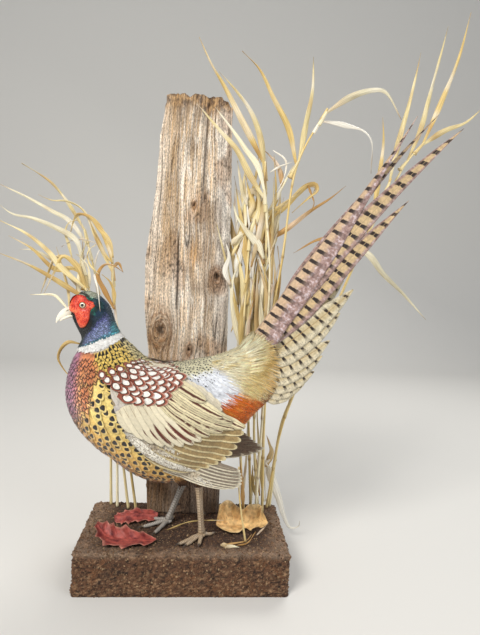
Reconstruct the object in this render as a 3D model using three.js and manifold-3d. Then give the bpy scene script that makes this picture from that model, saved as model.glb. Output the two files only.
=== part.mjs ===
// A mounted cock pheasant on its display base: an earth-covered block with a weathered post, dry
// grass, fallen oak leaves and the bird standing in front of them. Millimetres, +Z up, origin at the
// centre of the base's underside. The bird faces -X and its left side looks to -Y.
//
// Every sub-part is one closed faceted solid. The body is one loft parted by thin cuts, the wings
// are shells over it, each tail feather is a thin folded blade, and each tuft of grass is a stem with
// its leaves joined on. Pieces that touch keep a gap of GAP to each other.

import * as THREE from 'three';
import { mergeVertices } from 'three/addons/utils/BufferGeometryUtils.js';
import Module from 'manifold-3d';

const wasm = await Module();
wasm.setup();

// ---------------------------------------------------------------------------------------------
// Driving dimensions
// ---------------------------------------------------------------------------------------------

const GAP = 0.35;
const WELD = 0.02;

const BASE = { width: 320, depth: 175, height: 65, chamfer: 2.5 };
const FLOOR = BASE.height + GAP;

// The post: its sides at each height, and the depth between its front and back faces.
const POST = {
  front: 46,
  back: 84,
  corner: 3.2,
  splinter: 9,
  levels: [
    { z: FLOOR, left: -66, right: 56 },
    { z: 215, left: -74, right: 57 },
    { z: 368, left: -81, right: 58 },
    { z: 509, left: -83, right: 55 },
    { z: 607, left: -71, right: 54 },
    { z: 690, left: -64, right: 52 },
    { z: 752, left: -58, right: 46 },
  ],
};

// The bird's plane of symmetry, and the body's sections from the bill's root to the tail's root:
// lowest and highest point (x, z) in that plane, and half the width.
const MIDPLANE = -22;
const STATIONS = [
  { low: [-182, 400], high: [-188.5, 416], half: 6.5 },
  { low: [-178, 392], high: [-182.5, 429], half: 10 },
  { low: [-174, 384], high: [-174, 437], half: 13.5 },
  { low: [-170.5, 377], high: [-162.5, 442], half: 15.5 },
  { low: [-168, 372], high: [-149, 440], half: 16.5 },
  { low: [-167, 368], high: [-137, 432.5], half: 17 },
  { low: [-167, 366], high: [-128, 423], half: 17.5 },
  { low: [-167.5, 363.5], high: [-121, 407.5], half: 18 },
  { low: [-168.5, 361], high: [-115.5, 392.5], half: 19.5 },
  { low: [-170.5, 357], high: [-110, 382.5], half: 21.5 },
  { low: [-174, 349.5], high: [-103, 374], half: 25 },
  { low: [-182.5, 328], high: [-86.5, 358.5], half: 36 },
  { low: [-188, 301.5], high: [-69.5, 343.5], half: 47 },
  { low: [-187, 270.5], high: [-52.5, 335.5], half: 54 },
  { low: [-175, 240.5], high: [-35.5, 334], half: 57 },
  { low: [-150.5, 209.5], high: [-17.5, 337.5], half: 58 },
  { low: [-114.5, 182], high: [2.5, 342], half: 58 },
  { low: [-75.5, 156.5], high: [22.5, 347], half: 56 },
  { low: [-36.5, 147], high: [40.5, 350.5], half: 53 },
  { low: [2.5, 156.5], high: [57.5, 357], half: 48 },
  { low: [37.5, 184.5], high: [72.5, 364.5], half: 41 },
  { low: [68.5, 220.5], high: [86.5, 373], half: 33 },
  { low: [95.5, 255], high: [98.5, 382.5], half: 25 },
  { low: [116.5, 276.5], high: [108.5, 396.5], half: 18 },
];
const HEAD_END = 5.6;
const NECK_END = 10.4;
const TAIL_ROOT = STATIONS.length - 1;

const FACE = { centre: [-162, 410], length: 15, height: 21, swell: 2.2, depth: 6 };
const EYE = { centre: [-164, 419.5], out: 11.4, radius: 6 };
const EAR_TUFT = { foot: [-143, 424.5], tip: [-130.5, 432.5], out: 13, radius: 4 };

// The wing's chords from the shoulder to the tips: upper and lower end (x, z) of each.
const WING = {
  chords: [
    { top: [-112, 309], bottom: [-112, 300] },
    { top: [-103, 324], bottom: [-108, 284] },
    { top: [-86, 335], bottom: [-101, 268] },
    { top: [-58, 338.5], bottom: [-83, 250] },
    { top: [-29, 331], bottom: [-66, 230] },
    { top: [-7, 320], bottom: [-50, 212] },
    { top: [15, 309], bottom: [-31, 192] },
    { top: [37, 288], bottom: [-12, 178] },
    { top: [60, 264], bottom: [8, 170.5] },
    { top: [81, 249], bottom: [28, 163] },
    { top: [68, 214], bottom: [44, 157] },
    { top: [60, 199], bottom: [57, 154.5] },
    { top: [80, 176], bottom: [69, 152.5] },
    { top: [83.5, 160], bottom: [78, 153] },
  ],
  rootOut: 20,
  tipOut: 43,
  rootThickness: 7,
  tipThickness: 2.4,
  stand: 4,
  clearance: 2.6,
  pivot: [-80, 300],
  rightLift: THREE.MathUtils.degToRad(12),
};

// The tail: a roof of stacked feathers, whose ridge starts at the body's last section. Each
// feather: where its root lies on that section (0 top, 1 bottom), its tip (x, z), the turn of its
// first stretch against the straight line, half width, and how blunt its end is.
const TAIL = {
  ridge: { start: [109, 396], angle: THREE.MathUtils.degToRad(56.5) },
  ridgeHalf: 3.6,
  rootSlope: 0.2,
  slopeGain: 0.00045,
  pitch: 1.5,
  thickness: 0.9,
  steps: 7,
  rightTurn: THREE.MathUtils.degToRad(4.8),
  rightStretch: 1.02,
  feathers: [
    { root: 0.05, tip: [331, 733], bend: 2, half: 20, blunt: 1.2 },
    { root: 0.17, tip: [393, 711], bend: -7, half: 19, blunt: 1.7 },
    { root: 0.29, tip: [318, 600], bend: -2, half: 20, blunt: 2 },
    { root: 0.4, tip: [242, 462], bend: 6, half: 19, blunt: 3 },
    { root: 0.5, tip: [224, 425], bend: 9, half: 18, blunt: 3.4 },
    { root: 0.6, tip: [211, 382], bend: 11, half: 17, blunt: 3.6 },
    { root: 0.69, tip: [201, 357.5], bend: 12, half: 16, blunt: 3.6 },
    { root: 0.78, tip: [190, 332.5], bend: 13, half: 15, blunt: 3.6 },
    { root: 0.86, tip: [176, 311.5], bend: 12, half: 13, blunt: 3.6 },
    { root: 0.93, tip: [161, 294], bend: 8, half: 10, blunt: 3.6 },
  ],
};

// The legs: ankle, foot joint and toe tips (x, y) on the ground; the thigh runs up inside the body.
const LEG = { ankleRadius: 6.6, shankRadius: 4.7, toeRadius: 3.3, clawRadius: 0.8, spur: 12 };
const LEGS = {
  left: {
    ankle: [19.5, -40, 148],
    joint: [27, -37, 73],
    thigh: [[13, -39, 164, 9.5], [2, -38, 184, 16], [-12, -38, 206, 22]],
    toes: [[-13.5, -68], [-1, -71], [22.5, -69.5]],
    hindToe: [41, -20],
    spurSide: 1,
  },
  right: {
    ankle: [-6.5, 8, 131],
    joint: [-27, 8, 74],
    thigh: [[-13, 4, 147, 10], [-25, 1, 166, 16], [-38, -3, 190, 22]],
    toes: [[-75, -13.5], [-50.5, -38], [-59, 22]],
    hindToe: [-17, 33],
    spurSide: -1,
  },
};

// Dry grass. Each plant stands in a layer of its own: y is the layer's place at the root and lean
// how far it has moved at 600 mm from it. stem and leaves are routes of (x, z) points.
const GRASS_REACH = 600;
const STEM_RADIUS = 1.9;
const LEAF_HALF_WIDTH = 4.6;
const LEAF_HALF_THICKNESS = 0.5;
const GRASS = {
  grass_left_1: {
    y: 54, lean: -30,
    stem: [[-85, FLOOR], [-106, 191], [-144, 342], [-168, 423], [-177, 446]],
    leaves: [
      [[-167, 421], [-229, 457], [-269, 477], [-313, 493]],
      [[-175, 441], [-214, 474], [-234, 498], [-269, 525], [-312, 544]],
      [[-171, 430], [-192, 477], [-212, 492], [-225, 466], [-241, 431]],
    ],
  },
  grass_left_2: {
    y: 60, lean: -12,
    stem: [[-99, FLOOR], [-120, 204], [-153, 340], [-173, 436], [-187, 486]],
    leaves: [
      [[-174, 437], [-178, 479], [-196, 497]],
      [[-182, 463], [-202, 474], [-229, 471], [-267, 503], [-303, 521]],
      [[-186, 484], [-196, 519], [-230, 538], [-266, 551], [-299, 557], [-322, 573]],
    ],
  },
  grass_left_3: {
    y: 67, lean: 4,
    stem: [[-119, FLOOR], [-124, 218], [-126, 347], [-134, 418], [-140, 487]],
    leaves: [
      [[-140, 480], [-150, 518], [-169, 552], [-189, 564], [-204, 557], [-210, 533]],
      [[-139, 468], [-167, 524], [-193, 572], [-219, 584], [-242, 584], [-264, 592]],
      [[-139, 478], [-131, 486], [-122, 471]],
    ],
  },
  grass_left_4: {
    y: 75, lean: 20,
    stem: [[-131, FLOOR], [-138, 214], [-154, 370], [-174, 472], [-193, 543]],
    leaves: [
      [[-192, 539], [-220, 580], [-248, 614], [-273, 631], [-300, 646]],
      [[-184, 510], [-219, 555], [-249, 570], [-292, 591], [-342, 612]],
      [[-170, 452], [-173, 486], [-163, 517]],
    ],
  },
  grass_front: {
    y: 30, lean: -14,
    stem: [[118, FLOOR], [121, 236], [121, 388], [120, 486], [103, 618]],
    leaves: [
      [[105, 600], [78, 636], [56, 673], [24, 705], [-9, 739]],
      [[104, 612], [92, 649], [71, 674], [48, 703], [20, 735]],
    ],
  },
  grass_inner: {
    y: 43, lean: 0,
    stem: [[100, FLOOR], [90, 162], [83, 342], [85, 459], [86, 548]],
    leaves: [
      [[85, 485], [72, 560], [60, 617]],
      [[84, 342], [66, 413], [61, 463], [72, 499]],
      [[86, 539], [100, 593], [89, 637]],
    ],
  },
  grass_right_1: {
    y: 52, lean: -28,
    stem: [[133, FLOOR], [127, 231], [128, 387], [141, 503], [152, 640], [164, 680], [199, 748]],
    leaves: [
      [[155, 656], [137, 714], [112, 756], [87, 798], [58, 824]],
      [[158, 664], [167, 725], [173, 773], [171, 824]],
      [[197, 741], [234, 767], [271, 781], [291, 780], [321, 739]],
      [[189, 728], [229, 725], [261, 718], [275, 703], [278, 651]],
    ],
  },
  grass_right_2: {
    y: 58, lean: -13,
    stem: [[126, FLOOR], [111, 228], [116, 385], [115, 536], [111, 598], [106, 664]],
    leaves: [
      [[107, 655], [72, 714], [35, 775], [10, 812], [-10, 850]],
      [[107, 640], [98, 697], [79, 740], [53, 772], [24, 800]],
      [[112, 593], [88, 616], [71, 582], [63, 557]],
    ],
  },
  grass_right_3: {
    y: 64, lean: 0,
    stem: [[114, FLOOR], [102, 225], [91, 365], [101, 503], [119, 568], [133, 607]],
    leaves: [
      [[119, 568], [151, 600], [179, 628], [196, 631], [188, 611]],
      [[92, 382], [76, 450], [68, 497], [74, 548]],
      [[108, 531], [145, 554], [188, 589], [223, 614], [249, 637]],
    ],
  },
  grass_right_4: {
    y: 70, lean: 12,
    stem: [[143, FLOOR], [161, 202], [180, 267], [236, 401], [289, 539], [334, 658]],
    leaves: [
      [[331, 650], [344, 728], [360, 800], [373, 877]],
      [[306, 584], [314, 680], [316, 723], [312, 762]],
      [[265, 478], [318, 502], [363, 467], [420, 412]],
      [[284, 524], [219, 547], [167, 519]],
    ],
  },
  grass_right_5: {
    y: 76, lean: 24,
    stem: [[149, FLOOR], [163, 212], [181, 265], [243, 407], [301, 553], [332, 623], [368, 693], [399, 731]],
    leaves: [
      [[369, 695], [391, 755], [405, 819], [417, 875], [430, 938]],
      [[395, 726], [427, 807], [452, 878], [471, 966]],
      [[394, 725], [436, 754], [474, 772], [503, 799]],
    ],
  },
  grass_curl: {
    y: 83, lean: 10,
    stem: [[115, FLOOR], [120, 112], [134, 157]],
    leaves: [
      [[132, 152], [150, 119], [166, 80], [178, 44], [191, 22], [202, 27]],
    ],
  },
};

// A thin stalk stuck in the ground behind the near wing's tip.
const STALK = { y: -50, route: [[95, FLOOR], [86, 113], [81, 148], [79, 184]], radius: 1.2 };

// Fallen leaves: place and direction on the ground, size, lobes, and how far the rim curls up.
const LEAVES = {
  leaf_red_front: {
    from: [-46, -60], to: [-134, -6], half: 25, lobes: 4, curl: 13, tilt: 0.04, color: 0x7d2f2c,
  },
  leaf_red_back: {
    from: [-54, 37], to: [-126, 18], half: 15, lobes: 4, curl: 9, tilt: 0.05, color: 0x6d2826,
  },
  leaf_tan: {
    from: [88, -40], to: [80, 42], half: 42, lobes: 3, curl: 12, tilt: 0.22, color: 0xc9984f,
  },
};
const LEAF_THICKNESS = 0.8;

// ---------------------------------------------------------------------------------------------
// Geometry helpers
// ---------------------------------------------------------------------------------------------

const vec = (x, y, z) => new THREE.Vector3(x, y, z);
const mix = THREE.MathUtils.lerp;
const smooth = THREE.MathUtils.smoothstep;

// Six times the volume that the triangles enclose: negative where they face inwards.
function signedVolume(positions, index) {
  let sum = 0;
  const [a, b, c] = [vec(), vec(), vec()];
  for (let i = 0; i < index.length; i += 3) {
    a.fromArray(positions, 3 * index[i]);
    b.fromArray(positions, 3 * index[i + 1]);
    c.fromArray(positions, 3 * index[i + 2]);
    sum += a.dot(b.cross(c));
  }
  return sum;
}

// The geometry of these triangles, turned so that they face outwards.
function indexed(positions, index) {
  if (signedVolume(positions, index) < 0) index.reverse();
  const geometry = new THREE.BufferGeometry();
  geometry.setAttribute('position', new THREE.Float32BufferAttribute(positions, 3));
  geometry.setIndex(index);
  return geometry;
}

// A closed surface through rings of equal length, with a fan over each end.
function loft(rings) {
  const sides = rings[0].length;
  const positions = rings.flat().flatMap((p) => [p.x, p.y, p.z]);
  const index = [];
  for (let r = 0; r + 1 < rings.length; r++) {
    for (let s = 0; s < sides; s++) {
      const a = r * sides + s;
      const b = r * sides + ((s + 1) % sides);
      index.push(a, b, b + sides, a, b + sides, a + sides);
    }
  }
  const last = (rings.length - 1) * sides;
  for (const [ring, first, order] of [[rings[0], 0, -1], [rings.at(-1), last, 1]]) {
    const centre = ring.reduce((sum, p) => sum.add(p), vec(0, 0, 0)).divideScalar(sides);
    const hub = positions.length / 3;
    positions.push(centre.x, centre.y, centre.z);
    for (let s = 0; s < sides; s++) {
      const edge = [first + s, first + ((s + 1) % sides)];
      index.push(hub, ...(order > 0 ? edge : edge.reverse()));
    }
  }
  return indexed(positions, index);
}

// A closed plate between an outer and an inner grid of points, rows by columns.
function shell(outer, inner) {
  const [rows, columns] = [outer.length, outer[0].length];
  const positions = [...outer, ...inner].flat().flatMap((p) => [p.x, p.y, p.z]);
  const out = (r, c) => r * columns + c;
  const within = (r, c) => (rows + r) * columns + c;
  const index = [];
  const quad = (a, b, c, d) => index.push(a, b, c, a, c, d);
  for (let r = 0; r + 1 < rows; r++) {
    for (let c = 0; c + 1 < columns; c++) {
      quad(out(r, c), out(r, c + 1), out(r + 1, c + 1), out(r + 1, c));
      quad(within(r + 1, c), within(r + 1, c + 1), within(r, c + 1), within(r, c));
    }
    quad(out(r + 1, 0), within(r + 1, 0), within(r, 0), out(r, 0));
    const last = columns - 1;
    quad(out(r, last), within(r, last), within(r + 1, last), out(r + 1, last));
  }
  for (let c = 0; c + 1 < columns; c++) {
    quad(out(0, c + 1), out(0, c), within(0, c), within(0, c + 1));
    quad(out(rows - 1, c), out(rows - 1, c + 1), within(rows - 1, c + 1), within(rows - 1, c));
  }
  return indexed(positions, index);
}

// A section's corners as (across, along the thickness) pairs on the unit circle.
function circle(sides) {
  return Array.from({ length: sides }, (_, i) => {
    const angle = (2 * Math.PI * (i + 0.5)) / sides;
    return [Math.cos(angle), Math.sin(angle)];
  });
}
const BLADE = [[1, 0], [0, 1], [-1, 0], [0, -1]];

// A section swept along a smooth route. size(t) gives its half width and half thickness, flat is
// the direction that the thickness keeps close to.
function sweep(route, { section, steps, size, flat }) {
  const curve = new THREE.CatmullRomCurve3(route, false, 'centripetal');
  const rings = [];
  for (let i = 0; i <= steps; i++) {
    const t = i / steps;
    const centre = curve.getPointAt(t);
    const along = curve.getTangentAt(t);
    const across = along.clone().cross(flat).normalize();
    const over = across.clone().cross(along).normalize();
    const [halfWidth, halfThickness] = size(t);
    rings.push(section.map(([a, b]) => centre.clone()
      .addScaledVector(across, a * halfWidth)
      .addScaledVector(over, b * halfThickness)));
  }
  return loft(rings);
}

function toSolid(geometry) {
  const bare = geometry.clone();
  bare.deleteAttribute('normal');
  bare.deleteAttribute('uv');
  const merged = mergeVertices(bare, 1e-4);
  return new wasm.Manifold(new wasm.Mesh({
    numProp: 3,
    vertProperties: new Float32Array(merged.attributes.position.array),
    triVerts: new Uint32Array(merged.index.array),
  }));
}

// The mesh of a joined or cut solid. Corners closer than WELD become one, and the slivers between
// them are left out.
function toGeometry(solid) {
  const mesh = solid.getMesh();
  const geometry = new THREE.BufferGeometry();
  geometry.setAttribute('position', new THREE.BufferAttribute(mesh.vertProperties, 3));
  geometry.setIndex(new THREE.BufferAttribute(mesh.triVerts, 1));
  const welded = mergeVertices(geometry, WELD);
  const corners = welded.index.array;
  const faces = [];
  for (let i = 0; i < corners.length; i += 3) {
    const [a, b, c] = corners.slice(i, i + 3);
    if (a !== b && b !== c && c !== a) faces.push(a, b, c);
  }
  welded.setIndex(faces);
  return welded;
}

const join = (...geometries) => toGeometry(geometries.map(toSolid).reduce((a, b) => a.add(b)));
const cut = (geometry, ...tools) => toGeometry(
  tools.map(toSolid).reduce((rest, tool) => rest.subtract(tool), toSolid(geometry)),
);

function ellipsoid(centre, radii, detail = 8) {
  const geometry = new THREE.SphereGeometry(1, detail, Math.round(detail * 0.7));
  geometry.scale(...radii);
  geometry.translate(...centre);
  return geometry;
}

const model = new THREE.Group();

function addPart(name, geometry, color, roughness = 0.8) {
  const material = new THREE.MeshStandardMaterial({ color, roughness, metalness: 0 });
  const mesh = new THREE.Mesh(geometry, material);
  mesh.name = name;
  model.add(mesh);
}

// ---------------------------------------------------------------------------------------------
// Base and post
// ---------------------------------------------------------------------------------------------

function makeBase() {
  const { width, depth, height, chamfer } = BASE;
  const rectangle = (inset, z) => {
    const [x, y] = [width / 2 - inset, depth / 2 - inset];
    return [vec(-x, -y, z), vec(x, -y, z), vec(x, y, z), vec(-x, y, z)];
  };
  return loft([
    rectangle(chamfer, 0),
    rectangle(0, chamfer),
    rectangle(0, height - chamfer),
    rectangle(chamfer, height),
  ]);
}

// A weathered board: rounded corners, waved faces, and a broken top whose splinters differ.
function makePost() {
  const sides = 16;
  const { front, back, corner, splinter, levels } = POST;
  const rings = levels.map(({ z, left, right }, row) => {
    const centre = [(left + right) / 2, (front + back) / 2];
    const half = [(right - left) / 2, (back - front) / 2];
    return Array.from({ length: sides }, (_, i) => {
      const angle = (2 * Math.PI * (i + 0.5)) / sides;
      const [c, s] = [Math.cos(angle), Math.sin(angle)];
      const round = (v) => Math.sign(v) * Math.abs(v) ** (1 / corner);
      const wave = 1 - 0.03 * Math.abs(Math.sin(3 * angle + row));
      const raggedTop = row === levels.length - 1 ? splinter * Math.sin(5 * angle + 1) : 0;
      const y = centre[1] + half[1] * round(s) * wave;
      return vec(centre[0] + half[0] * round(c), y, z + raggedTop);
    });
  });
  return loft(rings);
}

// ---------------------------------------------------------------------------------------------
// Body: one loft, parted into head, neck and trunk
// ---------------------------------------------------------------------------------------------

const BODY_SIDES = 18;
const TRUNK_STEPS = 16;
const lowCurve = new THREE.CatmullRomCurve3(STATIONS.map(({ low }) => vec(low[0], 0, low[1])));
const highCurve = new THREE.CatmullRomCurve3(STATIONS.map(({ high }) => vec(high[0], 0, high[1])));
const halfCurve = new THREE.CatmullRomCurve3(STATIONS.map(({ half }, i) => vec(i, 0, half)));

// The section at a place s along the stations, whole numbers being the stations themselves.
function station(s) {
  const t = s / TAIL_ROOT;
  return { low: lowCurve.getPoint(t), high: highCurve.getPoint(t), half: halfCurve.getPoint(t).z };
}

// The body's ring at s, grown outwards by grow and moved by shift along the body.
function bodyRing(s, grow = 0, shift = 0) {
  const { low, high, half } = station(s);
  const centre = low.clone().add(high).multiplyScalar(0.5);
  const up = high.clone().sub(low).normalize();
  const reach = high.distanceTo(low) / 2 + grow;
  const ahead = vec(up.z, 0, -up.x).multiplyScalar(shift);
  return Array.from({ length: BODY_SIDES }, (_, i) => {
    const angle = (2 * Math.PI * i) / BODY_SIDES;
    return centre.clone()
      .addScaledVector(up, Math.cos(angle) * reach)
      .add(vec(0, MIDPLANE - Math.sin(angle) * (half + grow), 0))
      .add(ahead);
  });
}

function bodyLength(from, to, steps, { grow = 0, trim = GAP / 2 } = {}) {
  return loft(Array.from({ length: steps + 1 }, (_, i) => {
    const shift = i === 0 ? trim : i === steps ? -trim : 0;
    return bodyRing(mix(from, to, i / steps), grow, shift);
  }));
}

// The trunk with the gap around it, for cutting its neighbours.
function grownTrunk() {
  return bodyLength(NECK_END, TAIL_ROOT, TRUNK_STEPS, { grow: GAP, trim: 0 });
}

// Half the width of the body, grown by grow, at a point (x, z) of its side view.
function bodyHalfWidth(x, z, grow) {
  const ahead = (s) => {
    const { low, high } = station(s);
    return (high.x - low.x) * (z - low.z) - (high.z - low.z) * (x - low.x);
  };
  let [from, to] = [NECK_END, TAIL_ROOT];
  for (let i = 0; i < 30; i++) {
    const middle = (from + to) / 2;
    if (ahead(middle) > 0) to = middle;
    else from = middle;
  }
  const { low, high, half } = station(from);
  const up = high.clone().sub(low);
  const reach = up.length() / 2;
  const height = vec(x, 0, z).sub(low).dot(up.normalize()) - reach;
  return (half + grow) * Math.sqrt(Math.max(0, 1 - (height / (reach + grow)) ** 2));
}

const sideOf = (side) => (side === 'left' ? -1 : 1);

function makeHead() {
  let head = bodyLength(0, HEAD_END, 7);
  for (const side of ['left', 'right']) {
    const out = sideOf(side);
    const [faceX, faceZ] = FACE.centre;
    const faceY = MIDPLANE + out * (station(3).half - FACE.depth + FACE.swell);
    const face = ellipsoid([faceX, faceY, faceZ], [FACE.length, FACE.depth, FACE.height], 7);
    const foot = vec(EAR_TUFT.foot[0], MIDPLANE + out * EAR_TUFT.out, EAR_TUFT.foot[1]);
    const tip = vec(EAR_TUFT.tip[0], MIDPLANE + out * EAR_TUFT.out, EAR_TUFT.tip[1]);
    const tuft = sweep([foot, foot.clone().lerp(tip, 0.5), tip], {
      section: circle(5), steps: 2, flat: vec(0, 1, 0),
      size: (t) => [mix(EAR_TUFT.radius, 0.6, t), mix(EAR_TUFT.radius, 0.6, t)],
    });
    head = join(head, face, tuft);
  }
  for (const side of ['left', 'right']) {
    const out = sideOf(side);
    const ball = (radius, offset) => ellipsoid(
      [EYE.centre[0], MIDPLANE + out * offset, EYE.centre[1]], [radius, radius, radius], 8,
    );
    head = cut(head, ball(EYE.radius + 2 * GAP, EYE.out), ball(EYE.radius, EYE.out + EYE.radius));
  }
  return head;
}

function makeEye(side) {
  const centre = [EYE.centre[0], MIDPLANE + sideOf(side) * EYE.out, EYE.centre[1]];
  return ellipsoid(centre, [EYE.radius, EYE.radius, EYE.radius], 9);
}

// A ring of the bill between a low and a high point of the side view.
function billRing(low, high, half) {
  const centre = [(low[0] + high[0]) / 2, (low[1] + high[1]) / 2];
  const up = [(high[0] - low[0]) / 2, (high[1] - low[1]) / 2];
  return circle(8).map(([a, b]) => vec(centre[0] + up[0] * b, MIDPLANE - half * a, centre[1] + up[1] * b));
}

function makeUpperBill() {
  return loft([
    billRing([-184.3, 403.3], [-188.8, 414.6], 6.2),
    billRing([-190.5, 401.3], [-196.2, 410.3], 5.2),
    billRing([-196.6, 397.6], [-202, 403.8], 3.9),
    billRing([-201.4, 393.2], [-205.2, 397.6], 2.3),
    billRing([-205, 389.8], [-206, 390.2], 0.7),
  ]);
}

function makeLowerBill() {
  return loft([
    billRing([-183, 399.7], [-184.3, 402.8], 5.4),
    billRing([-190, 397.5], [-190.6, 400.8], 4.3),
    billRing([-198.4, 394.4], [-198.9, 395.6], 1.5),
  ]);
}

// ---------------------------------------------------------------------------------------------
// Wings: folded shells over the trunk, whose rear ends stand free of it
// ---------------------------------------------------------------------------------------------

function makeWing(side) {
  const rows = 12;
  const columns = 5;
  const edge = (end) => new THREE.CatmullRomCurve3(WING.chords.map((chord, i) => {
    const arm = new THREE.Vector2(...chord[end]).sub(new THREE.Vector2(...WING.pivot));
    const lift = side === 'right' ? WING.rightLift * smooth(i / WING.chords.length, 0.2, 0.7) : 0;
    arm.rotateAround(new THREE.Vector2(0, 0), lift);
    return vec(arm.x + WING.pivot[0], 0, arm.y + WING.pivot[1]);
  }));
  const [top, bottom] = [edge('top'), edge('bottom')];
  const place = (point, out) => vec(point.x, MIDPLANE + sideOf(side) * out, point.z);
  const [outer, inner] = [[], []];
  for (let row = 0; row <= rows; row++) {
    const u = row / rows;
    const [from, to] = [top.getPoint(u), bottom.getPoint(u)];
    const thickness = mix(WING.rootThickness, WING.tipThickness, u);
    outer.push([]);
    inner.push([]);
    for (let column = 0; column <= columns; column++) {
      const v = (column / columns) ** 1.4;
      const point = from.clone().lerp(to, v);
      const free = mix(WING.rootOut, WING.tipOut, smooth(u, 0.3, 0.85)) - 8 * (1 - v) * (1 - u);
      const over = bodyHalfWidth(point.x, point.z, WING.stand + WING.clearance);
      const out = Math.hypot(Math.max(over, free), 6);
      const body = bodyHalfWidth(point.x, point.z, WING.clearance);
      outer[row].push(place(point, out));
      inner[row].push(place(point, Math.max(body, out - thickness)));
    }
  }
  return cut(shell(outer, inner), grownTrunk());
}

// ---------------------------------------------------------------------------------------------
// Tail: one blade for each feather, in layers that part the left side from the right
// ---------------------------------------------------------------------------------------------

// How far a point (x, z) lies along the ridge and below it.
function tailPlace(x, z) {
  const [dx, dz] = [x - TAIL.ridge.start[0], z - TAIL.ridge.start[1]];
  const [c, s] = [Math.cos(TAIL.ridge.angle), Math.sin(TAIL.ridge.angle)];
  return { along: dx * c + dz * s, below: dx * s - dz * c };
}

// The roof's distance from the midplane there, for the feather in the given layer.
function roofOut(x, z, layer) {
  const { along, below } = tailPlace(x, z);
  const slope = TAIL.rootSlope + TAIL.slopeGain * Math.max(0, along);
  return TAIL.ridgeHalf + slope * Math.max(0, below) - TAIL.pitch * layer;
}

// The middle line of a feather in the side view, and its half width along it.
function featherRoute(feather, turn, stretch) {
  const { low, high } = station(TAIL_ROOT);
  const up = high.clone().sub(low).normalize();
  const ahead = vec(up.z, 0, -up.x);
  const root = high.clone().lerp(low, feather.root).addScaledVector(ahead, GAP + 0.3);
  const reach = vec(feather.tip[0], 0, feather.tip[1]).sub(root).multiplyScalar(stretch);
  reach.applyAxisAngle(vec(0, -1, 0), turn);
  const first = reach.clone().multiplyScalar(0.5);
  first.applyAxisAngle(vec(0, 1, 0), THREE.MathUtils.degToRad(feather.bend));
  const tip = root.clone().add(reach);
  const curve = new THREE.QuadraticBezierCurve3(root, root.clone().add(first), tip);
  const width = (t) => feather.half * mix(0.45, 1, smooth(t, 0, 0.3)) * (1 - 0.96 * t ** feather.blunt);
  return { curve, width, rootAcross: up.negate() };
}

// The feather's section at t as places (x, z) from its upper to its lower edge.
function featherChord({ curve, width, rootAcross }, t, share) {
  const across = curve.getTangent(t).applyAxisAngle(vec(0, 1, 0), Math.PI / 2);
  across.lerpVectors(rootAcross, across, smooth(t, 0, 0.25)).normalize();
  return curve.getPoint(t).addScaledVector(across, share * width(t));
}

function makeTailFeather(feather, layer, side, turn = 0, stretch = 1) {
  const route = featherRoute(feather, turn, stretch);
  const face = (offset) => Array.from({ length: TAIL.steps + 1 }, (_, i) => [-1, 1].map((share) => {
    const p = featherChord(route, i / TAIL.steps, share);
    return vec(p.x, MIDPLANE + sideOf(side) * (roofOut(p.x, p.z, layer) + offset), p.z);
  }));
  return shell(face(TAIL.thickness / 2), face(-TAIL.thickness / 2));
}

// The uppermost feather, folded over the ridge: down to its lower edge on the left side, and to the
// share rightLow of its half width on the right.
function makeRidgeFeather(feather, rightLow) {
  const route = featherRoute(feather, 0, 1);
  const face = (offset) => Array.from({ length: TAIL.steps + 1 }, (_, i) => {
    const t = i / TAIL.steps;
    const narrow = Math.min(1, route.width(t) / (2 * TAIL.ridgeHalf));
    const flank = (out, share) => {
      const p = featherChord(route, t, share);
      const roof = Math.max(narrow * roofOut(p.x, p.z, 0), 0.7 * TAIL.thickness);
      return vec(p.x, MIDPLANE + out * (roof + offset), p.z);
    };
    const fold = offset > 0 ? 0 : Math.min(0.3, TAIL.thickness / route.width(t));
    const crest = featherChord(route, t, fold - 1).setY(MIDPLANE);
    return [flank(-1, 1), flank(-1, -0.6), crest, flank(1, -0.6), flank(1, rightLow)];
  });
  return shell(face(TAIL.thickness / 2), face(-TAIL.thickness / 2));
}

// ---------------------------------------------------------------------------------------------
// Legs
// ---------------------------------------------------------------------------------------------

function makeThigh({ ankle, joint, thigh }) {
  const rise = vec(...ankle).sub(vec(...joint)).normalize();
  const above = (distance) => vec(...ankle).addScaledVector(rise, distance).toArray();
  const stops = [[...above(GAP), LEG.ankleRadius], [...above(6), LEG.ankleRadius], ...thigh];
  const radius = new THREE.CatmullRomCurve3(stops.map((stop, i) => vec(i, 0, stop[3])));
  const solid = sweep(stops.map(([x, y, z]) => vec(x, y, z)), {
    section: circle(8), steps: 6, flat: vec(0, 1, 0),
    size: (t) => [radius.getPoint(t).z, radius.getPoint(t).z],
  });
  return cut(solid, grownTrunk());
}

function makeShank({ ankle, joint, spurSide }) {
  const [top, foot] = [vec(...ankle), vec(...joint)];
  const shank = sweep([top, top.clone().lerp(foot, 0.5), foot], {
    section: circle(8), steps: 5, flat: vec(0, 1, 0),
    size: (t) => {
      const r = mix(LEG.shankRadius, LEG.ankleRadius, Math.max(1 - 5 * t, 0) + 0.5 * smooth(t, 0.8, 1));
      return [r, 0.85 * r];
    },
  });
  const start = top.clone().lerp(foot, 0.58);
  const end = start.clone().add(vec(0.7, 0.45 * spurSide, -0.45).multiplyScalar(LEG.spur));
  const spur = sweep([start, start.clone().lerp(end, 0.5), end], {
    section: circle(5), steps: 2, flat: vec(0, 1, 0),
    size: (t) => [mix(3, 0.6, t), mix(3, 0.6, t)],
  });
  return join(shank, spur);
}

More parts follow.
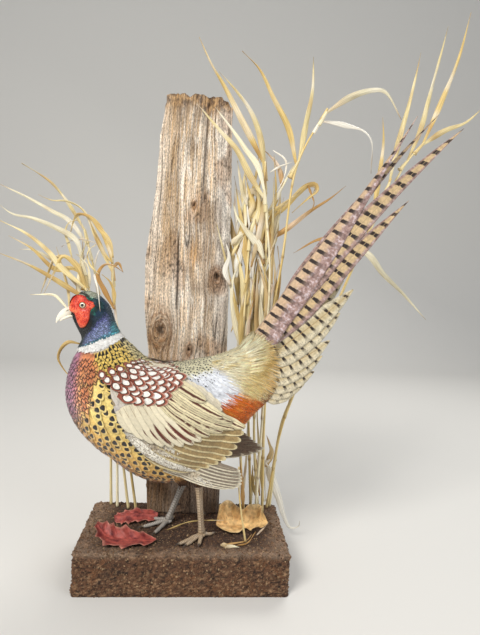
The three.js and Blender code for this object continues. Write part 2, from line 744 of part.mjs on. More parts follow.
function makeFoot({ joint, toes, hindToe }) {
  const pad = vec(joint[0], joint[1], FLOOR + LEG.toeRadius);
  const hub = ellipsoid([pad.x, pad.y, pad.z], [6, 6, LEG.toeRadius], 6);
  const toe = ([x, y], claw) => {
    const tip = vec(x, y, FLOOR + LEG.clawRadius);
    const middle = pad.clone().lerp(tip, 0.55).setZ(FLOOR + LEG.toeRadius + 0.8);
    const knuckle = pad.clone().lerp(tip, 1 - claw).setZ(FLOOR + LEG.toeRadius * 0.8);
    return sweep([pad, middle, knuckle, tip], {
      section: circle(5), steps: 4, flat: vec(0, 0, 1),
      size: (t) => {
        const r = mix(LEG.toeRadius, 2.1, t) * (t > 1 - claw ? mix(1, 0.35, (t + claw - 1) / claw) : 1);
        return [r, Math.min(r, LEG.toeRadius - 0.4)];
      },
    });
  };
  const foot = join(hub, ...toes.map((tip) => toe(tip, 0.22)), toe(hindToe, 0.4));
  return cutBelow(foot, FLOOR);
}

// Cuts away what lies under a level, so that a piece stands flat on it.
function cutBelow(geometry, level) {
  geometry.computeBoundingBox();
  const { min, max } = geometry.boundingBox;
  const slab = new THREE.BoxGeometry(max.x - min.x + 20, max.y - min.y + 20, 40);
  slab.translate((min.x + max.x) / 2, (min.y + max.y) / 2, level - 20);
  return cut(geometry, slab);
}

// ---------------------------------------------------------------------------------------------
// Grass and leaves
// ---------------------------------------------------------------------------------------------

function makeGrass({ y, lean, stem, leaves }) {
  const root = new THREE.Vector2(...stem[0]);
  const lift = ([x, z]) => vec(x, y + (lean * root.distanceTo(new THREE.Vector2(x, z))) / GRASS_REACH, z);
  const steps = stem.length;
  const course = new THREE.CatmullRomCurve3(stem.map(lift), false, 'centripetal').getSpacedPoints(steps);
  const stalk = cutBelow(sweep(stem.map(lift), {
    section: circle(4), steps, flat: vec(0, 1, 0),
    size: (t) => [mix(STEM_RADIUS, 0.6 * STEM_RADIUS, t), mix(STEM_RADIUS, 0.6 * STEM_RADIUS, t)],
  }), FLOOR);
  const blades = leaves.map((route, i) => {
    const points = route.map(lift);
    points[0] = nearestOn(course, points[0]);
    return sweep(points, {
      section: BLADE, steps: route.length, flat: vec(0, 1, i % 2 ? 0.45 : -0.45),
      size: (t) => [LEAF_HALF_WIDTH * mix(0.35, 1, Math.sin(Math.PI * Math.min(1, 0.12 + 0.86 * t))),
        LEAF_HALF_THICKNESS * mix(1.5, 1, t)],
    });
  });
  return join(stalk, ...blades);
}

// The point nearest to a place on a course of straight stretches.
function nearestOn(course, place) {
  const near = course.slice(1).map((end, i) => (
    new THREE.Line3(course[i], end).closestPointToPoint(place, true, vec())));
  return near.reduce((a, b) => (a.distanceTo(place) < b.distanceTo(place) ? a : b));
}

function makeStalk() {
  return cutBelow(sweep(STALK.route.map(([x, z]) => vec(x, STALK.y, z)), {
    section: circle(4), steps: 4, flat: vec(0, 1, 0),
    size: () => [STALK.radius, STALK.radius],
  }), FLOOR);
}

// An oak leaf: lobes along its midrib, the rim curling up from the ground.
function makeLeaf({ from, to, half, lobes, curl, tilt }) {
  const [start, end] = [vec(...from, 0), vec(...to, 0)];
  const length = start.distanceTo(end);
  const along = end.clone().sub(start).normalize();
  const across = vec(-along.y, along.x, 0);
  const steps = lobes * 4;
  const width = (t) => half * Math.sin(Math.PI * (0.06 + 0.9 * t)) ** 0.7
    * (0.42 + 0.58 * Math.abs(Math.sin(lobes * Math.PI * t)));
  const at = (t, share, top) => {
    const reach = share * width(t);
    const p = start.clone().addScaledVector(along, t * length).addScaledVector(across, reach);
    const rise = curl * (Math.abs(reach) / half) ** 2 + tilt * t * length + curl * 0.5 * t ** 3;
    return p.setZ(FLOOR + rise + (top ? LEAF_THICKNESS : 0));
  };
  const face = (top) => Array.from({ length: steps + 1 }, (_, i) => (
    [-1, 0, 1].map((share) => at(i / steps, share, top))));
  return shell(face(true), face(false));
}

// ---------------------------------------------------------------------------------------------
// Assembly
// ---------------------------------------------------------------------------------------------

addPart('base', makeBase(), 0x4a3a30, 0.95);
addPart('post', makePost(), 0x8f8072, 0.95);

addPart('head', makeHead(), 0x9a2a22, 0.7);
addPart('neck', bodyLength(HEAD_END, NECK_END, 6), 0x27305e, 0.5);
addPart('trunk', bodyLength(NECK_END, TAIL_ROOT, TRUNK_STEPS), 0xa8672c, 0.7);
addPart('bill_upper', makeUpperBill(), 0xe6dcc4, 0.4);
addPart('bill_lower', makeLowerBill(), 0xded2b6, 0.4);

for (const side of ['left', 'right']) {
  addPart(`eye_${side}`, makeEye(side), 0xe8ddb8, 0.1);
  addPart(`wing_${side}`, makeWing(side), 0xb79f78, 0.8);
  addPart(`thigh_${side}`, makeThigh(LEGS[side]), 0x6b4326, 0.8);
  addPart(`shank_${side}`, makeShank(LEGS[side]), 0x77706a, 0.5);
  addPart(`foot_${side}`, makeFoot(LEGS[side]), 0x77706a, 0.5);
}

const TAIL_COLOR = 0xb89b78;
const [ridgeFeather, ...sideFeathers] = TAIL.feathers;
addPart('tail_ridge', makeRidgeFeather(ridgeFeather, 0.7), TAIL_COLOR);
sideFeathers.forEach((feather, i) => {
  addPart(`tail_left_${i + 1}`, makeTailFeather(feather, i + 1, 'left'), TAIL_COLOR);
});
sideFeathers.slice(1).forEach((feather, i) => {
  const solid = makeTailFeather(feather, i + 1, 'right', TAIL.rightTurn, TAIL.rightStretch);
  addPart(`tail_right_${i + 1}`, solid, TAIL_COLOR);
});

for (const [name, plant] of Object.entries(GRASS)) addPart(name, makeGrass(plant), 0xd8bf7c);
addPart('stalk', makeStalk(), 0xc9a860);
for (const [name, leaf] of Object.entries(LEAVES)) addPart(name, makeLeaf(leaf), leaf.color);

export default model;
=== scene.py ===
"""A mounted cock pheasant with its base, post, dry grass and leaves, dressed for a museum shelf.

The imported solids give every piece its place. The bird gets one skin with tracts of vanes laid over
it, and the stand is rebuilt in finer meshes. Sizes are millimetres until a mesh is made.
"""

import math

import bmesh
import bpy
import numpy as np
from mathutils import Matrix


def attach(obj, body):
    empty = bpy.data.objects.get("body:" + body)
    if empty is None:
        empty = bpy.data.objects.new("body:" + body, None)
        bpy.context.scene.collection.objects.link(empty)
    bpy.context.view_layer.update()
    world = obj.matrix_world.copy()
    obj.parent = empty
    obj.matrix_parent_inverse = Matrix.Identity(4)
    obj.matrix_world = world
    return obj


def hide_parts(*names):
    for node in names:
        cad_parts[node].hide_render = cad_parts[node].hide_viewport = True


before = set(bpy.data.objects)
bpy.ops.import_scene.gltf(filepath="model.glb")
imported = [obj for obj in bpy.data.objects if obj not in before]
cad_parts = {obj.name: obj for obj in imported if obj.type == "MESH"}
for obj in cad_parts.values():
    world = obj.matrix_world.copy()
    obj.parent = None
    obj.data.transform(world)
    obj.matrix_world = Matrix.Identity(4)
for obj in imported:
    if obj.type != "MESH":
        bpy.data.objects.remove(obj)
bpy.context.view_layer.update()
MM = 0.001
TAU = 2 * math.pi
LEFT, RIGHT = -1, 1          # the bird's sides along Y; its left side faces the viewer
SIDE_WORD = {LEFT: "left", RIGHT: "right"}

# ---------------------------------------------------------------------------------------------
# Camera and stage
# ---------------------------------------------------------------------------------------------

CAMERA_PLACE = (10.1, -806.1, 467.9)
CAMERA_YAW, CAMERA_PITCH, CAMERA_ROLL = math.radians(4.5), math.radians(4.2), math.radians(2.8)
FOCAL_SHARE = 510 / 635      # focal length against the frame's long side
SENSOR = 36                  # the sensor's long side


def unit(v):
    v = np.asarray(v, float)
    return v / np.maximum(np.linalg.norm(v, axis=-1, keepdims=True), 1e-12)


def stand(name, data, right, up, ahead, place):
    """Stands a camera or a light at a place in the scene, looking ahead."""
    thing = bpy.data.objects.new(name, data)
    axes = [right, up, -ahead, place]
    thing.matrix_world = Matrix([[float(axis[i]) for axis in axes] for i in range(3)] + [[0, 0, 0, 1]])
    bpy.context.scene.collection.objects.link(thing)
    return thing


def make_camera():
    ahead = np.array([
        math.sin(CAMERA_YAW) * math.cos(CAMERA_PITCH),
        math.cos(CAMERA_YAW) * math.cos(CAMERA_PITCH),
        -math.sin(CAMERA_PITCH),
    ])
    level = np.array([math.cos(CAMERA_YAW), -math.sin(CAMERA_YAW), 0])
    above = np.cross(level, ahead)
    right = level * math.cos(CAMERA_ROLL) + above * math.sin(CAMERA_ROLL)
    up = above * math.cos(CAMERA_ROLL) - level * math.sin(CAMERA_ROLL)
    data = bpy.data.cameras.new("camera")
    data.sensor_fit = "VERTICAL"
    data.sensor_height = SENSOR
    data.lens = SENSOR * FOCAL_SHARE
    bpy.context.scene.camera = stand("camera", data, right, up, ahead, np.array(CAMERA_PLACE) * MM)


def make_light(name, place, target, size, watts, colour):
    """A soft rectangular light, size metres across, aimed at a target."""
    data = bpy.data.lights.new(name, "AREA")
    data.shape, data.size, data.size_y = "RECTANGLE", size, size * 0.8
    data.energy, data.color = watts, colour
    aim = unit(np.subtract(target, place))
    side = unit(np.cross(aim, (0, 0, 1)))
    stand(name, data, side, np.cross(side, aim), aim, place)


# ---------------------------------------------------------------------------------------------
# Small helpers: noise, curves, meshes, nodes
# ---------------------------------------------------------------------------------------------

def linear(code):
    """A hex sRGB colour as linear RGBA."""
    value = int(code.lstrip("#"), 16)
    channels = [((value >> shift) & 255) / 255 for shift in (16, 8, 0)]
    return np.array([c / 12.92 if c < 0.04045 else ((c + 0.055) / 1.055) ** 2.4 for c in channels] + [1])


def smooth(x, low, high):
    """0 at low, 1 at high, and an even rise between; low may be the greater."""
    t = np.clip((np.asarray(x, float) - low) / (high - low), 0, 1)
    return t * t * (3 - 2 * t)


def mix(a, b, t):
    """From a at share 0 to b at share 1."""
    return a + (b - a) * t


def tinge(colour, *layers):
    """A colour with others laid over it in turn, each a hex code and its share at every place."""
    for code, share in layers:
        colour = mix(colour, linear(code), share[..., None])
    return colour


def lattice(cell, seed):
    """A number from -1 to 1 for each whole cell (i, j, k), always the same one."""
    h = cell[..., 0] * 374761393 + cell[..., 1] * 668265263 + cell[..., 2] * 974711 + seed * 1274126177
    h = (h ^ (h >> 13)) * 1274126177 & 0xFFFFFFFF
    return ((h ^ (h >> 16)) & 0xFFFF) / 32767.5 - 1


def noise(points, size, seed=0, octaves=1):
    """Value noise from -1 to 1 at points (…, 3), with grains about size across."""
    total, weight, scale = 0, 0, 1.0
    for octave in range(octaves):
        p = np.asarray(points, float) * scale / size + 17.3 * octave
        cell = np.floor(p).astype(np.int64)
        f = p - cell
        f = f * f * (3 - 2 * f)
        value = 0
        for corner in np.ndindex(2, 2, 2):
            near = [f[..., k] if corner[k] else 1 - f[..., k] for k in range(3)]
            value = value + lattice(cell + np.array(corner), seed + 31 * octave) * (near[0] * near[1]) * near[2]
        total = total + value / scale
        weight += 1 / scale
        scale *= 2
    return total / weight


def run_along(points):
    """The distance along a line of points, from 0 at the first."""
    return np.concatenate([[0], np.cumsum(np.linalg.norm(np.diff(points, axis=0), axis=1))])


def curve_through(points, count=None, at=None):
    """A centripetal curve through points, sampled evenly, or at the given shares from 0 to 1."""
    p = np.asarray(points, float)
    p = np.vstack([2 * p[0] - p[1], p, 2 * p[-1] - p[-2]])
    gaps = np.sqrt(np.maximum(np.linalg.norm(np.diff(p, axis=0), axis=1), 1e-6))
    knots = np.concatenate([[0], np.cumsum(gaps)])
    fine = []
    for i in range(1, len(p) - 2):
        t = np.linspace(knots[i], knots[i + 1], 25)[:, None]
        k0, k1, k2, k3 = knots[i - 1:i + 3]
        a1 = (k1 - t) / (k1 - k0) * p[i - 1] + (t - k0) / (k1 - k0) * p[i]
        a2 = (k2 - t) / (k2 - k1) * p[i] + (t - k1) / (k2 - k1) * p[i + 1]
        a3 = (k3 - t) / (k3 - k2) * p[i + 1] + (t - k2) / (k3 - k2) * p[i + 2]
        b1 = (k2 - t) / (k2 - k0) * a1 + (t - k0) / (k2 - k0) * a2
        b2 = (k3 - t) / (k3 - k1) * a2 + (t - k1) / (k3 - k1) * a3
        fine.append(((k2 - t) / (k2 - k1) * b1 + (t - k1) / (k2 - k1) * b2)[(0 if i == 1 else 1):])
    fine = np.vstack(fine)
    run = run_along(fine)
    shares = np.linspace(0, 1, count) if at is None else np.asarray(at)
    return np.stack([np.interp(shares * run[-1], run, fine[:, k]) for k in range(fine.shape[1])], axis=-1)


def grid_faces(rows, columns, wrap=False):
    """The quads of a grid of rows x columns corners; wrap joins the last column to the first."""
    r, c = np.meshgrid(np.arange(rows - 1), np.arange(columns if wrap else columns - 1), indexing="ij")
    n = (c + 1) % columns
    return np.stack([r * columns + c, r * columns + n, (r + 1) * columns + n, (r + 1) * columns + c],
                    axis=-1).reshape(-1, 4)


def round_angles(count):
    """Angles evenly round a circle, the first of them 0."""
    return TAU * np.arange(count) / count


def grid_shares(rows, columns):
    """Where each corner of a grid stands along its rows and its columns, from 0 to just under 1."""
    return np.stack(np.meshgrid(np.arange(rows) / rows, np.arange(columns) / columns, indexing="ij"), -1)


def end_caps(rows, columns, start=0):
    """The two faces that close the ends of a tube of rows x columns corners."""
    return [start + np.arange(columns)[::-1], start + (rows - 1) * columns + np.arange(columns)]


def fix_normals(piece):
    """Turns every closed shell of a piece to face outwards."""
    shell = bmesh.new()
    shell.from_mesh(piece.data)
    bmesh.ops.recalc_face_normals(shell, faces=shell.faces)
    shell.to_mesh(piece.data)
    shell.free()


def make_mesh(name, points, faces, *, material, uvs=None, colours=None, values=None, replaces=(), caps=(),
              closed=False):
    """A piece from arrays: corners in millimetres, quads, and per-corner maps and attributes.

    caps are faces with more corners that close its ends; a piece with them, or said to be closed,
    is turned to face outwards.
    """
    points = np.asarray(points, float).reshape(-1, 3)
    faces = np.asarray(faces, int).reshape(-1, 4)
    mesh = bpy.data.meshes.new(name)
    loops = np.concatenate([faces.ravel(), *caps]).astype(np.int32)
    sizes = np.concatenate([np.full(len(faces), 4), [len(cap) for cap in caps]]).astype(np.int32)
    mesh.vertices.add(len(points))
    mesh.vertices.foreach_set("co", (points * MM).astype(np.float32).ravel())
    mesh.loops.add(len(loops))
    mesh.loops.foreach_set("vertex_index", loops)
    mesh.polygons.add(len(sizes))
    mesh.polygons.foreach_set("loop_start", np.concatenate([[0], np.cumsum(sizes)[:-1]]).astype(np.int32))
    mesh.update(calc_edges=True)
    for key, places in (uvs or {}).items():
        layer = mesh.uv_layers.new(name=key)
        layer.data.foreach_set("uv", np.asarray(places, np.float32).reshape(-1, 2)[loops].ravel())
    for key, tints in (colours or {}).items():
        layer = mesh.color_attributes.new(name=key, type="FLOAT_COLOR", domain="POINT")
        layer.data.foreach_set("color", np.asarray(tints, np.float32).ravel())
    for key, numbers in (values or {}).items():
        layer = mesh.attributes.new(name=key, type="FLOAT", domain="POINT")
        layer.data.foreach_set("value", np.asarray(numbers, np.float32).ravel())
    mesh.polygons.foreach_set("use_smooth", np.full(len(sizes), True))
    mesh.validate()
    mesh.update()
    piece = bpy.data.objects.new(name, mesh)
    bpy.context.scene.collection.objects.link(piece)
    mesh.materials.append(material)
    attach(piece, "root")
    if replaces:
        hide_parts(*replaces)
    if caps or closed:
        fix_normals(piece)
    return piece


def add(tree, kind, inputs=None, stops=None, **settings):
    """Adds a node with its settings; inputs are sockets to link or plain values, stops fill a ramp."""
    made = tree.nodes.new(kind)
    for key, value in settings.items():
        setattr(made, key, value)
    for key, value in (inputs or {}).items():
        if isinstance(value, bpy.types.NodeSocket):
            tree.links.new(value, made.inputs[key])
        else:
            made.inputs[key].default_value = value
    for i, (place, colour) in enumerate(stops or ()):
        ramp = made.color_ramp.elements
        element = ramp[i] if i < 2 else ramp.new(place)
        element.position, element.color = place, colour
    return made


def new_material(name, **sockets):
    """A material, its tree and its shader, whose sockets are given in words with _ for a space."""
    material = bpy.data.materials.new(name)
    material.use_nodes = True
    tree = material.node_tree
    shader = tree.nodes["Principled BSDF"]
    for key, value in sockets.items():
        shader.inputs[key.replace("_", " ")].default_value = value
    return material, tree, shader


def grained(tree, shader, grain, tones, strength, depth, *, reads=(0.0, 1.0), height=None):
    """The piece's ground colour, darker and lighter with the grain, and the grain's own relief.

    tones are the factors where the grain is at the two values that it reads; strength and depth, in
    millimetres, are the relief's, which follows height where that differs from the grain.
    """
    tint = add(tree, "ShaderNodeAttribute", attribute_name="ground").outputs["Color"]
    level = add(tree, "ShaderNodeMapRange", {"Value": grain, "From Min": reads[0], "From Max": reads[1],
                                             "To Min": tones[0], "To Max": tones[1]}).outputs["Result"]
    tone = add(tree, "ShaderNodeVectorMath", {0: tint, "Scale": level}, operation="SCALE").outputs["Vector"]
    tree.links.new(tone, shader.inputs["Base Color"])
    bump = add(tree, "ShaderNodeBump", {"Height": height or grain, "Strength": strength, "Distance": depth * MM})
    tree.links.new(bump.outputs["Normal"], shader.inputs["Normal"])
    return tone

# ---------------------------------------------------------------------------------------------
# Surfaces: a grid of places over a rounded form, and tracts of vanes laid on it
# ---------------------------------------------------------------------------------------------

class Surface:
    """Rows x columns of points. A place on it is a row and a column number, with fractions."""

    def __init__(self, points, wrap, inside=None):
        self.points, self.wrap = points, wrap
        self.along = np.gradient(points, axis=0)
        if wrap:
            self.across = (np.roll(points, -1, 1) - np.roll(points, 1, 1)) / 2
        else:
            self.across = np.gradient(points, axis=1)
        normal = unit(np.cross(self.along, self.across))
        middle = points.mean(axis=1, keepdims=True) if inside is None else inside
        flip = np.sign(np.sum(normal * (points - middle)))
        self.normal = normal * flip

    def look(self, grid, row, column):
        rows, columns = grid.shape[:2]
        r = np.clip(row, 0, rows - 1.000001)
        r0 = np.floor(r).astype(int)
        fr = (r - r0)[..., None]
        if self.wrap:
            c = np.mod(column, columns)
            c0 = np.floor(c).astype(int) % columns
            c1 = (c0 + 1) % columns
        else:
            c = np.clip(column, 0, columns - 1.000001)
            c0 = np.floor(c).astype(int)
            c1 = c0 + 1
        fc = (c - np.floor(c))[..., None]
        near = grid[r0, c0] * (1 - fc) + grid[r0, c1] * fc
        far = grid[r0 + 1, c0] * (1 - fc) + grid[r0 + 1, c1] * fc
        return near * (1 - fr) + far * fr

    def at(self, row, column):
        """The point there, carried on straight beyond the surface's edges."""
        point = self.look(self.points, row, column)
        over = row - np.clip(row, 0, self.points.shape[0] - 1)
        point = point + over[..., None] * self.look(self.along, row, column)
        if not self.wrap:
            over = column - np.clip(column, 0, self.points.shape[1] - 1)
            point = point + over[..., None] * self.look(self.across, row, column)
        return point

    def steer(self, row, column, direction):
        """Rows and columns passed for each millimetre in a direction, laid flat on the surface."""
        a, c = self.look(self.along, row, column), self.look(self.across, row, column)
        aa, ac, cc = np.sum(a * a, -1), np.sum(a * c, -1), np.sum(c * c, -1)
        p, q = np.sum(direction * a, -1), np.sum(direction * c, -1)
        det = np.maximum(aa * cc - ac * ac, 1e-9)
        rows, columns = (cc * p - ac * q) / det, (aa * q - ac * p) / det
        size = np.linalg.norm(rows[..., None] * a + columns[..., None] * c, axis=-1)
        size = np.maximum(size, 1e-6)
        return rows / size, columns / size


def lie(surface, turn=0.0):
    """The lie of a coat: along the rows, turned by an angle towards the higher columns."""
    def direction(row, column):
        ahead = unit(surface.look(surface.along, row, column))
        normal = surface.look(surface.normal, row, column)
        side = np.cross(normal, ahead)
        side = side * np.sign(np.sum(side * surface.look(surface.across, row, column), -1))[..., None]
        angle = turn(row, column) if callable(turn) else np.full(np.shape(row), turn)
        return np.cos(angle)[..., None] * ahead + np.sin(angle)[..., None] * side
    return direction


def heading(*direction):
    """One direction in space for each vane, or for all."""
    v = unit(np.array(direction, float) if np.ndim(direction[0]) == 0 else direction[0])
    return lambda row, column: np.broadcast_to(v, np.shape(row) + (3,))


def vanes(surface, row, column, direction, length, half, *, lift=1.6, base=0.2, camber=0.10, tilt=0.0,
          steps=6, cells=4, waist=0.35, widest=0.5, end=0.6, round_off=0.35, curl=0.0):
    """Vanes lying on a surface, one for each (row, column): their points, quads and maps.

    A vane is waist wide at its root, widest at that share of its length and end wide at its tip,
    whose corners are rounded off. It rises by lift from root to tip, and its edges bend down.
    """
    row, column = np.asarray(row, float), np.asarray(column, float)
    count = len(row)
    length, half = np.broadcast_to(length, count), np.broadcast_to(half, count)
    u = np.linspace(0, 1, steps + 1)
    v = np.linspace(-1, 1, cells + 1)
    shape = np.where(u < widest, mix(waist, 1, smooth(u, 0, widest)), mix(end, 1, 1 - smooth(u, widest, 1.001)))
    path = []
    r, c = row.copy(), column.copy()
    for i in range(steps + 1):
        way = direction(r, c)
        forward = surface.steer(r, c, way)
        normal = surface.look(surface.normal, r, c)
        side = surface.steer(r, c, np.cross(normal, way))
        path.append((r, c, forward, side))
        if i < steps:
            r = r + forward[0] * length / steps
            c = c + forward[1] * length / steps
    rows = np.stack([p[0] for p in path], 1)[..., None]
    columns = np.stack([p[1] for p in path], 1)[..., None]
    forward = [np.stack([p[2][k] for p in path], 1)[..., None] for k in (0, 1)]
    side = [np.stack([p[3][k] for p in path], 1)[..., None] for k in (0, 1)]
    reach = half[:, None, None] * shape[None, :, None] * v[None, None, :]
    back = -round_off * half[:, None, None] * (v ** 2)[None, None, :] * (u ** 2)[None, :, None]
    rows = rows + side[0] * reach + forward[0] * back
    columns = columns + side[1] * reach + forward[1] * back
    height = np.broadcast_to(base, count)[:, None, None] + np.broadcast_to(lift, count)[:, None, None] * (
        u ** 1.2)[None, :, None]
    height = height + np.broadcast_to(curl, count)[:, None, None] * (u ** 3)[None, :, None]
    edge = half[:, None, None] * shape[None, :, None]
    height = height - camber * edge * (v ** 2)[None, None, :]
    height = height + np.broadcast_to(tilt, count)[:, None, None] * edge * v[None, None, :]
    points = surface.at(rows, columns) + surface.look(surface.normal, rows, columns) * height[..., None]
    quads = grid_faces(steps + 1, cells + 1)
    per = (steps + 1) * (cells + 1)
    faces = (quads[None] + (np.arange(count) * per)[:, None, None]).reshape(-1, 4)
    vane = np.stack(np.broadcast_arrays((v[None, None, :] + 1) / 2, u[None, :, None]), -1)
    vane = np.broadcast_to(vane, (count, steps + 1, cells + 1, 2))
    return {"points": points, "faces": faces, "vane": vane, "per": per, "roots": (row, column)}


def spread(surface, rows, columns, row_gap, column_gap, seed, jitter=0.25):
    """Staggered places over a stretch of a surface, about row_gap and column_gap apart."""
    rng = np.random.default_rng(seed)
    places = []
    middle = (columns[0] + columns[1]) / 2
    row, turn = rows[0], 0
    while row < rows[1]:
        step = np.linalg.norm(surface.look(surface.along, np.array([row]), np.array([middle]))[0])
        scan = np.linspace(*columns, 64)
        arc = np.linalg.norm(surface.look(surface.across, np.full(64, row), scan), axis=-1).mean()
        count = max(2, int(round((columns[1] - columns[0]) * arc / column_gap)))
        c = columns[0] + (np.arange(count) + 0.25 + 0.5 * (turn % 2)) / count * (columns[1] - columns[0])
        c = c + rng.uniform(-jitter, jitter, count) * column_gap / arc
        r = row + rng.uniform(-jitter, jitter, count) * row_gap / step
        places.append(np.stack([r, c], 1))
        row += row_gap / step
        turn += 1
    return np.vstack(places)

# ---------------------------------------------------------------------------------------------
# The bird's body: its sections from the bill's root (0) to the tail's root (23)
# ---------------------------------------------------------------------------------------------

MIDPLANE = -22
STATIONS = [
    # lowest (x, z), highest (x, z), half width
    ((-182, 400), (-188.5, 416), 6.5),
    ((-178, 392), (-182.5, 429), 10),
    ((-174, 384), (-174, 437), 13.5),
    ((-170.5, 377), (-162.5, 442), 15.5),
    ((-168, 372), (-149, 440), 16.5),
    ((-167, 368), (-137, 432.5), 17),
    ((-167, 366), (-128, 423), 17.5),
    ((-167.5, 363.5), (-121, 407.5), 18),
    ((-168.5, 361), (-115.5, 392.5), 19.5),
    ((-170.5, 357), (-110, 382.5), 21.5),
    ((-174, 349.5), (-103, 374), 25),
    ((-182.5, 328), (-86.5, 358.5), 36),
    ((-188, 301.5), (-69.5, 343.5), 47),
    ((-187, 270.5), (-52.5, 335.5), 54),
    ((-175, 240.5), (-35.5, 334), 57),
    ((-150.5, 209.5), (-17.5, 337.5), 58),
    ((-114.5, 182), (2.5, 342), 58),
    ((-75.5, 156.5), (22.5, 347), 56),
    ((-36.5, 147), (40.5, 350.5), 53),
    ((2.5, 156.5), (57.5, 357), 48),
    ((37.5, 184.5), (72.5, 364.5), 41),
    ((68.5, 220.5), (86.5, 373), 33),
    ((95.5, 255), (98.5, 382.5), 25),
    ((116.5, 276.5), (108.5, 396.5), 18),
]
PER_STATION = 10             # rows of the body's grid between two sections
AROUND = 144                 # columns of the body's grid; column 0 is the back's middle line
LAST = len(STATIONS) - 1
COAT_DEPTH = 2.4


def body_curves(s):
    """Lowest and highest points and half width at sections s."""
    table = np.array([[*low, *high, half] for low, high, half in STATIONS], float)
    shares = np.asarray(s, float) / LAST
    lows = curve_through_stations(table[:, 0:2], shares)
    highs = curve_through_stations(table[:, 2:4], shares)
    halves = curve_through_stations(np.stack([np.arange(LAST + 1), table[:, 4]], 1), shares)[:, 1]
    return lows, highs, halves


def curve_through_stations(p, shares):
    """The centripetal curve through p, read at station shares rather than by length."""
    padded = np.vstack([2 * p[0] - p[1], p, 2 * p[-1] - p[-2]])
    place = np.clip(shares * (len(p) - 1), 0, len(p) - 1 - 1e-9)
    i = np.floor(place).astype(int)
    t = (place - i)[:, None]
    p0, p1, p2, p3 = (padded[i + k] for k in range(4))
    gap = [np.maximum(np.sqrt(np.linalg.norm(b - a, axis=1)), 1e-6)[:, None]
           for a, b in ((p0, p1), (p1, p2), (p2, p3))]
    m1 = ((p1 - p0) / gap[0] - (p2 - p0) / (gap[0] + gap[1]) + (p2 - p1) / gap[1]) * gap[1]
    m2 = ((p2 - p1) / gap[1] - (p3 - p1) / (gap[1] + gap[2]) + (p3 - p2) / gap[2]) * gap[1]
    return ((2 * t**3 - 3 * t**2 + 1) * p1 + (t**3 - 2 * t**2 + t) * m1
            + (-2 * t**3 + 3 * t**2) * p2 + (t**3 - t**2) * m2)


def body_grid(inset, start=0, stop=LAST):
    """Points over the body's form, inset from the solids' surface."""
    s = np.linspace(start, stop, int(round((stop - start) * PER_STATION)) + 1)
    low, high, half = body_curves(s)
    centre, reach = (low + high) / 2, np.linalg.norm(high - low, axis=1) / 2
    up = unit(high - low)
    angle = round_angles(AROUND)
    tall = (reach - inset)[:, None] * np.cos(angle)
    wide = (half - inset)[:, None] * np.sin(angle)
    return np.stack([centre[:, :1] + up[:, :1] * tall, MIDPLANE - wide, centre[:, 1:] + up[:, 1:] * tall], -1)


BODY = Surface(body_grid(COAT_DEPTH), wrap=True)


def section_of(row):
    return np.asarray(row) / PER_STATION


def turn_of(column):
    """The angle from the back's middle line, 0 to 180 degrees on either side."""
    share = np.mod(np.asarray(column, float) / AROUND, 1)
    return 360 * np.minimum(share, 1 - share)

# ---------------------------------------------------------------------------------------------
# Plumage finishes. A vane's own map runs across from 0 to 1 and along from root 0 to tip 1; its
# ground and mark colours are attributes, one of each for a vane.
# ---------------------------------------------------------------------------------------------

def vane_maps(tree):
    """A vane's own places and colours, which its paint reads."""
    place = add(tree, "ShaderNodeUVMap", uv_map="vane").outputs["UV"]
    parts = add(tree, "ShaderNodeSeparateXYZ", {"Vector": place})
    across, along = parts.outputs["X"], parts.outputs["Y"]
    centred = add(tree, "ShaderNodeMath", {0: across, 1: 2.0, 2: -1.0}, operation="MULTIPLY_ADD").outputs[0]
    return {
        "place": place,
        "along": along,
        "centred": centred,
        "side": add(tree, "ShaderNodeMath", {0: centred}, operation="ABSOLUTE").outputs[0],
        **{key: add(tree, "ShaderNodeAttribute", attribute_name=key).outputs[socket]
           for key, socket in (("ground", "Color"), ("mark", "Color"), ("pick", "Fac"))},
    }


def oval(tree, maps, centre, reach, width):
    """How far out from an oval about a centre on the shaft: 1 on the oval itself."""
    flat = add(tree, "ShaderNodeMapping", {
        "Vector": maps["place"],
        "Location": (-1 / width, -centre / reach, 0),
        "Scale": (2 / width, 1 / reach, 1),
    }).outputs["Vector"]
    return add(tree, "ShaderNodeVectorMath", {0: flat}, operation="LENGTH").outputs["Value"]


def strength(tree, *masks):
    """How strongly a mark shows: the product of masks, each a value and its stops (value, strength).

    A mask without stops is a strength already.
    """
    total = None
    for value, *stops in masks:
        if stops:
            greys = [(place, (level, level, level, 1)) for place, level in stops]
            value = add(tree, "ShaderNodeValToRGB", {"Fac": value}, greys).outputs["Color"]
        if total is not None:
            value = add(tree, "ShaderNodeMath", {0: total, 1: value}, operation="MULTIPLY").outputs[0]
        total = value
    return total


def marked(tree, ground, mark, *masks):
    """A ground with a mark laid over it, as strongly as its masks say."""
    share = strength(tree, *masks)
    return add(tree, "ShaderNodeMix", {0: share, 6: ground, 7: mark}, data_type="RGBA").outputs[2]


def speckle(tree, scale, detail, **inputs):
    """Noise that lies still in the piece, with about scale grains to the metre."""
    coords = add(tree, "ShaderNodeTexCoord").outputs["Object"]
    inputs = {"Vector": coords, "Scale": scale, "Detail": detail, **inputs}
    return add(tree, "ShaderNodeTexNoise", inputs).outputs["Fac"]


def ragged(tree, value, amount, scale=720.0):
    """A value shifted by fine noise, so that a mark's edge follows the barbs."""
    grain = speckle(tree, scale, 2.0)
    shift = add(tree, "ShaderNodeMath", {0: grain, 1: amount, 2: -amount / 2}, operation="MULTIPLY_ADD")
    return add(tree, "ShaderNodeMath", {0: value, 1: shift.outputs[0]}, operation="ADD").outputs[0]


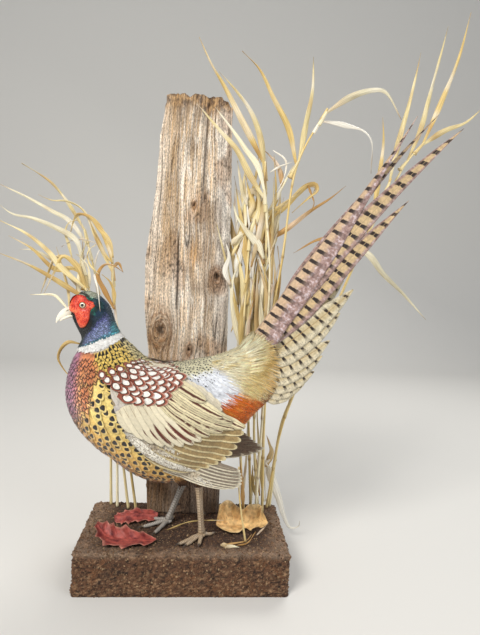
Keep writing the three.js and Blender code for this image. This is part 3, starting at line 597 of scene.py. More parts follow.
def finish_vane(tree, shader, maps, colour, *, barbs, slant, depth, shaft, shaft_colour, mottle):
    """Barbs as fine slanting ridges, each a little lighter or darker, and a shaft down the middle; the ridges' own
    height also paints light on their crests and shade in the grooves.
    """
    lean = add(tree, "ShaderNodeMath", {0: maps["side"], 1: slant, 2: 0.0}, operation="MULTIPLY_ADD").outputs[0]
    run = add(tree, "ShaderNodeMath", {0: maps["along"], 1: barbs, 2: lean}, operation="MULTIPLY_ADD").outputs[0]
    turn = add(tree, "ShaderNodeMath", {0: run, 1: TAU}, operation="MULTIPLY").outputs[0]
    ridge = add(tree, "ShaderNodeMath", {0: turn}, operation="SINE").outputs[0]
    grain = speckle(tree, 260.0, 3.0)
    tone = add(tree, "ShaderNodeMapRange", {"Value": grain, "From Min": 0.25, "From Max": 0.75,
                                            "To Min": 1 - 0.28 * mottle, "To Max": 1 + 0.22 * mottle}).outputs["Result"]
    # Painted light and shade: the barbs' crests a little lighter and the grooves between them darker, over a random
    # mottle.
    fine = add(tree, "ShaderNodeMath", {0: ridge, 1: 0.09, 2: tone}, operation="MULTIPLY_ADD").outputs[0]
    each = add(tree, "ShaderNodeMath", {0: maps["pick"], 1: 0.22, 2: 0.89}, operation="MULTIPLY_ADD").outputs[0]
    level = add(tree, "ShaderNodeMath", {0: fine, 1: each}, operation="MULTIPLY").outputs[0]
    toned = add(tree, "ShaderNodeVectorMath", {0: colour, "Scale": level}, operation="SCALE").outputs["Vector"]
    spine = (maps["side"], (shaft * 0.6, 1), (shaft * 1.4 + 0.01, 0))
    tree.links.new(marked(tree, toned, linear(shaft_colour), spine), shader.inputs["Base Color"])
    bump = add(tree, "ShaderNodeBump", {"Height": ridge, "Strength": 0.55, "Distance": depth * MM})
    tree.links.new(bump.outputs["Normal"], shader.inputs["Normal"])


def plumage(name, paint, *, barbs=22, slant=7.0, depth=0.25, shaft=0.0, roughness=0.55, metallic=0.0,
            sheen=0.15, specular=0.4, shaft_colour="#6b5238", mottle=1.0):
    """A feather finish: barbs to a vane, their slant and depth in millimetres, the shaft's share of its width."""
    material, tree, shader = new_material(
        name, Roughness=roughness, Metallic=metallic, Sheen_Weight=sheen, Sheen_Roughness=0.5,
        Specular_IOR_Level=specular)
    maps = vane_maps(tree)
    finish_vane(tree, shader, maps, paint(tree, maps), barbs=barbs, slant=slant, depth=depth, shaft=shaft,
                shaft_colour=shaft_colour, mottle=mottle)
    return material


def plain_paint(tree, maps):
    """One colour, a little darker at the root: painted shade where the vanes before it lie over the root."""
    shade = strength(tree, (maps["along"], (0.0, 0.45), (0.5, 1.0)))
    return add(tree, "ShaderNodeVectorMath", {0: maps["ground"], 1: shade}, operation="MULTIPLY").outputs[0]


def even_paint(tree, maps):
    """One colour from root to tip."""
    return maps["ground"]


def rim_paint(tree, maps):
    """A thin dark scallop round the tip."""
    edge = add(tree, "ShaderNodeMath", {0: maps["side"], 1: 0.3, 2: maps["along"]}, operation="MULTIPLY_ADD")
    edge = ragged(tree, edge.outputs[0], 0.06)
    return marked(tree, plain_paint(tree, maps), maps["mark"], (edge, (0.89, 0), (0.99, 0.9)))


def notch_paint(tree, maps):
    """A pale gold oval near the tip, framed in black on one side and round its end."""
    outside = ragged(tree, oval(tree, maps, 0.74, 0.22, 0.72), 0.25)
    return marked(tree, maps["ground"], maps["mark"], (outside, (0.9, 0), (1.0, 1)),
                  (maps["centred"], (0.2, 1), (0.65, 0)))


def spot_paint(tree, maps):
    """One round dark spot just inside the tip, on a warm ground with a paler rim."""
    ground = marked(tree, maps["ground"], linear("#fbe9ae"), (maps["along"], (0.82, 0), (1.0, 0.4)))
    spot = ragged(tree, oval(tree, maps, 0.73, 0.16, 0.64), 0.35)
    return marked(tree, ground, maps["mark"], (spot, (0.88, 1), (1.0, 0)))


def lace_paint(tree, maps):
    """A pale heart ringed by a black line, then a wide maroon border with a paler fringe."""
    heart = ragged(tree, oval(tree, maps, 0.53, 0.42, 0.97), 0.06)
    rings = [(0.0, "#fdfbf6"), (1.0, "#8a4733"), (0.57, "#f8efe2"), (0.62, "#1b0f0c"), (0.73, "#24100b"),
             (0.8, "#a2553b")]
    ramp = add(tree, "ShaderNodeValToRGB", {"Fac": heart}, [(place, linear(code)) for place, code in rings])
    edge = add(tree, "ShaderNodeMath", {0: maps["side"], 1: 0.12, 2: maps["along"]}, operation="MULTIPLY_ADD")
    edged = marked(tree, ramp.outputs["Color"], maps["mark"], (edge.outputs[0], (0.95, 0), (0.99, 0.9)))
    return marked(tree, edged, maps["ground"], (maps["along"], (0.1, 0.8), (0.35, 0.0)))


def speckle_paint(tree, maps):
    """A dark bar-shaped fleck at the tip of a quiet ground."""
    fleck = ragged(tree, oval(tree, maps, 0.85, 0.1, 0.55), 0.4)
    return marked(tree, plain_paint(tree, maps), maps["mark"], (fleck, (0.7, 1), (1.1, 0)))


def streak_paint(tree, maps):
    """One long maroon wedge beside the shaft, as large as the feather's own bar value says."""
    size = add(tree, "ShaderNodeAttribute", attribute_name="bar").outputs["Fac"]
    wedge = add(tree, "ShaderNodeMath", {0: oval(tree, maps, 0.7, 0.22, 0.44), 1: size}, operation="DIVIDE")
    return marked(tree, maps["ground"], maps["mark"], (ragged(tree, wedge.outputs[0], 0.4), (0.7, 1.0), (0.95, 0)))


def fleck_paint(tree, maps):
    """Fine wandering flecks on a pale ground."""
    grain = speckle(tree, 420.0, 2.0)
    return marked(tree, plain_paint(tree, maps), maps["mark"], (grain, (0.52, 0), (0.6, 0.7)))


def make_plumage():
    """Contour feathers are soft, matt keratin in lapped scales, whose fine barbs break up the light."""
    tail = {"slant": 26.0, "barbs": 260, "depth": 0.2, "shaft": 0.03, "roughness": 0.5}
    kinds = [
        ("neck", "neck_iridescent_vanes", rim_paint, {"roughness": 0.36, "metallic": 0.35, "sheen": 0.3,
                                                      "specular": 0.7, "barbs": 6, "shaft_colour": "#20204a"}),
        ("head", "head_short_vanes", even_paint, {"roughness": 0.42, "metallic": 0.15, "barbs": 5}),
        ("collar", "collar_white_vanes", even_paint, {"roughness": 0.6, "barbs": 8, "depth": 0.12}),
        ("mantle", "mantle_gold_vanes", notch_paint, {"barbs": 14}),
        ("breast", "breast_copper_vanes", rim_paint, {"roughness": 0.38, "metallic": 0.25, "sheen": 0.3, "barbs": 12}),
        ("flank", "flank_spotted_vanes", spot_paint, {"roughness": 0.42, "barbs": 18, "sheen": 0.3}),
        ("scapular", "scapular_laced_vanes", lace_paint, {"roughness": 0.5, "barbs": 20}),
        ("back", "back_speckled_vanes", speckle_paint, {"barbs": 14}),
        ("rump", "rump_loose_vanes", even_paint, {"barbs": 3, "slant": 16.0, "roughness": 0.6, "mottle": 0.6}),
        ("covert", "wing_covert_vanes", even_paint, {"barbs": 24, "shaft": 0.035, "roughness": 0.6, "mottle": 0.35,
                                                     "shaft_colour": "#b9a98c"}),
        ("edge_covert", "wing_edge_vanes", fleck_paint, {"barbs": 20, "shaft": 0.035, "roughness": 0.6}),
        ("streaked_long", "wing_streaked_vanes", streak_paint, {"barbs": 44, "shaft": 0.035, "slant": 10.0,
                                                                "mottle": 0.4, "shaft_colour": "#a98f6c"}),
        ("striped", "tertial_striped_vanes", stripe_paint, {"barbs": 60, "shaft": 0.035, "slant": 12.0, "mottle": 0.5}),
        ("secondary", "secondary_olive_vanes", edged_paint("#ead9a8", 0.6, 0.5), {"barbs": 70, "slant": 14.0,
                                                                                 "roughness": 0.5}),
        ("primary", "primary_lined_vanes", edged_paint("#e6dcc2", 0.55, 0.35), {
            "barbs": 60, "slant": 12.0, "roughness": 0.5, "shaft": 0.03, "shaft_colour": "#d9ccae"}),
        ("thigh", "thigh_downy_vanes", plain_paint, {"barbs": 8, "slant": 9.0, "roughness": 0.65}),
        ("tail", "tail_barred_vanes", bar_paint(0.46, 0.115, 0.0, 0.55), {**tail, "shaft_colour": "#b99f78"}),
        ("tail_ridge", "tail_mauve_vanes", bar_paint(0.3, 0.12, 0.0, 0.8), {**tail, "shaft_colour": "#b99f88"}),
        ("tail_side", "tail_buff_vanes", bar_paint(0.3, 0.085, 0.8, 0.0), {
            **tail, "barbs": 130, "slant": 18.0, "roughness": 0.55, "shaft_colour": "#a98b5d"}),
    ]
    return {"skin": make_skin_material(), **{key: plumage(name, paint, **looks) for key, name, paint, looks in kinds}}

# ---------------------------------------------------------------------------------------------
# The body's colours and tracts
# ---------------------------------------------------------------------------------------------

COLOURS = {
    "crown": "#a9ad98", "crown_green": "#2fa58c", "ear": "#1d4747", "nape": "#1b3a52",
    "throat": "#0d1718", "neck_violet": "#7f78cf", "neck_blue_sheen": "#bccbf8", "neck_teal": "#55bccb",
    "neck_rim": "#07323c", "collar": "#fbf9f5",
    "mantle": "#e9c765", "mantle_pale": "#d3c692", "black": "#15100d",
    "mauve": "#b0709c", "copper": "#df8a58", "copper_light": "#f6c27a", "breast_rim": "#2b120f",
    "gold": "#fbdd84", "gold_deep": "#e8a33c", "belly": "#b0601f", "belly_dark": "#3a2015",
    "maroon": "#84412f", "fringe": "#d2a08e",
    "back": "#e0dab8", "back_fleck": "#151310",
    "rump_blue": "#eef1f7", "rump_straw": "#f7edca", "rump_gold": "#ffe09a", "rust": "#f27610",
    "rust_deep": "#7d3010",
    "vent": "#5b3a22", "thigh": "#6b4a30",
}
COLOURS = {key: linear(code) for key, code in COLOURS.items()}
ROW_NOISE = 9                # colour drifts over about this many millimetres


def one_colour(key, count):
    """The same colour for each of count vanes."""
    return np.broadcast_to(COLOURS[key] if key in COLOURS else linear(key), (count, 4))


def pick_colour(base, share, key):
    """A coat's colour turned into another as far as a share says."""
    return mix(base, COLOURS[key], np.clip(share, 0, 1)[..., None])


def collar_foot(turn):
    """The section where the white collar ends, at an angle from the back's middle line."""
    return 9.75 + 0.75 * np.sin(np.radians(turn)) ** 1.5 - 0.1 * smooth(turn, 120, 180)


COLLAR_TOP = 8.85


def mantle_edge(s):
    """The angle where the gold mantle meets the copper breast."""
    return np.interp(s, [10.3, 11.1, 11.6, 12.4, 14], [101, 95, 90, 82, 80])


def mauve_edge(s):
    """The angle below which the breast turns mauve."""
    return np.interp(s, [9.5, 11, 12, 13.5, 14.5], [140, 136, 134, 142, 165])


def breast_edge(s):
    """The angle below which copper breast meets spotted flank; beyond the last section all is flank."""
    return np.interp(s, [11.4, 12.1, 12.8, 13.3, 13.8, 14.6], [90, 102, 110, 120, 137, 181])


def blue_top(s):
    """The angle below which the rump is pale blue."""
    return np.interp(s, [15.8, 16.2, 17.5, 18.1, 18.9, 19.8, 20.5, 20.9], [41, 40, 35, 32, 40, 55, 72, 88])


def rust_top(s):
    """The angle below which the loose rump feathers are rust red."""
    return np.interp(s, [18.8, 19.2, 19.6, 20.6, 21.4, 22.3, 22.9], [92, 82.5, 80, 82.5, 100, 130, 155])


def body_colour(s, turn, grain):
    """Ground colour of the coat at sections s and angles turn from the back's middle line."""
    s, turn = np.broadcast_arrays(np.asarray(s, float), np.asarray(turn, float))
    s = s + 0.15 * grain
    colour = np.broadcast_to(COLOURS["throat"], s.shape + (4,)).copy()
    # head and neck
    colour = pick_colour(colour, smooth(turn, 100, 70), "nape")
    colour = pick_colour(colour, smooth(s, 4.8, 3.8) * smooth(turn, 70, 48), "crown")
    colour = pick_colour(colour, smooth(s, 2.5, 3.0) * smooth(s, 5.1, 4.5) * smooth(turn, 34, 46)
                         * smooth(turn, 84, 70), "crown_green")
    colour = pick_colour(colour, smooth(s, 5.6, 6.6) * smooth(turn, 28, 55) * smooth(turn, 150, 120), "neck_violet")
    # Pale lavender blue on the neck's side: partly the neck's own blue-violet, partly a painted sheen highlight.
    colour = pick_colour(colour, smooth(s, 6.0, 7.1) * smooth(turn, 25, 65) * smooth(turn, 150, 110) * 0.85,
                         "neck_blue_sheen")
    colour = pick_colour(colour, smooth(s, 6.9, 7.8) * smooth(turn, 58, 30) * 0.85, "neck_teal")
    colour = pick_colour(colour, smooth(s, 8.0, 8.55) * smooth(turn, 165, 140) * 0.85, "neck_teal")
    colour = pick_colour(colour, smooth(s, COLLAR_TOP - 0.22, COLLAR_TOP - 0.1) * 0.9, "neck_rim")
    below = smooth(s, COLLAR_TOP - 0.06, COLLAR_TOP + 0.02)
    colour = pick_colour(colour, below, "collar")
    # breast and belly
    trunk = smooth(s - collar_foot(turn), -0.05, 0.08)
    breast = np.broadcast_to(COLOURS["copper"], s.shape + (4,)).copy()
    breast = pick_colour(breast, smooth(grain, -0.3, 0.9) * smooth(s, 10.8, 12.4) * 0.75, "copper_light")
    breast = pick_colour(breast, smooth(turn - mauve_edge(s), -16, 8) * 0.85, "mauve")
    breast = pick_colour(breast, smooth(breast_edge(s) - turn, -6, 5), "gold")
    breast = pick_colour(breast, smooth(s, 13.2, 14.6), "gold")
    breast = pick_colour(breast, smooth(turn, 105, 150) * smooth(s, 13, 14.5) * 0.7, "gold_deep")
    breast = pick_colour(breast, smooth(turn, 140, 172) * smooth(s, 13.6, 15), "belly")
    breast = pick_colour(breast, smooth(s, 18.6, 20.5) * smooth(turn, 120, 150), "vent")
    colour = mix(colour, breast, trunk[..., None])
    # mantle, back and rump
    mantle = smooth(mantle_edge(s) - turn, -4, 3) * trunk * smooth(s, 13.2, 12.4)
    colour = pick_colour(colour, mantle, "mantle")
    colour = pick_colour(colour, mantle * smooth(turn, 45, 20), "mantle_pale")
    upper = smooth(s, 12.2, 13.0) * smooth(turn, 84, 66)
    colour = pick_colour(colour, upper, "back")
    blue = smooth(s, 15.7, 16.3) * smooth(turn - blue_top(s), -4, 4) * smooth(turn, 112, 100)
    hairy = smooth(s, 17.6, 18.8) * smooth(turn, 150, 130)
    colour = pick_colour(colour, hairy, "rump_straw")
    colour = pick_colour(colour, hairy * smooth(s + 0.03 * turn, 21.4, 24.2), "rump_gold")
    colour = pick_colour(colour, hairy * smooth(s, 21.6, 23.4) * smooth(turn, 48, 84) * 0.5, "gold_deep")
    colour = pick_colour(colour, blue * smooth(s, 21.1, 20.6), "rump_blue")
    rust = smooth(s, 18.7, 19.0) * smooth(turn - rust_top(s), -3, 3) * smooth(turn, 170, 150)
    colour = pick_colour(colour, rust, "rust")
    return colour


def skin_bake_map(row, column):
    """The skin's own unwrap, with every section and angle at a place of its own."""
    share = np.mod(column / AROUND, 1)
    return np.stack([0.01 + 0.6 * row / (LAST * PER_STATION), 0.01 + 0.6 * share], -1)


def lay_coat(name, laid, material, ground, mark, bake_map, *, spread_colour=0.08, seed=1):
    """One mesh of laid vanes with their maps and colours."""
    count = len(laid["roots"][0])
    rng = np.random.default_rng(seed)
    shift = 1 + spread_colour * rng.normal(size=(count, 1))
    tint = np.concatenate([np.clip(ground[:, :3] * shift, 0, 1), np.ones((count, 1))], 1)
    to_corners = lambda values: np.repeat(values, laid["per"], axis=0)
    patch = bake_map[:, None, None, :] + (laid["vane"] - 0.5) * 0.003
    make_mesh(name, laid["points"], laid["faces"], material=material,
              uvs={"vane": laid["vane"], "OFBake": patch},
              colours={"ground": to_corners(tint), "mark": to_corners(mark)},
              values={"pick": to_corners(rng.uniform(0, 1, count))})


def body_tract(name, rows, turns, gaps, keep, *, material, slot, mark, seed, surface=None, turn=0.0,
               length, half, ground=None, spread_colour=0.08, jitter=0.25, read_at=0.0, **shape):
    """A tract over the body between two sections and two angles, on both sides of the bird.

    Its colours and its bounds are read that far down the lie from the roots as read_at says.
    """
    surface = surface or BODY
    columns = (turns[0] / 360 * AROUND, turns[1] / 360 * AROUND)
    near = spread(surface, (rows[0] * PER_STATION, rows[1] * PER_STATION), columns, *gaps, seed, jitter)
    places = np.vstack([near, near * [1, -1]])
    lean = np.concatenate([np.full(len(near), 1.0), np.full(len(near), -1.0)])
    read = [places[:, 0], places[:, 1]]
    s, angle = section_of(read[0]), turn_of(read[1])
    bend = lean * (turn(s, angle) if callable(turn) else turn)
    strides = 4 if read_at else 0
    for _stride in range(strides):
        ahead = surface.steer(*read, lie(surface, bend)(*read))
        read = [read[k] + ahead[k] * read_at / strides for k in (0, 1)]
    s, angle = section_of(read[0]), turn_of(read[1])
    chosen = keep(s, angle)
    places, s, angle, bend = places[chosen], s[chosen], angle[chosen], bend[chosen]
    at = surface.at(places[:, 0], places[:, 1])
    grain = noise(at, ROW_NOISE, seed)
    size, wide = (value(s, angle) if callable(value) else np.full(len(s), value) for value in (length, half))
    rng = np.random.default_rng(seed)
    size = size * rng.uniform(0.9, 1.12, len(s))
    way = lie(surface, bend + rng.normal(0, 0.06, len(s)))
    laid = vanes(surface, places[:, 0], places[:, 1], way, size, wide,
                 tilt=rng.uniform(-0.08, 0.08, len(s)), **shape)
    colour = body_colour(s, angle, grain) if ground is None else ground(s, angle, grain)
    patch = skin_bake_map(places[:, 0], np.mod(places[:, 1], AROUND))
    lay_coat(name, laid, material, colour, one_colour(mark, len(s)), patch, spread_colour=spread_colour,
             seed=seed)


def make_body_coat(finish):
    """The tracts from the neck down to the flanks and the back, each in its own colours and scale."""
    on_neck = lambda s, t: (s > 5.4) & (s < COLLAR_TOP - 0.1)
    body_tract("neck_coat", (5.4, 8.9), (0, 180), (2.3, 2.5), on_neck, material=finish["neck"],
               slot="neck_plumage", mark="neck_rim", seed=11, spread_colour=0.17, length=7.5, half=2.1, lift=2.0,
               steps=4, cells=4, round_off=0.6, end=0.55)
    ring = lambda s, t: (s > COLLAR_TOP - 0.02) & (s < collar_foot(t) - 0.2)
    body_tract("collar_coat", (8.6, 10.6), (0, 180), (2.0, 2.2), ring, material=finish["collar"],
               slot="neck_plumage", mark="collar", seed=12, length=5.6, half=2.2, lift=1.9, steps=4, cells=4,
               ground=lambda s, t, g: one_colour("collar", len(s)), spread_colour=0.01)
    past_collar = lambda s, t, g: body_colour(np.maximum(s, collar_foot(t) + 0.3), t, g)
    mantle = lambda s, t: (s > collar_foot(t) - 0.1) & (t < mantle_edge(s) + 2) & (s < 13.2)
    body_tract("mantle_coat", (9.4, 13.4), (0, 110), (5.0, 4.6), mantle, material=finish["mantle"],
               slot="body_plumage", mark="black", seed=13, length=13, half=3.5, lift=1.7, end=0.55, round_off=0.7,
               steps=6, cells=4, ground=past_collar)
    breast = lambda s, t: ((s > collar_foot(t) - 0.1) & (s < 14.8) & (t > mantle_edge(s) - 2)
                           & (t > breast_edge(s) - 2))
    body_tract("breast_coat", (9.4, 14.8), (70, 180), (5.2, 5.4), breast, material=finish["breast"],
               slot="body_plumage", mark="breast_rim", seed=14, length=14, half=4.2, lift=1.8, steps=6, cells=4,
               round_off=0.6, ground=past_collar)
    flank_top = lambda s: np.interp(s, [11.5, 12.4, 14, 16, 17, 18, 21], [88, 80, 70, 60, 72, 104, 112])
    flank = lambda s, t: (t < breast_edge(s) + 3) & (t > flank_top(s)) & (s < 21.5)
    body_tract("flank_coat", (11.6, 21.5), (60, 180), (10.4, 11.8), flank, material=finish["flank"],
               slot="body_plumage", mark="black", seed=15, length=25, half=8.0, lift=2.2, steps=7, cells=6,
               round_off=0.6)
    back = lambda s, t: (s > 12.2) & (t < 66) & (s < np.interp(t, [0, 30, 45, 66], [18.8, 18.4, 18.0, 17.2]))
    body_tract("back_coat", (12.2, 19.5), (0, 66), (5.0, 5.0), back, material=finish["back"],
               slot="body_plumage", mark="back_fleck", seed=16, length=15, half=3.6, lift=2.0, steps=5, cells=4)

# ---------------------------------------------------------------------------------------------
# The skin under the coat
# ---------------------------------------------------------------------------------------------

LEGS = {
    # ankle and foot joint (x, y, z), thigh stops (x, y, z, radius), toe tips, hind toe, spur's side
    "left": {"ankle": (19.5, -40, 148), "joint": (27, -37, 73),
             "thigh": [(13, -39, 164, 9.5), (2, -38, 184, 16), (-12, -38, 206, 22)],
             "toes": [(-13.5, -68), (-1, -71), (22.5, -69.5)], "hind": (53, -26), "spur": 1},
    "right": {"ankle": (-6.5, 8, 131), "joint": (-27, 8, 74),
              "thigh": [(-13, 4, 147, 10), (-25, 1, 166, 16), (-38, -3, 190, 22)],
              "toes": [(-75, -13.5), (-50.5, -38), (-59, 22)], "hind": (-17, 33), "spur": 1},
}
ANKLE_RADIUS, SHANK_RADIUS = 6.6, 4.7
THIGH_ROWS, THIGH_AROUND, THIGH_COAT_DEPTH = 28, 36, 1.2


def thigh_surface(leg):
    """The feathered thigh from just above the ankle up into the body, as a surface around its axis."""
    ankle, joint = np.array(leg["ankle"], float), np.array(leg["joint"], float)
    rise = unit(ankle - joint)
    stops = [(*(ankle + rise * 0.6), ANKLE_RADIUS - 0.6), (*(ankle + rise * 6), ANKLE_RADIUS + 0.8), *leg["thigh"]]
    course = curve_through(stops, THIGH_ROWS)
    axis, radius = course[:, :3], course[:, 3] - THIGH_COAT_DEPTH * smooth(np.linspace(0, 1, THIGH_ROWS), 0.0, 0.3)
    tangent = unit(np.gradient(axis, axis=0))
    first = unit(np.cross(tangent, (0, 1, 0)))
    second = np.cross(tangent, first)
    angle = round_angles(THIGH_AROUND)[None, :, None]
    ring = np.cos(angle) * first[:, None] + np.sin(angle) * second[:, None]
    return Surface(axis[:, None] + ring * radius[:, None, None], wrap=True)


def make_skin_material():
    """Dried bird skin: matt and thin, tinted like the feathers above it so that no gap shows, and darkened to 0.45 to
    0.9 of their colour as painted shade under and between the vanes.
    """
    material, tree, shader = new_material("dried_tinted_skin", Roughness=0.8)
    grained(tree, shader, speckle(tree, 420.0, 3.0), (0.45, 0.9), 0.4, 0.3)
    return material


def thigh_bake_map(share, i):
    """The unwrap of thigh i, at shares of its rows and columns."""
    return np.array([0.65, 0.05 + 0.3 * i]) + share * [0.15, 0.25]


def make_skin(material):
    """One skin over the body and both thighs, in the colours of the coat that lies on it."""
    points = BODY.points
    rows, columns = points.shape[:2]
    row, column = np.indices((rows, columns))
    colour = body_colour(section_of(row), turn_of(column), noise(points, ROW_NOISE, 3))
    maps = [skin_bake_map(row.ravel(), column.ravel())]
    faces = [grid_faces(rows, columns, wrap=True)]
    caps = end_caps(rows, columns)
    all_points, tints, start = [points.reshape(-1, 3)], [colour.reshape(-1, 4)], rows * columns
    for i, leg in enumerate(LEGS.values()):
        thigh = thigh_surface(leg).points
        rows, columns = thigh.shape[:2]
        all_points.append(thigh.reshape(-1, 3))
        tints.append(np.broadcast_to(COLOURS["thigh"], (rows * columns, 4)))
        faces.append(grid_faces(rows, columns, wrap=True) + start)
        caps += end_caps(rows, columns, start)
        maps.append(thigh_bake_map(grid_shares(rows, columns).reshape(-1, 2), i))
        start += rows * columns
    make_mesh("skin", np.vstack(all_points), np.vstack(faces), material=material,
              uvs={"OFBake": np.vstack(maps)}, colours={"ground": np.vstack(tints)}, caps=caps,
              replaces=["head", "neck", "trunk", "thigh_left", "thigh_right"])


def make_thigh_coats(finish):
    """Short dark feathers that close round each thigh and end just above the ankle."""
    for i, (word, leg) in enumerate(LEGS.items()):
        surface = thigh_surface(leg)
        places = spread(surface, (3.5, 21), (0, THIGH_AROUND), 4.0, 3.8, 61 + i)
        at = surface.at(places[:, 0], places[:, 1])
        rng = np.random.default_rng(61 + i)
        way = lie(surface, math.pi + rng.normal(0, 0.08, len(at)))
        laid = vanes(surface, places[:, 0], places[:, 1], way, np.interp(places[:, 0], [3, 8, 16], [7, 11, 15]), 2.9,
                     lift=1.7, steps=5, cells=4, round_off=0.7, end=0.4)
        tint = mix(linear("#8a6038"), linear("#4b3220"), smooth(noise(at, 6, 63), -0.5, 0.5)[:, None])
        share = np.stack([places[:, 0] / THIGH_ROWS, np.mod(places[:, 1] / THIGH_AROUND, 1)], -1)
        lay_coat(f"thigh_coat_{word}", laid, finish["thigh"], tint, one_colour("belly_dark", len(at)),
                 thigh_bake_map(share, i), spread_colour=0.15, seed=61 + i)


# ---------------------------------------------------------------------------------------------
# Blades: long feathers laid one by one over a side form, each a thin closed shell
# ---------------------------------------------------------------------------------------------

def blade(root, tip, bend, half, out, *, steps, cells=8, thickness=0.5, camber=1.0, width=None, turn=0.0,
          stretch=1.0, side=LEFT, offset=0.0, lift=0.0, shingle=0.0, pose=None, first_across=None):
    """One feather in the side view from root to tip (x, z), on the form out(x, z) from the midplane.

    bend turns its first half, width(t) is its half width's share, offset and lift raise root and tip,
    and shingle raises its lower edge over the next feather.
    """
    root, reach = np.array(root, float), np.subtract(tip, root) * stretch
    c, s = math.cos(turn), math.sin(turn)
    reach = np.array([reach[0] * c - reach[1] * s, reach[0] * s + reach[1] * c])
    b = math.radians(bend)
    half_way = np.array([reach[0] * math.cos(b) + reach[1] * math.sin(b),
                         -reach[0] * math.sin(b) + reach[1] * math.cos(b)]) * 0.5
    t = np.linspace(0, 1, steps + 1)
    t = t + 0.35 * (t - t * t) * t          # closer steps towards the tip
    spine = root + 2 * (t * (1 - t))[:, None] * half_way + (t ** 2)[:, None] * reach
    tangent = unit(np.gradient(spine, axis=0))
    across = np.stack([tangent[:, 1], -tangent[:, 0]], -1)
    if first_across is not None:
        across = unit(mix(np.broadcast_to(first_across, across.shape), across, smooth(t, 0, 0.25)[:, None]))
    v = np.linspace(-1, 1, cells + 1)
    spread_at = half * width(t)
    flat = spine[:, None] + across[:, None] * (spread_at[:, None] * v)[..., None]
    flat = flat - tangent[:, None] * (0.35 * spread_at[:, None] * (v ** 2) * smooth(t, 0.6, 1)[:, None])[..., None]
    if pose is not None:
        flat = pose(flat)
    height = out(flat[..., 0], flat[..., 1]) + offset + lift * (t ** 1.3)[:, None] - camber * v ** 2 + shingle * v
    return {"flat": flat, "height": height, "v": v, "t": t, "run": run_along(spine), "side": side,
            "thickness": thickness}


def shell_of(made):
    """The closed shell of a blade: its points, their places on the vane and how far along it they are."""
    flat, height, v, t = made["flat"], made["height"], made["v"], made["t"]
    thick = made["thickness"] * (1 - 0.5 * np.abs(v)) * np.ones_like(height)
    upper = np.stack([flat[..., 0], MIDPLANE + made["side"] * height, flat[..., 1]], -1)
    lower = np.stack([flat[..., 0], MIDPLANE + made["side"] * (height - thick), flat[..., 1]], -1)[:, ::-1]
    points = np.concatenate([upper, lower], 1)
    rows, columns = points.shape[:2]
    across = np.concatenate([(v + 1) / 2, (v[::-1] + 1) / 2])
    place = np.stack(np.broadcast_arrays(across[None, :], t[:, None]), -1)
    run = np.broadcast_to(made["run"][:, None], (rows, columns))
    return points.reshape(-1, 3), place.reshape(-1, 2), run.ravel()


def blade_piece(name, blades, *, material, grounds, marks, bars=None, replaces=(), seed=5, under=None):
    """One mesh of blades. grounds and marks hold a colour for each, bars the phase along each.

    under is the colour of their inner faces, where it differs.
    """
    bake_rows = 8                        # the blades' maps lie in a square of this many rows
    rng = np.random.default_rng(seed)
    points, faces, caps, places, bakes, phases, tints, darks, picks = ([] for _ in range(9))
    start = 0
    for i, made in enumerate(blades):
        p, place, run = shell_of(made)
        rows, columns = len(made["t"]), 2 * len(made["v"])
        points.append(p)
        faces.append(grid_faces(rows, columns, wrap=True) + start)
        caps += end_caps(rows, columns, start)
        start += len(p)
        places.append(place)
        cell = np.array([i % bake_rows, i // bake_rows]) / bake_rows
        bakes.append(cell + 0.01 + place * 0.9 / bake_rows)
        phases.append(bars(i, run) if bars else run)
        inner = np.arange(len(p)) % columns >= columns // 2
        tints.append(np.where(inner[:, None], grounds[i] if under is None else under, grounds[i]))
        darks.append(np.broadcast_to(marks[i], (len(p), 4)))
        picks.append(np.full(len(p), rng.uniform()))
    make_mesh(name, np.vstack(points), np.vstack(faces), caps=caps, material=material,
              uvs={"vane": np.vstack(places), "OFBake": np.vstack(bakes)},
              colours={"ground": np.vstack(tints), "mark": np.vstack(darks)},
              values={"pick": np.concatenate(picks), "bar": np.concatenate(phases)}, replaces=replaces)


# ---------------------------------------------------------------------------------------------
# Tail
# ---------------------------------------------------------------------------------------------

RIDGE_START, RIDGE_ANGLE = (109, 396), math.radians(56.5)
RIDGE_HALF, ROOT_SLOPE, SLOPE_GAIN, TAIL_PITCH = 3.6, 0.2, 0.00045, 1.5
RIGHT_TURN, RIGHT_STRETCH = math.radians(4.8), 1.02
TAIL_FEATHERS = [
    # root's place on the body's last section, tip (x, z), bend, half width, bluntness
    (0.15, (331, 733), 2, 20, 1.7),
    (0.17, (393, 711), -7, 19, 1.7),
    (0.29, (318, 600), -2, 20, 2.0),
    (0.40, (242, 462), 6, 19, 3.0),
    (0.50, (224, 425), 9, 18, 3.4),
    (0.60, (211, 382), 11, 17, 3.6),
    (0.69, (201, 357.5), 12, 16, 3.6),
    (0.78, (190, 332.5), 13, 15, 3.6),
    (0.86, (176, 311.5), 12, 13, 3.6),
    (0.93, (161, 294), 8, 10, 3.6),
]
LONG_TAPERS = [                                        # the long feathers' shares of their half widths
    ([0, 0.2, 0.43, 0.55, 0.66, 0.81, 0.92, 1], [1, 0.95, 0.68, 0.48, 0.32, 0.15, 0.07, 0.02]),
    ([0, 0.3, 0.5, 0.65, 0.8, 0.88, 0.95, 1], [1, 0.95, 0.78, 0.58, 0.37, 0.24, 0.11, 0.02]),
    ([0, 0.3, 0.5, 0.73, 0.85, 0.95, 1], [1, 0.95, 0.8, 0.5, 0.28, 0.1, 0.02]),
]
BAR_FIRST, BAR_LAST, BAR_SPAN = 15.0, 24.0, 380.0      # spacing of the bars at the base and so far along


def roof(layer):
    """The tail's form, a roof that falls from the ridge; each layer of feathers lies under the last."""
    def out(x, z):
        dx, dz = x - RIDGE_START[0], z - RIDGE_START[1]
        c, s = math.cos(RIDGE_ANGLE), math.sin(RIDGE_ANGLE)
        along, below = dx * c + dz * s, dx * s - dz * c
        return RIDGE_HALF + (ROOT_SLOPE + SLOPE_GAIN * np.maximum(0, along)) * np.maximum(0, below) - TAIL_PITCH * layer
    return out


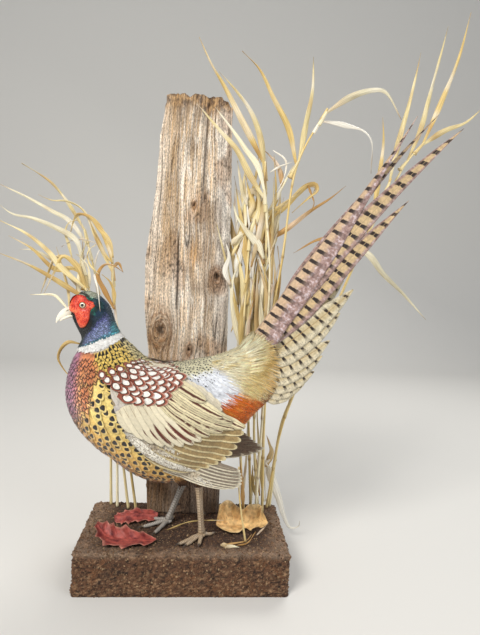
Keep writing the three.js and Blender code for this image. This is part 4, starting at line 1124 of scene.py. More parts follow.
def tail_blade(i, side):
    """Feather i of the tail, the same on both sides but that the right ones are turned up a little."""
    place, tip, bend, half, blunt = TAIL_FEATHERS[i]
    low, high = np.array(STATIONS[-1][0], float), np.array(STATIONS[-1][1], float)
    up = unit(high - low)
    root = high + (low - high) * place + 0.65 * np.array([up[1], -up[0]])
    taper = lambda t: np.interp(t, *LONG_TAPERS[i if side == LEFT else 0]) if i < 3 else 1 - 0.93 * t ** blunt
    width = lambda t: mix(0.9 if i == 0 else 0.45, 1, smooth(t, 0, 0.3)) * taper(t)
    turn, stretch = (RIGHT_TURN, RIGHT_STRETCH) if side == RIGHT else (0, 1)
    return blade(root, tip, bend, half, roof(i), steps=44, cells=10, width=width, turn=turn, stretch=stretch,
                 side=side, camber=0.8, first_across=None if i == 0 else -up)


def ridge_blade():
    """The uppermost feather: its shaft is the ridge, and a vane hangs on each side of it.

    Returns the feather and the corners of its upper face, from its right edge over the ridge to its left.
    """
    made = tail_blade(0, LEFT)
    share = (made["v"] + 1) / 2
    narrow = np.minimum(1, 20 * (1 - 0.955 * made["t"] ** 1.7) / (2 * RIDGE_HALF))
    over_rump = 9 * (1 - smooth(made["t"], 0, 0.1))          # its root lies over the end of the rump
    reach = narrow[:, None] * made["height"] + over_rump[:, None]
    left = MIDPLANE - reach * smooth(share, 0, 0.12)
    right = MIDPLANE + reach * smooth(share, 0, 0.12)
    flat = made["flat"]
    shorter = flat[:, :1] + (flat - flat[:, :1]) * 0.8
    top = np.concatenate([
        np.stack([shorter[:, ::-1, 0], right[:, ::-1], shorter[:, ::-1, 1]], -1),
        np.stack([flat[:, 1:, 0], left[:, 1:], flat[:, 1:, 1]], -1)], 1)
    return made, top


def tail_bars(run):
    """The bar number at a distance along a feather: bars widen from the base to the tip."""
    gain = (BAR_LAST - BAR_FIRST) / BAR_SPAN
    return np.log1p(gain * run / BAR_FIRST) / gain


def bar_paint(fringe, width, speckles, clouds):
    """Tan blocks parted by dark bars, dissolving into a loose and clouded fringe along both edges."""
    def paint(tree, maps):
        bar = add(tree, "ShaderNodeAttribute", attribute_name="bar").outputs["Fac"]
        lean = add(tree, "ShaderNodeMath", {0: maps["centred"], 1: -0.12, 2: bar}, operation="MULTIPLY_ADD").outputs[0]
        beat = add(tree, "ShaderNodeMath", {0: ragged(tree, lean, 0.16, scale=320.0)}, operation="FRACT").outputs[0]
        off = add(tree, "ShaderNodeMath", {0: beat, 1: 0.5}, operation="SUBTRACT").outputs[0]
        off = add(tree, "ShaderNodeMath", {0: off}, operation="ABSOLUTE").outputs[0]
        wider = add(tree, "ShaderNodeMath", {0: maps["side"], 1: -0.06, 2: off}, operation="MULTIPLY_ADD").outputs[0]
        cloud = speckle(tree, 210.0, 3.0)
        edge = marked(tree, maps["mark"], linear("#80625c"), (cloud, (0.36, clouds), (0.47, 0)))
        edge = marked(tree, edge, linear("#d8c8ca"), (cloud, (0.53, 0), (0.64, clouds)))
        outward = ragged(tree, maps["side"], 0.35, scale=240.0)
        block = marked(tree, maps["ground"], edge, (outward, (fringe, 0), (fringe + 0.25, 1)))
        place = add(tree, "ShaderNodeTexCoord").outputs["Object"]
        dots = add(tree, "ShaderNodeTexVoronoi", {"Vector": place, "Scale": 420.0}).outputs["Distance"]
        block = marked(tree, block, linear("#4a3a2c"), (dots, (0.16, speckles), (0.3, 0)),
                       (maps["side"], (0.35, 0), (0.6, 1)))
        return marked(tree, block, linear("#2a1b16"), (wider, (width, 1), (width + 0.05, 0)),
                      (maps["side"], (fringe + 0.05, 1), (min(1.0, fringe + 0.4), 0.25)))
    return paint


def make_ridge(finish):
    """The ridge feather as a thin closed shell."""
    made, top = ridge_blade()
    under, middle = top.copy(), top.shape[1] // 2
    under[..., 1] += np.sign(MIDPLANE - top[..., 1]) * 0.5
    under[:, middle, 0] += 0.35
    under[:, middle, 2] -= 0.35
    points = np.concatenate([top, under[:, ::-1]], 1)
    rows, columns = points.shape[:2]
    v = np.linspace(0, 1, columns // 2)
    place = np.stack(np.broadcast_arrays(np.concatenate([v, v[::-1]])[None], made["t"][:, None]), -1).reshape(-1, 2)
    run = np.broadcast_to(made["run"][:, None], (rows, columns)).ravel()
    count = rows * columns
    make_mesh("tail_ridge_feather", points, grid_faces(rows, columns, wrap=True), caps=end_caps(rows, columns),
              material=finish["tail_ridge"], uvs={"vane": place, "OFBake": place * 0.9 + 0.05},
              colours={"ground": one_colour("#cbad8c", count), "mark": one_colour("#aa8c84", count)},
              values={"pick": np.full(count, 0.6), "bar": tail_bars(run)}, replaces=["tail_ridge"])


def make_tail(finish):
    """The ridge feather, and on each side two long feathers and the short ones fanned out under them."""
    make_ridge(finish)
    tan, mauve, buff, pale = (linear(c) for c in ("#d3b78a", "#b5958a", "#cdbb92", "#ded2b4"))
    for side, word, count in ((LEFT, "left", 10), (RIGHT, "right", 9)):
        for group, numbers in (("long", range(1, 3)), ("short", range(3, count))):
            wide = group == "long"
            blade_piece(
                f"tail_{word}_{group}", [tail_blade(i, side) for i in numbers],
                material=finish["tail" if wide else "tail_side"],
                grounds=[tan if wide else mix(buff, pale, 0.1 * (i % 3)) for i in numbers],
                marks=[mauve if wide else pale] * len(numbers),
                bars=lambda k, run, numbers=numbers: tail_bars(run) + 0.37 * numbers[k],
                replaces=[f"tail_{word}_{i}" for i in numbers], seed=20 + len(word))


# ---------------------------------------------------------------------------------------------
# Wings
# ---------------------------------------------------------------------------------------------

WING_TOP = [(-112, 309), (-103, 324), (-86, 335), (-58, 338.5), (-29, 331), (-7, 320), (15, 309), (37, 288),
            (60, 264), (81, 249), (68, 214), (60, 199), (80, 176), (83.5, 160)]
WING_BOTTOM = [(-112, 300), (-108, 284), (-101, 268), (-83, 250), (-66, 230), (-50, 212), (-31, 192), (-12, 178),
               (8, 170.5), (28, 163), (44, 157), (57, 154.5), (69, 152.5), (78, 153)]
WING_PIVOT, RIGHT_LIFT = np.array([-80.0, 300.0]), math.radians(12)
WING_AXIS = (np.array([-112.0, 305.0]), np.array([83.0, 160.0]))
WING_ROWS, WING_COLUMNS, ARM_ROWS = 60, 26, 41


def body_half_width(x, z, grow, first=10.4, last=LAST):
    """Half the body's width, grown by grow, at places of its side view."""
    shape = np.shape(x)
    x, z = np.ravel(x), np.ravel(z)
    low_s, high_s = np.full(len(x), float(first)), np.full(len(x), float(last))
    for _halving in range(22):
        middle = (low_s + high_s) / 2
        low, high, _half = body_curves(middle)
        past = (high[:, 0] - low[:, 0]) * (z - low[:, 1]) - (high[:, 1] - low[:, 1]) * (x - low[:, 0]) > 0
        high_s, low_s = np.where(past, middle, high_s), np.where(past, low_s, middle)
    low, high, half = body_curves(low_s)
    reach = np.linalg.norm(high - low, axis=1) / 2
    up = unit(high - low)
    height = (x - low[:, 0]) * up[:, 0] + (z - low[:, 1]) * up[:, 1] - reach
    return ((half + grow) * np.sqrt(np.maximum(0, 1 - (height / (reach + grow)) ** 2))).reshape(shape)


def wing_share(x, z):
    """How far along the wing a place is, from 0 at the wrist's front to 1 at the quills' tips."""
    start, end = WING_AXIS
    axis = end - start
    return ((x - start[0]) * axis[0] + (z - start[1]) * axis[1]) / (axis @ axis)


def wing_pose(side):
    """Places of the left wing's side view as they lie on a side: the right wing is held higher."""
    def pose(flat):
        if side == LEFT:
            return flat
        angle = RIGHT_LIFT * smooth(wing_share(flat[..., 0], flat[..., 1]), 0.2, 0.75)
        arm = flat - WING_PIVOT
        c, s = (1 + 0.1 * angle / RIGHT_LIFT) * np.array([np.cos(angle), np.sin(angle)])
        return WING_PIVOT + np.stack([arm[..., 0] * c - arm[..., 1] * s, arm[..., 0] * s + arm[..., 1] * c], -1)
    return pose


def wing_out(x, z):
    """How far the wing lies from the midplane: over the body, and past it held out on its own."""
    u = np.clip(wing_share(x, z), 0, 1)
    free = mix(20, 43, smooth(u, 0.3, 0.85)) - 4 * (1 - u)
    return np.hypot(np.maximum(body_half_width(x, z, 6.6), free), 6) - 2.6


def wing_surface(side):
    """The wing's form between its upper and its lower edge."""
    u = np.linspace(0, 1, WING_ROWS)
    top = curve_through_stations(np.array(WING_TOP, float), u)
    bottom = curve_through_stations(np.array(WING_BOTTOM, float), u)
    v = np.linspace(0, 1, WING_COLUMNS) ** 1.25
    flat = wing_pose(side)(top[:, None] + (bottom - top)[:, None] * v[None, :, None])
    out = wing_out(flat[..., 0], flat[..., 1])
    points = np.stack([flat[..., 0], MIDPLANE + side * out, flat[..., 1]], -1)
    return Surface(points, wrap=False, inside=np.array([0, MIDPLANE, 250.0]))


SECONDARIES = [
    # root and tip (x, z), from the uppermost down
    ((12, 262), (85, 251)), ((6, 254), (83, 241)), ((-2, 247), (79, 230)), ((-12, 241), (74, 219)),
    ((-22, 236), (67, 209)), ((-32, 231), (58, 201)), ((-42, 226), (47, 194)), ((-50, 220), (34, 188)),
    ((-56, 214), (20, 184)), ((-60, 208), (6, 181)),
]
PRIMARIES = [
    ((6, 204), (80, 183)), ((2, 200), (82, 178)), ((-4, 196), (83, 173)), ((-10, 192), (84, 168)),
    ((-16, 189), (83, 163)), ((-22, 187), (80, 159)), ((-28, 185), (73, 156.5)), ((-34, 184), (62, 155.5)),
]
TERTIALS = [
    ((-34, 325), (24, 291)), ((-36, 321), (50, 267)), ((-38, 316), (66, 257)), ((-40, 311), (83, 249)),
    ((-44, 306), (69, 246.5)), ((-47, 302), (51, 243)), ((-50, 299), (32, 238.5)),
]
GREATER_COVERTS = [
    # root, tip (x, z) and the size of the maroon wedge
    ((-53, 297), (20, 231.5), 1.15), ((-58, 295), (9, 227), 1.6), ((-63, 292), (-6, 224.5), 0.8),
    ((-70, 290), (-20, 223), 1.35), ((-77, 288), (-34, 224.5), 0.8), ((-85, 285), (-48, 228.5), 0.6),
    ((-93, 281), (-62, 235), 0.1), ((-99, 276), (-76, 244), 0.1),
]
PRIMARY_COVERTS = [
    ((-90, 246), (-52, 214)), ((-86, 238), (-42, 206)), ((-80, 230), (-32, 199)), ((-74, 223), (-20, 193)),
    ((-66, 216), (-8, 188)), ((-58, 210), (4, 184)), ((-50, 205), (14, 181)),
]


def edged_paint(edge_colour, edge_from, mottle):
    """An even ground with fine mottling, a pale lower edge and a pale tip."""
    def paint(tree, maps):
        ground = marked(tree, maps["ground"], maps["mark"], (speckle(tree, 330.0, 3.0), (0.42, 0), (0.62, mottle)))
        rim = strength(tree, (ragged(tree, maps["centred"], 0.08), (edge_from, 0), (edge_from + 0.08, 1)))
        rim_and_tip = marked(tree, rim, (1, 1, 1, 1), (maps["along"], (0.93, 0), (0.99, 1)))
        return marked(tree, ground, linear(edge_colour), (rim_and_tip,))
    return paint


def stripe_paint(tree, maps):
    """A dark chestnut stripe along the shaft that swells towards the tip, and thin broken lines beside it."""
    wander = ragged(tree, maps["centred"], 0.3, scale=112.0)
    across = add(tree, "ShaderNodeMath", {0: wander, 1: 0.5, 2: 0.5}, operation="MULTIPLY_ADD").outputs[0]
    lines = [(0.0, 0), (1.0, 0), (0.25, 0), (0.29, 0.85), (0.33, 0), (0.46, 0), (0.51, 1), (0.64, 1), (0.69, 0),
             (0.82, 0), (0.86, 0.85), (0.9, 0)]
    return marked(tree, maps["ground"], maps["mark"], (across, *lines),
                  (speckle(tree, 95.0, 1.0), (0.36, 0.25), (0.46, 1.0)))


def make_arm(side, surface, finish):
    """The wing's own thin body under its coat; past it the long feathers carry themselves."""
    word = SIDE_WORD[side]
    outer = surface.points[:ARM_ROWS]
    inner = outer.copy()
    inner[..., 1] -= side * mix(5.0, 1.2, np.linspace(0, 1, ARM_ROWS)[:, None])
    shell = np.concatenate([outer, inner[:, ::-1]], 1)
    rows, columns = shell.shape[:2]
    place = np.stack(np.meshgrid(np.linspace(0, 1, rows), np.linspace(0, 1, columns), indexing="ij"), -1)
    outward = np.arange(rows * columns)[:, None] % columns < columns // 2
    make_mesh(f"wing_arm_{word}", shell, grid_faces(rows, columns, wrap=True), caps=end_caps(rows, columns),
              material=finish["skin"], uvs={"OFBake": place * 0.3 + 0.65},
              colours={"ground": np.where(outward, linear("#b9a680"), linear("#6b5848"))},
              replaces=[f"wing_{word}"])


def make_wing(side, finish):
    """One wing from its inner layer outwards: arm, quills, coverts, tertials and the small coverts."""
    word = SIDE_WORD[side]
    surface, pose = wing_surface(side), wing_pose(side)
    make_arm(side, surface, finish)
    long_shape = lambda t: mix(0.5, 1, smooth(t, 0, 0.35)) * np.sqrt(np.maximum(1 - 0.93 * t ** 7, 0))
    point_shape = lambda t: mix(0.45, 1, smooth(t, 0, 0.4)) * np.sqrt(np.maximum(1 - 0.96 * t ** 4, 0))

    def lay(name, feathers, half, bend, base, step, material, ground, mark, shape=long_shape, bars=None, lift=1.4):
        blades = [blade(feather[0], feather[1], bend, half, wing_out, steps=18, cells=8, width=shape, side=side,
                        pose=pose, offset=base - step * i, lift=lift, camber=0.25, shingle=0.75, thickness=0.45)
                  for i, feather in enumerate(feathers)]
        blade_piece(f"{name}_{word}", blades, material=material,
                    grounds=[linear(ground)] * len(blades), marks=[linear(mark)] * len(blades), bars=bars,
                    under=linear("#78624f"), seed=len(name))

    # the far wing is spread a little, so its quills end in a wedge
    kept = [1 - (0.065 * max(0, 4 - i) + 0.04 * max(0, i - 4)) * (side == RIGHT) for i in range(len(PRIMARIES))]
    quills = [(root, mix(np.array(root), np.array(tip), share)) for (root, tip), share in zip(PRIMARIES, kept)]
    quill, olive = ("#8b7d6c", "#6c5f51"), ("#ab9060", "#87714a")
    lay("primaries", quills, 5.2 if side == LEFT else 6.6, 7, 1.4, 0.1, finish["primary"], *quill, point_shape)
    lay("secondaries", SECONDARIES, 7.6, 7, 2.3, 0.12, finish["secondary"], *olive)
    lay("greater_coverts", GREATER_COVERTS, 9.4, 4, 3.5, 0.12, finish["streaked_long"], "#ebe0c2", "#642a1c",
        bars=lambda i, run: np.full(run.shape, GREATER_COVERTS[i][2]), lift=1.0)
    lay("primary_coverts", PRIMARY_COVERTS, 5.6, 5, 3.0, 0.1, finish["edge_covert"], "#f2ecdc", "#8a765a",
        point_shape, lift=0.9)
    lay("tertials", TERTIALS, 9.2, 6, 4.0, 0.12, finish["striped"], "#eaddb4", "#5e2e1e")

    # small coverts over the arm, and the pale marginal ones along its lower edge
    def tract(name, rows, columns, gaps, keep, material, ground, mark, direction, length, half, seed, **shape):
        places = spread(surface, rows, columns, *gaps, seed)
        at = surface.at(places[:, 0], places[:, 1])
        chosen = keep(at, places)
        places, at = places[chosen], at[chosen]
        rng = np.random.default_rng(seed)
        angle = np.radians(direction(at)) + rng.normal(0, 0.05, len(at))
        if side == RIGHT:
            angle = angle + RIGHT_LIFT * smooth(wing_share(at[:, 0], at[:, 2]), 0.2, 0.75)
        way = heading(np.stack([np.cos(angle), np.zeros(len(at)), np.sin(angle)], -1))
        laid = vanes(surface, places[:, 0], places[:, 1], way, length * rng.uniform(0.9, 1.1, len(at)), half, **shape)
        grain = noise(at, 14, seed)
        bake = np.stack([0.66 + 0.3 * places[:, 0] / WING_ROWS, 0.66 + 0.3 * places[:, 1] / WING_COLUMNS], -1)
        lay_coat(f"{name}_{word}", laid, material, ground(at, grain), one_colour(mark, len(at)), bake,
                 spread_colour=0.05, seed=seed)

    sandy, lilac, cream = linear("#e3d8be"), linear("#d3cbc8"), linear("#ede4cd")
    front = lambda at: smooth(-at[:, 0] * 0.7 - (at[:, 2] - 260) * 0.4, 40, 75)
    tract("lesser_coverts", (1.5, 36), (0, WING_COLUMNS - 1), (6.0, 5.6),
          lambda at, p: wing_share(at[:, 0], at[:, 2]) < 0.52, finish["covert"],
          lambda at, g: mix(mix(sandy, cream, np.clip(0.5 + g, 0, 1)[:, None]), lilac, front(at)[:, None]),
          "#8a7356", lambda at: np.interp(at[:, 0], [-112, -20, 30], [-56, -44, -38]), 19, 4.8, 31,
          lift=1.5, base=0.5, steps=6, cells=4)
    tract("marginal_coverts", (10, 40), (WING_COLUMNS - 7, WING_COLUMNS - 1), (5.0, 4.5),
          lambda at, p: p[:, 1] > WING_COLUMNS - np.interp(at[:, 0], [-80, -40, 10], [7, 6, 2]), finish["edge_covert"],
          lambda at, g: mix(linear("#f1ebdc"), linear("#bfae92"), np.clip(0.3 + g, 0, 1)[:, None]),
          "#7d6c56", lambda at: np.interp(at[:, 0], [-60, 40], [-38, -16]), 17, 3.8, 32,
          lift=1.2, base=1.0, steps=6, cells=4)


# ---------------------------------------------------------------------------------------------
# Scapulars: laced feathers that lap from the back down over the wing's root
# ---------------------------------------------------------------------------------------------

def scapular_surface():
    """The body's form swelled out where the wing lies beneath."""
    row, column = np.indices(BODY.points.shape[:2])
    swell = 0.8 + 8.8 * (smooth(turn_of(column), 12, 50) * smooth(section_of(row), 11.5, 13.0))
    return Surface(BODY.points + BODY.normal * swell[..., None], wrap=True)


def make_scapulars(finish):
    """Two tracts of them, the lower of larger feathers, in the bounds of top and foot."""
    top = lambda t: np.interp(t, [0, 25, 60, 72, 84], [12.3, 11.75, 11.7, 11.6, 11.5])
    foot = lambda t: np.interp(t, [0, 12, 30, 42, 60, 72, 80, 84, 88, 92],
                               [12.8, 13.8, 14.6, 15.3, 15.5, 15.4, 14.7, 13.6, 12.9, 12])
    keep = lambda s, t: (s > top(t)) & (s < foot(t)) & (t < 90)
    growth = lambda s: np.interp(s, [11.6, 13, 15.5], [0.72, 0.95, 1.08])
    for name, rows, turns, gaps, size, seed in (
            ("upper", (11.5, 15.6), (0, 46), (8.0, 8.2), (17, 5.4), 41),
            ("lower", (11.3, 15.8), (44, 92), (10.8, 11.6), (25, 7.6), 42)):
        body_tract(f"scapular_coat_{name}", rows, turns, gaps, keep, material=finish["scapular"],
                   slot="body_plumage", mark="fringe", seed=seed, surface=scapular_surface(), jitter=0.08,
                   turn=lambda s, t: np.radians(np.interp(t, [0, 40, 90], [0, -4, -14])),
                   length=lambda s, t, size=size: size[0] * growth(s), half=lambda s, t, size=size: size[1] * growth(s),
                   ground=lambda s, t, g: mix(one_colour("maroon", len(s)), linear("#b7895f"),
                                              (0.35 * smooth(t, 40, 10))[:, None]),
                   lift=2.8, steps=9, cells=6, waist=0.5, end=0.66, round_off=0.6)


# ---------------------------------------------------------------------------------------------
# Rump: long loose feathers that hang over the tail's root
# ---------------------------------------------------------------------------------------------

def make_rump(finish):
    """Blue rump feathers, and over them the loose straw and rust ones that reach across the tail's root."""
    way = lambda s, t: np.radians(np.interp(t, [0, 20, 50, 90, 130], [5, 35, 66, 78, 78]))
    blue = lambda s, t: (s > 16.0) & (s < 21.2) & (t > blue_top(s) - 3) & (t < 108) & (t < rust_top(s) + 2)
    loose = {"material": finish["rump"], "slot": "body_plumage", "mark": "rust_deep", "camber": 0.2, "cells": 2,
             "waist": 0.7, "widest": 0.3, "round_off": 0.5}
    body_tract("rump_coat", (14.6, 20.4), (25, 110), (4.2, 3.4), blue, seed=51, length=26, half=1.9, read_at=18,
               lift=2.3, steps=6, end=0.3, turn=way, spread_colour=0.07, **loose)

    def streaked(s, t, grain):
        """The loose feathers hang in locks, some in shade and some in light."""
        lock = noise(np.stack([s / 2.6, t / 2.6, 0 * s], -1), 1.0, 53, 2)
        fine = noise(np.stack([s / 1.5, t / 0.9, 0 * s], -1), 1.0, 54)
        red = (smooth(s, 18.7, 19.0) * smooth(t - rust_top(s), -5, 3))[:, None]
        colour = body_colour(s, t, 0.5 * grain)
        shade = mix(linear("#d6b96c"), linear("#b2430a"), red)
        light = mix(linear("#fff2cc"), linear("#f9b24a"), red)
        colour = mix(colour, shade, (0.75 * smooth(-lock - 0.5 * fine, 0.05, 0.7))[:, None])
        return mix(colour, light, (0.7 * smooth(lock + 0.6 * fine, 0.15, 0.8))[:, None])

    over_tail = lambda s, t: (s > np.interp(t, [0, 50], [19.5, 20.9])) & (s < np.interp(t, [0, 50], [20.5, 22.3]))
    loose.update(half=0.95, steps=7, end=0.15, spread_colour=0.16, ground=streaked)
    body_tract("tail_base_hairs", (19.4, 22.4), (0, 66), (2.4, 2.0), over_tail, seed=56, length=25, lift=12.0,
               turn=lambda s, t: np.radians(np.interp(t, [0, 25, 66], [2, 14, 34])), **loose)
    hairs = lambda s, t: ((s > 18.4) & (t < 168) & (s < np.interp(t, [0, 25, 60], [20.4, 22.4, 24])) &
                          ((t < blue_top(s) + 3) | (t > rust_top(s) - 2) | (s > 20.8)))
    reach = lambda s, t: np.interp(s, [18, 20, 24], [28, 36, 33]) * np.interp(t, [0, 35, 80], [0.55, 0.68, 1])
    body_tract("rump_hairs", (14.8, 22.9), (0, 168), (3.0, 2.4), hairs, seed=52, length=reach, read_at=24, lift=3.6,
               turn=way, **loose)

# ---------------------------------------------------------------------------------------------
# Head: wattled face, lids, glass eyes, bill, short feathers and ear tufts
# ---------------------------------------------------------------------------------------------

FACE_EDGE = [
    (-184, 423.5), (-179.8, 431), (-170, 434.3), (-161, 432), (-156.4, 427), (-149.7, 425.2), (-144.4, 424.2),
    (-146.7, 418), (-151.6, 413), (-153, 406), (-153.5, 399), (-156.7, 392), (-160, 387.5), (-166.4, 385.4),
    (-171, 391.7), (-174, 400), (-177, 406.5), (-182.6, 408.4), (-185.6, 412),
]
EYE_PLACE, EYE_OUT, EYE_RADIUS = np.array([-164.0, 419.5]), 10.9, 5.7
LID_HALF = (4.3, 3.9)        # half the opening between the lids, along and across
PAPILLA = 2.1                # spacing of the face's little knobs


def face_reach(angle):
    """How far the bare face reaches from the eye, at angles in the side view."""
    edge = curve_through(FACE_EDGE + FACE_EDGE[:1], 400) - EYE_PLACE
    turn = np.arctan2(edge[:, 1], edge[:, 0])
    order = np.argsort(turn)
    return np.interp(angle, turn[order], np.linalg.norm(edge, axis=1)[order], period=TAU)


def on_face(x, z, margin):
    """Whether a place in the side view lies on the bare face, or within a margin of it."""
    dx, dz = x - EYE_PLACE[0], z - EYE_PLACE[1]
    return np.hypot(dx, dz) < face_reach(np.arctan2(dz, dx)) + margin


def knobs(x, z, spacing, seed):
    """Rounded knobs on a jittered lattice: 1 at a knob's middle, 0 in the grooves between."""
    i, k = np.floor(x / spacing), np.floor(z / spacing)
    best = np.full(x.shape, 9.0)
    for di in (-1, 0, 1):
        for dk in (-1, 0, 1):
            cell = np.stack([i + di, k + dk, np.zeros_like(i)], -1).astype(np.int64)
            cx = (i + di + 0.5 + 0.42 * lattice(cell, seed)) * spacing
            cz = (k + dk + 0.5 + 0.42 * lattice(cell, seed + 7)) * spacing
            best = np.minimum(best, np.hypot(x - cx, z - cz) / spacing)
    return np.clip(1 - (best / 0.62) ** 2, 0, 1)


def make_face_material():
    """Wattle skin: moist living red in life, lacquered paint over dried skin here, glossy on its knobs."""
    material, tree, shader = new_material("painted_wattle_skin", Roughness=0.42, Coat_Weight=0.2, Coat_Roughness=0.25)
    grained(tree, shader, speckle(tree, 700.0, 3.0), (0.8, 1.2), 0.35, 0.25)
    return material


def make_face(side, material):
    """The bare face round one eye: lids, folds and knobs, closed behind."""
    columns, rows = 260, 72
    angle = -math.pi + TAU * np.arange(columns) / columns
    opening = 1 / np.hypot(np.cos(angle + 0.15) / LID_HALF[0], np.sin(angle + 0.15) / LID_HALF[1])
    q = np.linspace(0, 1, rows)[:, None]
    outer = face_reach(angle)[None]
    r = mix(opening[None], outer + 0.9, q)
    x, z = EYE_PLACE[0] + r * np.cos(angle), EYE_PLACE[1] + r * np.sin(angle)
    from_lid, from_edge = r - opening[None], outer + 0.9 - r
    place = np.stack([x, np.zeros_like(x), z], -1)
    folds = noise(place * [1, 1, 1.6], 8, 61, 2)
    knob = knobs(x + 0.3 * noise(place, 3, 62), z, PAPILLA, 63)
    bare = smooth(from_lid, 1.8, 4.0) * smooth(from_edge, 0.2, 2.5)
    relief = 1.5 * smooth(from_edge, 0, 5) + 0.9 * folds * bare + 0.5 * knob * bare
    relief = relief + 0.7 * np.exp(-((from_lid - 1.1) / 0.75) ** 2)          # the lids' own roll
    relief = relief - 0.8 * np.exp(-((from_lid - 2.9) / 0.9) ** 2)           # the groove round them
    relief = relief - 1.5 * smooth(from_edge, 1.6, 0) - 1.2 * smooth(from_lid, 0.9, 0)
    lobe = np.exp(-(((x + 165) / 9) ** 2 + ((z - 396) / 12) ** 2))
    relief = relief + 1.6 * lobe
    out = body_half_width(x, z, -1.6, first=0.0, last=9.0) + relief
    points = np.stack([x, MIDPLANE + side * out, z], -1)
    back = np.stack([x, MIDPLANE + side * (out - 2.6), z], -1)[::-1]
    shell = np.concatenate([points, back], 0)
    red, light, deep = linear("#d93a22"), linear("#ff8a58"), linear("#8f1a12")
    # Painted highlight and painted shade: the folds and knobs that raise the relief also lighten the red on their tops
    # and darken it in the grooves, and a finer noise paints shaded creases that have no relief of their own.
    crease_shade = noise(place * [1, 1, 0.7], 3.4, 64, 2)
    shade = np.clip(0.48 + 0.36 * folds + 0.3 * crease_shade + 0.4 * (knob - 0.45) * bare, 0, 1)[..., None]
    tint = np.where(shade < 0.5, mix(deep, red, shade * 2), mix(red, light, shade * 2 - 1))
    rim = smooth(from_lid, 1.25, 0.35)[..., None]
    tint = mix(tint, linear("#2b1a1a"), rim)
    pale = np.exp(-((from_lid - 1.9) / 0.7) ** 2) * smooth(np.cos(angle + 0.7)[None], 0.2, 1)
    tint = mix(tint, linear("#d8a48a"), 0.6 * pale[..., None])
    tint = mix(tint, linear("#2a0f0d"), (0.85 * smooth(from_edge, 1.6, 0.3))[..., None])
    tints = np.concatenate([tint, tint[::-1]], 0)
    bake = np.stack([0.7 + 0.25 * x / 60 + 0.8, 0.4 + (z - 380) / 200 + 0.3 * (side > 0)], -1)
    bake = np.concatenate([bake, bake[::-1] + [0.02, 0]], 0)
    faces = grid_faces(2 * rows, columns, wrap=True)
    last = (2 * rows - 1) * columns + np.arange(columns)
    bridge = np.stack([last, np.roll(last, -1), np.roll(np.arange(columns), -1), np.arange(columns)], -1)
    make_mesh(f"face_{SIDE_WORD[side]}", shell, np.vstack([faces, bridge]), material=material,
              uvs={"OFBake": bake}, colours={"ground": tints}, closed=True)


def make_eye_material():
    """A taxidermist's glass eye: clear dome over a painted cream iris and black pupil."""
    material, tree, shader = new_material("painted_glass_eye", Roughness=0.05, Coat_Weight=1.0, Coat_Roughness=0.02,
                                          Specular_IOR_Level=0.7)
    ring = add(tree, "ShaderNodeAttribute", attribute_name="ring").outputs["Fac"]
    fibres = speckle(tree, 1500.0, 2.0)
    shift = add(tree, "ShaderNodeMath", {0: fibres, 1: 0.05, 2: ring}, operation="MULTIPLY_ADD").outputs[0]
    rings = [(0.0, "#050404"), (1.0, "#100c0a"), (0.37, "#060505"), (0.42, "#c9b48a"), (0.5, "#efe5cb"),
             (0.66, "#e6d8b4"), (0.74, "#8a6b45"), (0.79, "#120d0a")]
    colour = add(tree, "ShaderNodeValToRGB", {"Fac": shift}, [(place, linear(code)) for place, code in rings])
    tree.links.new(colour.outputs["Color"], shader.inputs["Base Color"])
    return material


def make_eye(side, material):
    """One glass eye, its clear dome a little proud of the ball."""
    word = SIDE_WORD[side]
    rows, columns = 40, 48
    polar = np.linspace(0.02, math.pi - 0.02, rows)[:, None]
    angle = round_angles(columns)
    radius = EYE_RADIUS + 0.3 * smooth(polar, 0.95, 0.3)
    x = EYE_PLACE[0] + radius * np.sin(polar) * np.cos(angle)
    z = EYE_PLACE[1] + radius * np.sin(polar) * np.sin(angle)
    y = MIDPLANE + side * (EYE_OUT + radius * np.cos(polar) * np.ones_like(angle))
    ring = np.sin(np.minimum(polar, math.pi / 2)) * np.ones_like(angle)
    place = np.stack([0.5 + ring * np.cos(angle) / 2, 0.5 + ring * np.sin(angle) / 2], -1)
    make_mesh(f"glass_eye_{word}", np.stack([x, y, z], -1), grid_faces(rows, columns, wrap=True),
              caps=[cap[::-1] for cap in end_caps(rows, columns)], material=material,
              uvs={"OFBake": place}, values={"ring": ring}, replaces=[f"eye_{word}"])


UPPER_BILL = [
    # low (x, z), high (x, z), half width
    (-180.5, 402.6, -183.2, 417.6, 6.5), (-184.3, 401.6, -188.9, 415.4, 6.1), (-190.5, 399.4, -196.4, 411.0, 5.1),
    (-196.6, 396.2, -202.2, 404.2, 3.8), (-201.4, 393.2, -205.2, 397.6, 2.2), (-205.0, 389.8, -206.0, 390.2, 0.5),
]
LOWER_BILL = [
    (-179.0, 399.6, -179.6, 404.0, 6.1), (-183.0, 399.2, -184.3, 403.8, 5.7), (-190.0, 396.8, -190.6, 401.9, 4.5),
    (-195.0, 394.6, -195.7, 399.2, 3.2), (-199.4, 392.6, -200.3, 396.2, 1.5),
]
NOSTRIL = np.array([-187.6, 409.6])


def make_bill_material():
    """Bill horn: keratin grown in layers, semi-gloss, ivory with a greyer, scurfy root."""
    material, tree, shader = new_material(
        "ivory_bill_keratin", Roughness=0.32, Subsurface_Weight=0.15, Subsurface_Radius=(0.002, 0.0015, 0.001),
        Subsurface_Scale=0.5)
    coords = add(tree, "ShaderNodeTexCoord").outputs["Object"]
    stretched = add(tree, "ShaderNodeMapping", {"Vector": coords, "Rotation": (0, -0.62, 0),
                                                "Scale": (90, 300, 700)}).outputs["Vector"]
    growth = add(tree, "ShaderNodeTexNoise", {"Vector": stretched, "Scale": 1.0, "Detail": 4.0}).outputs["Fac"]
    grained(tree, shader, growth, (0.82, 1.12), 0.3, 0.15)
    return material


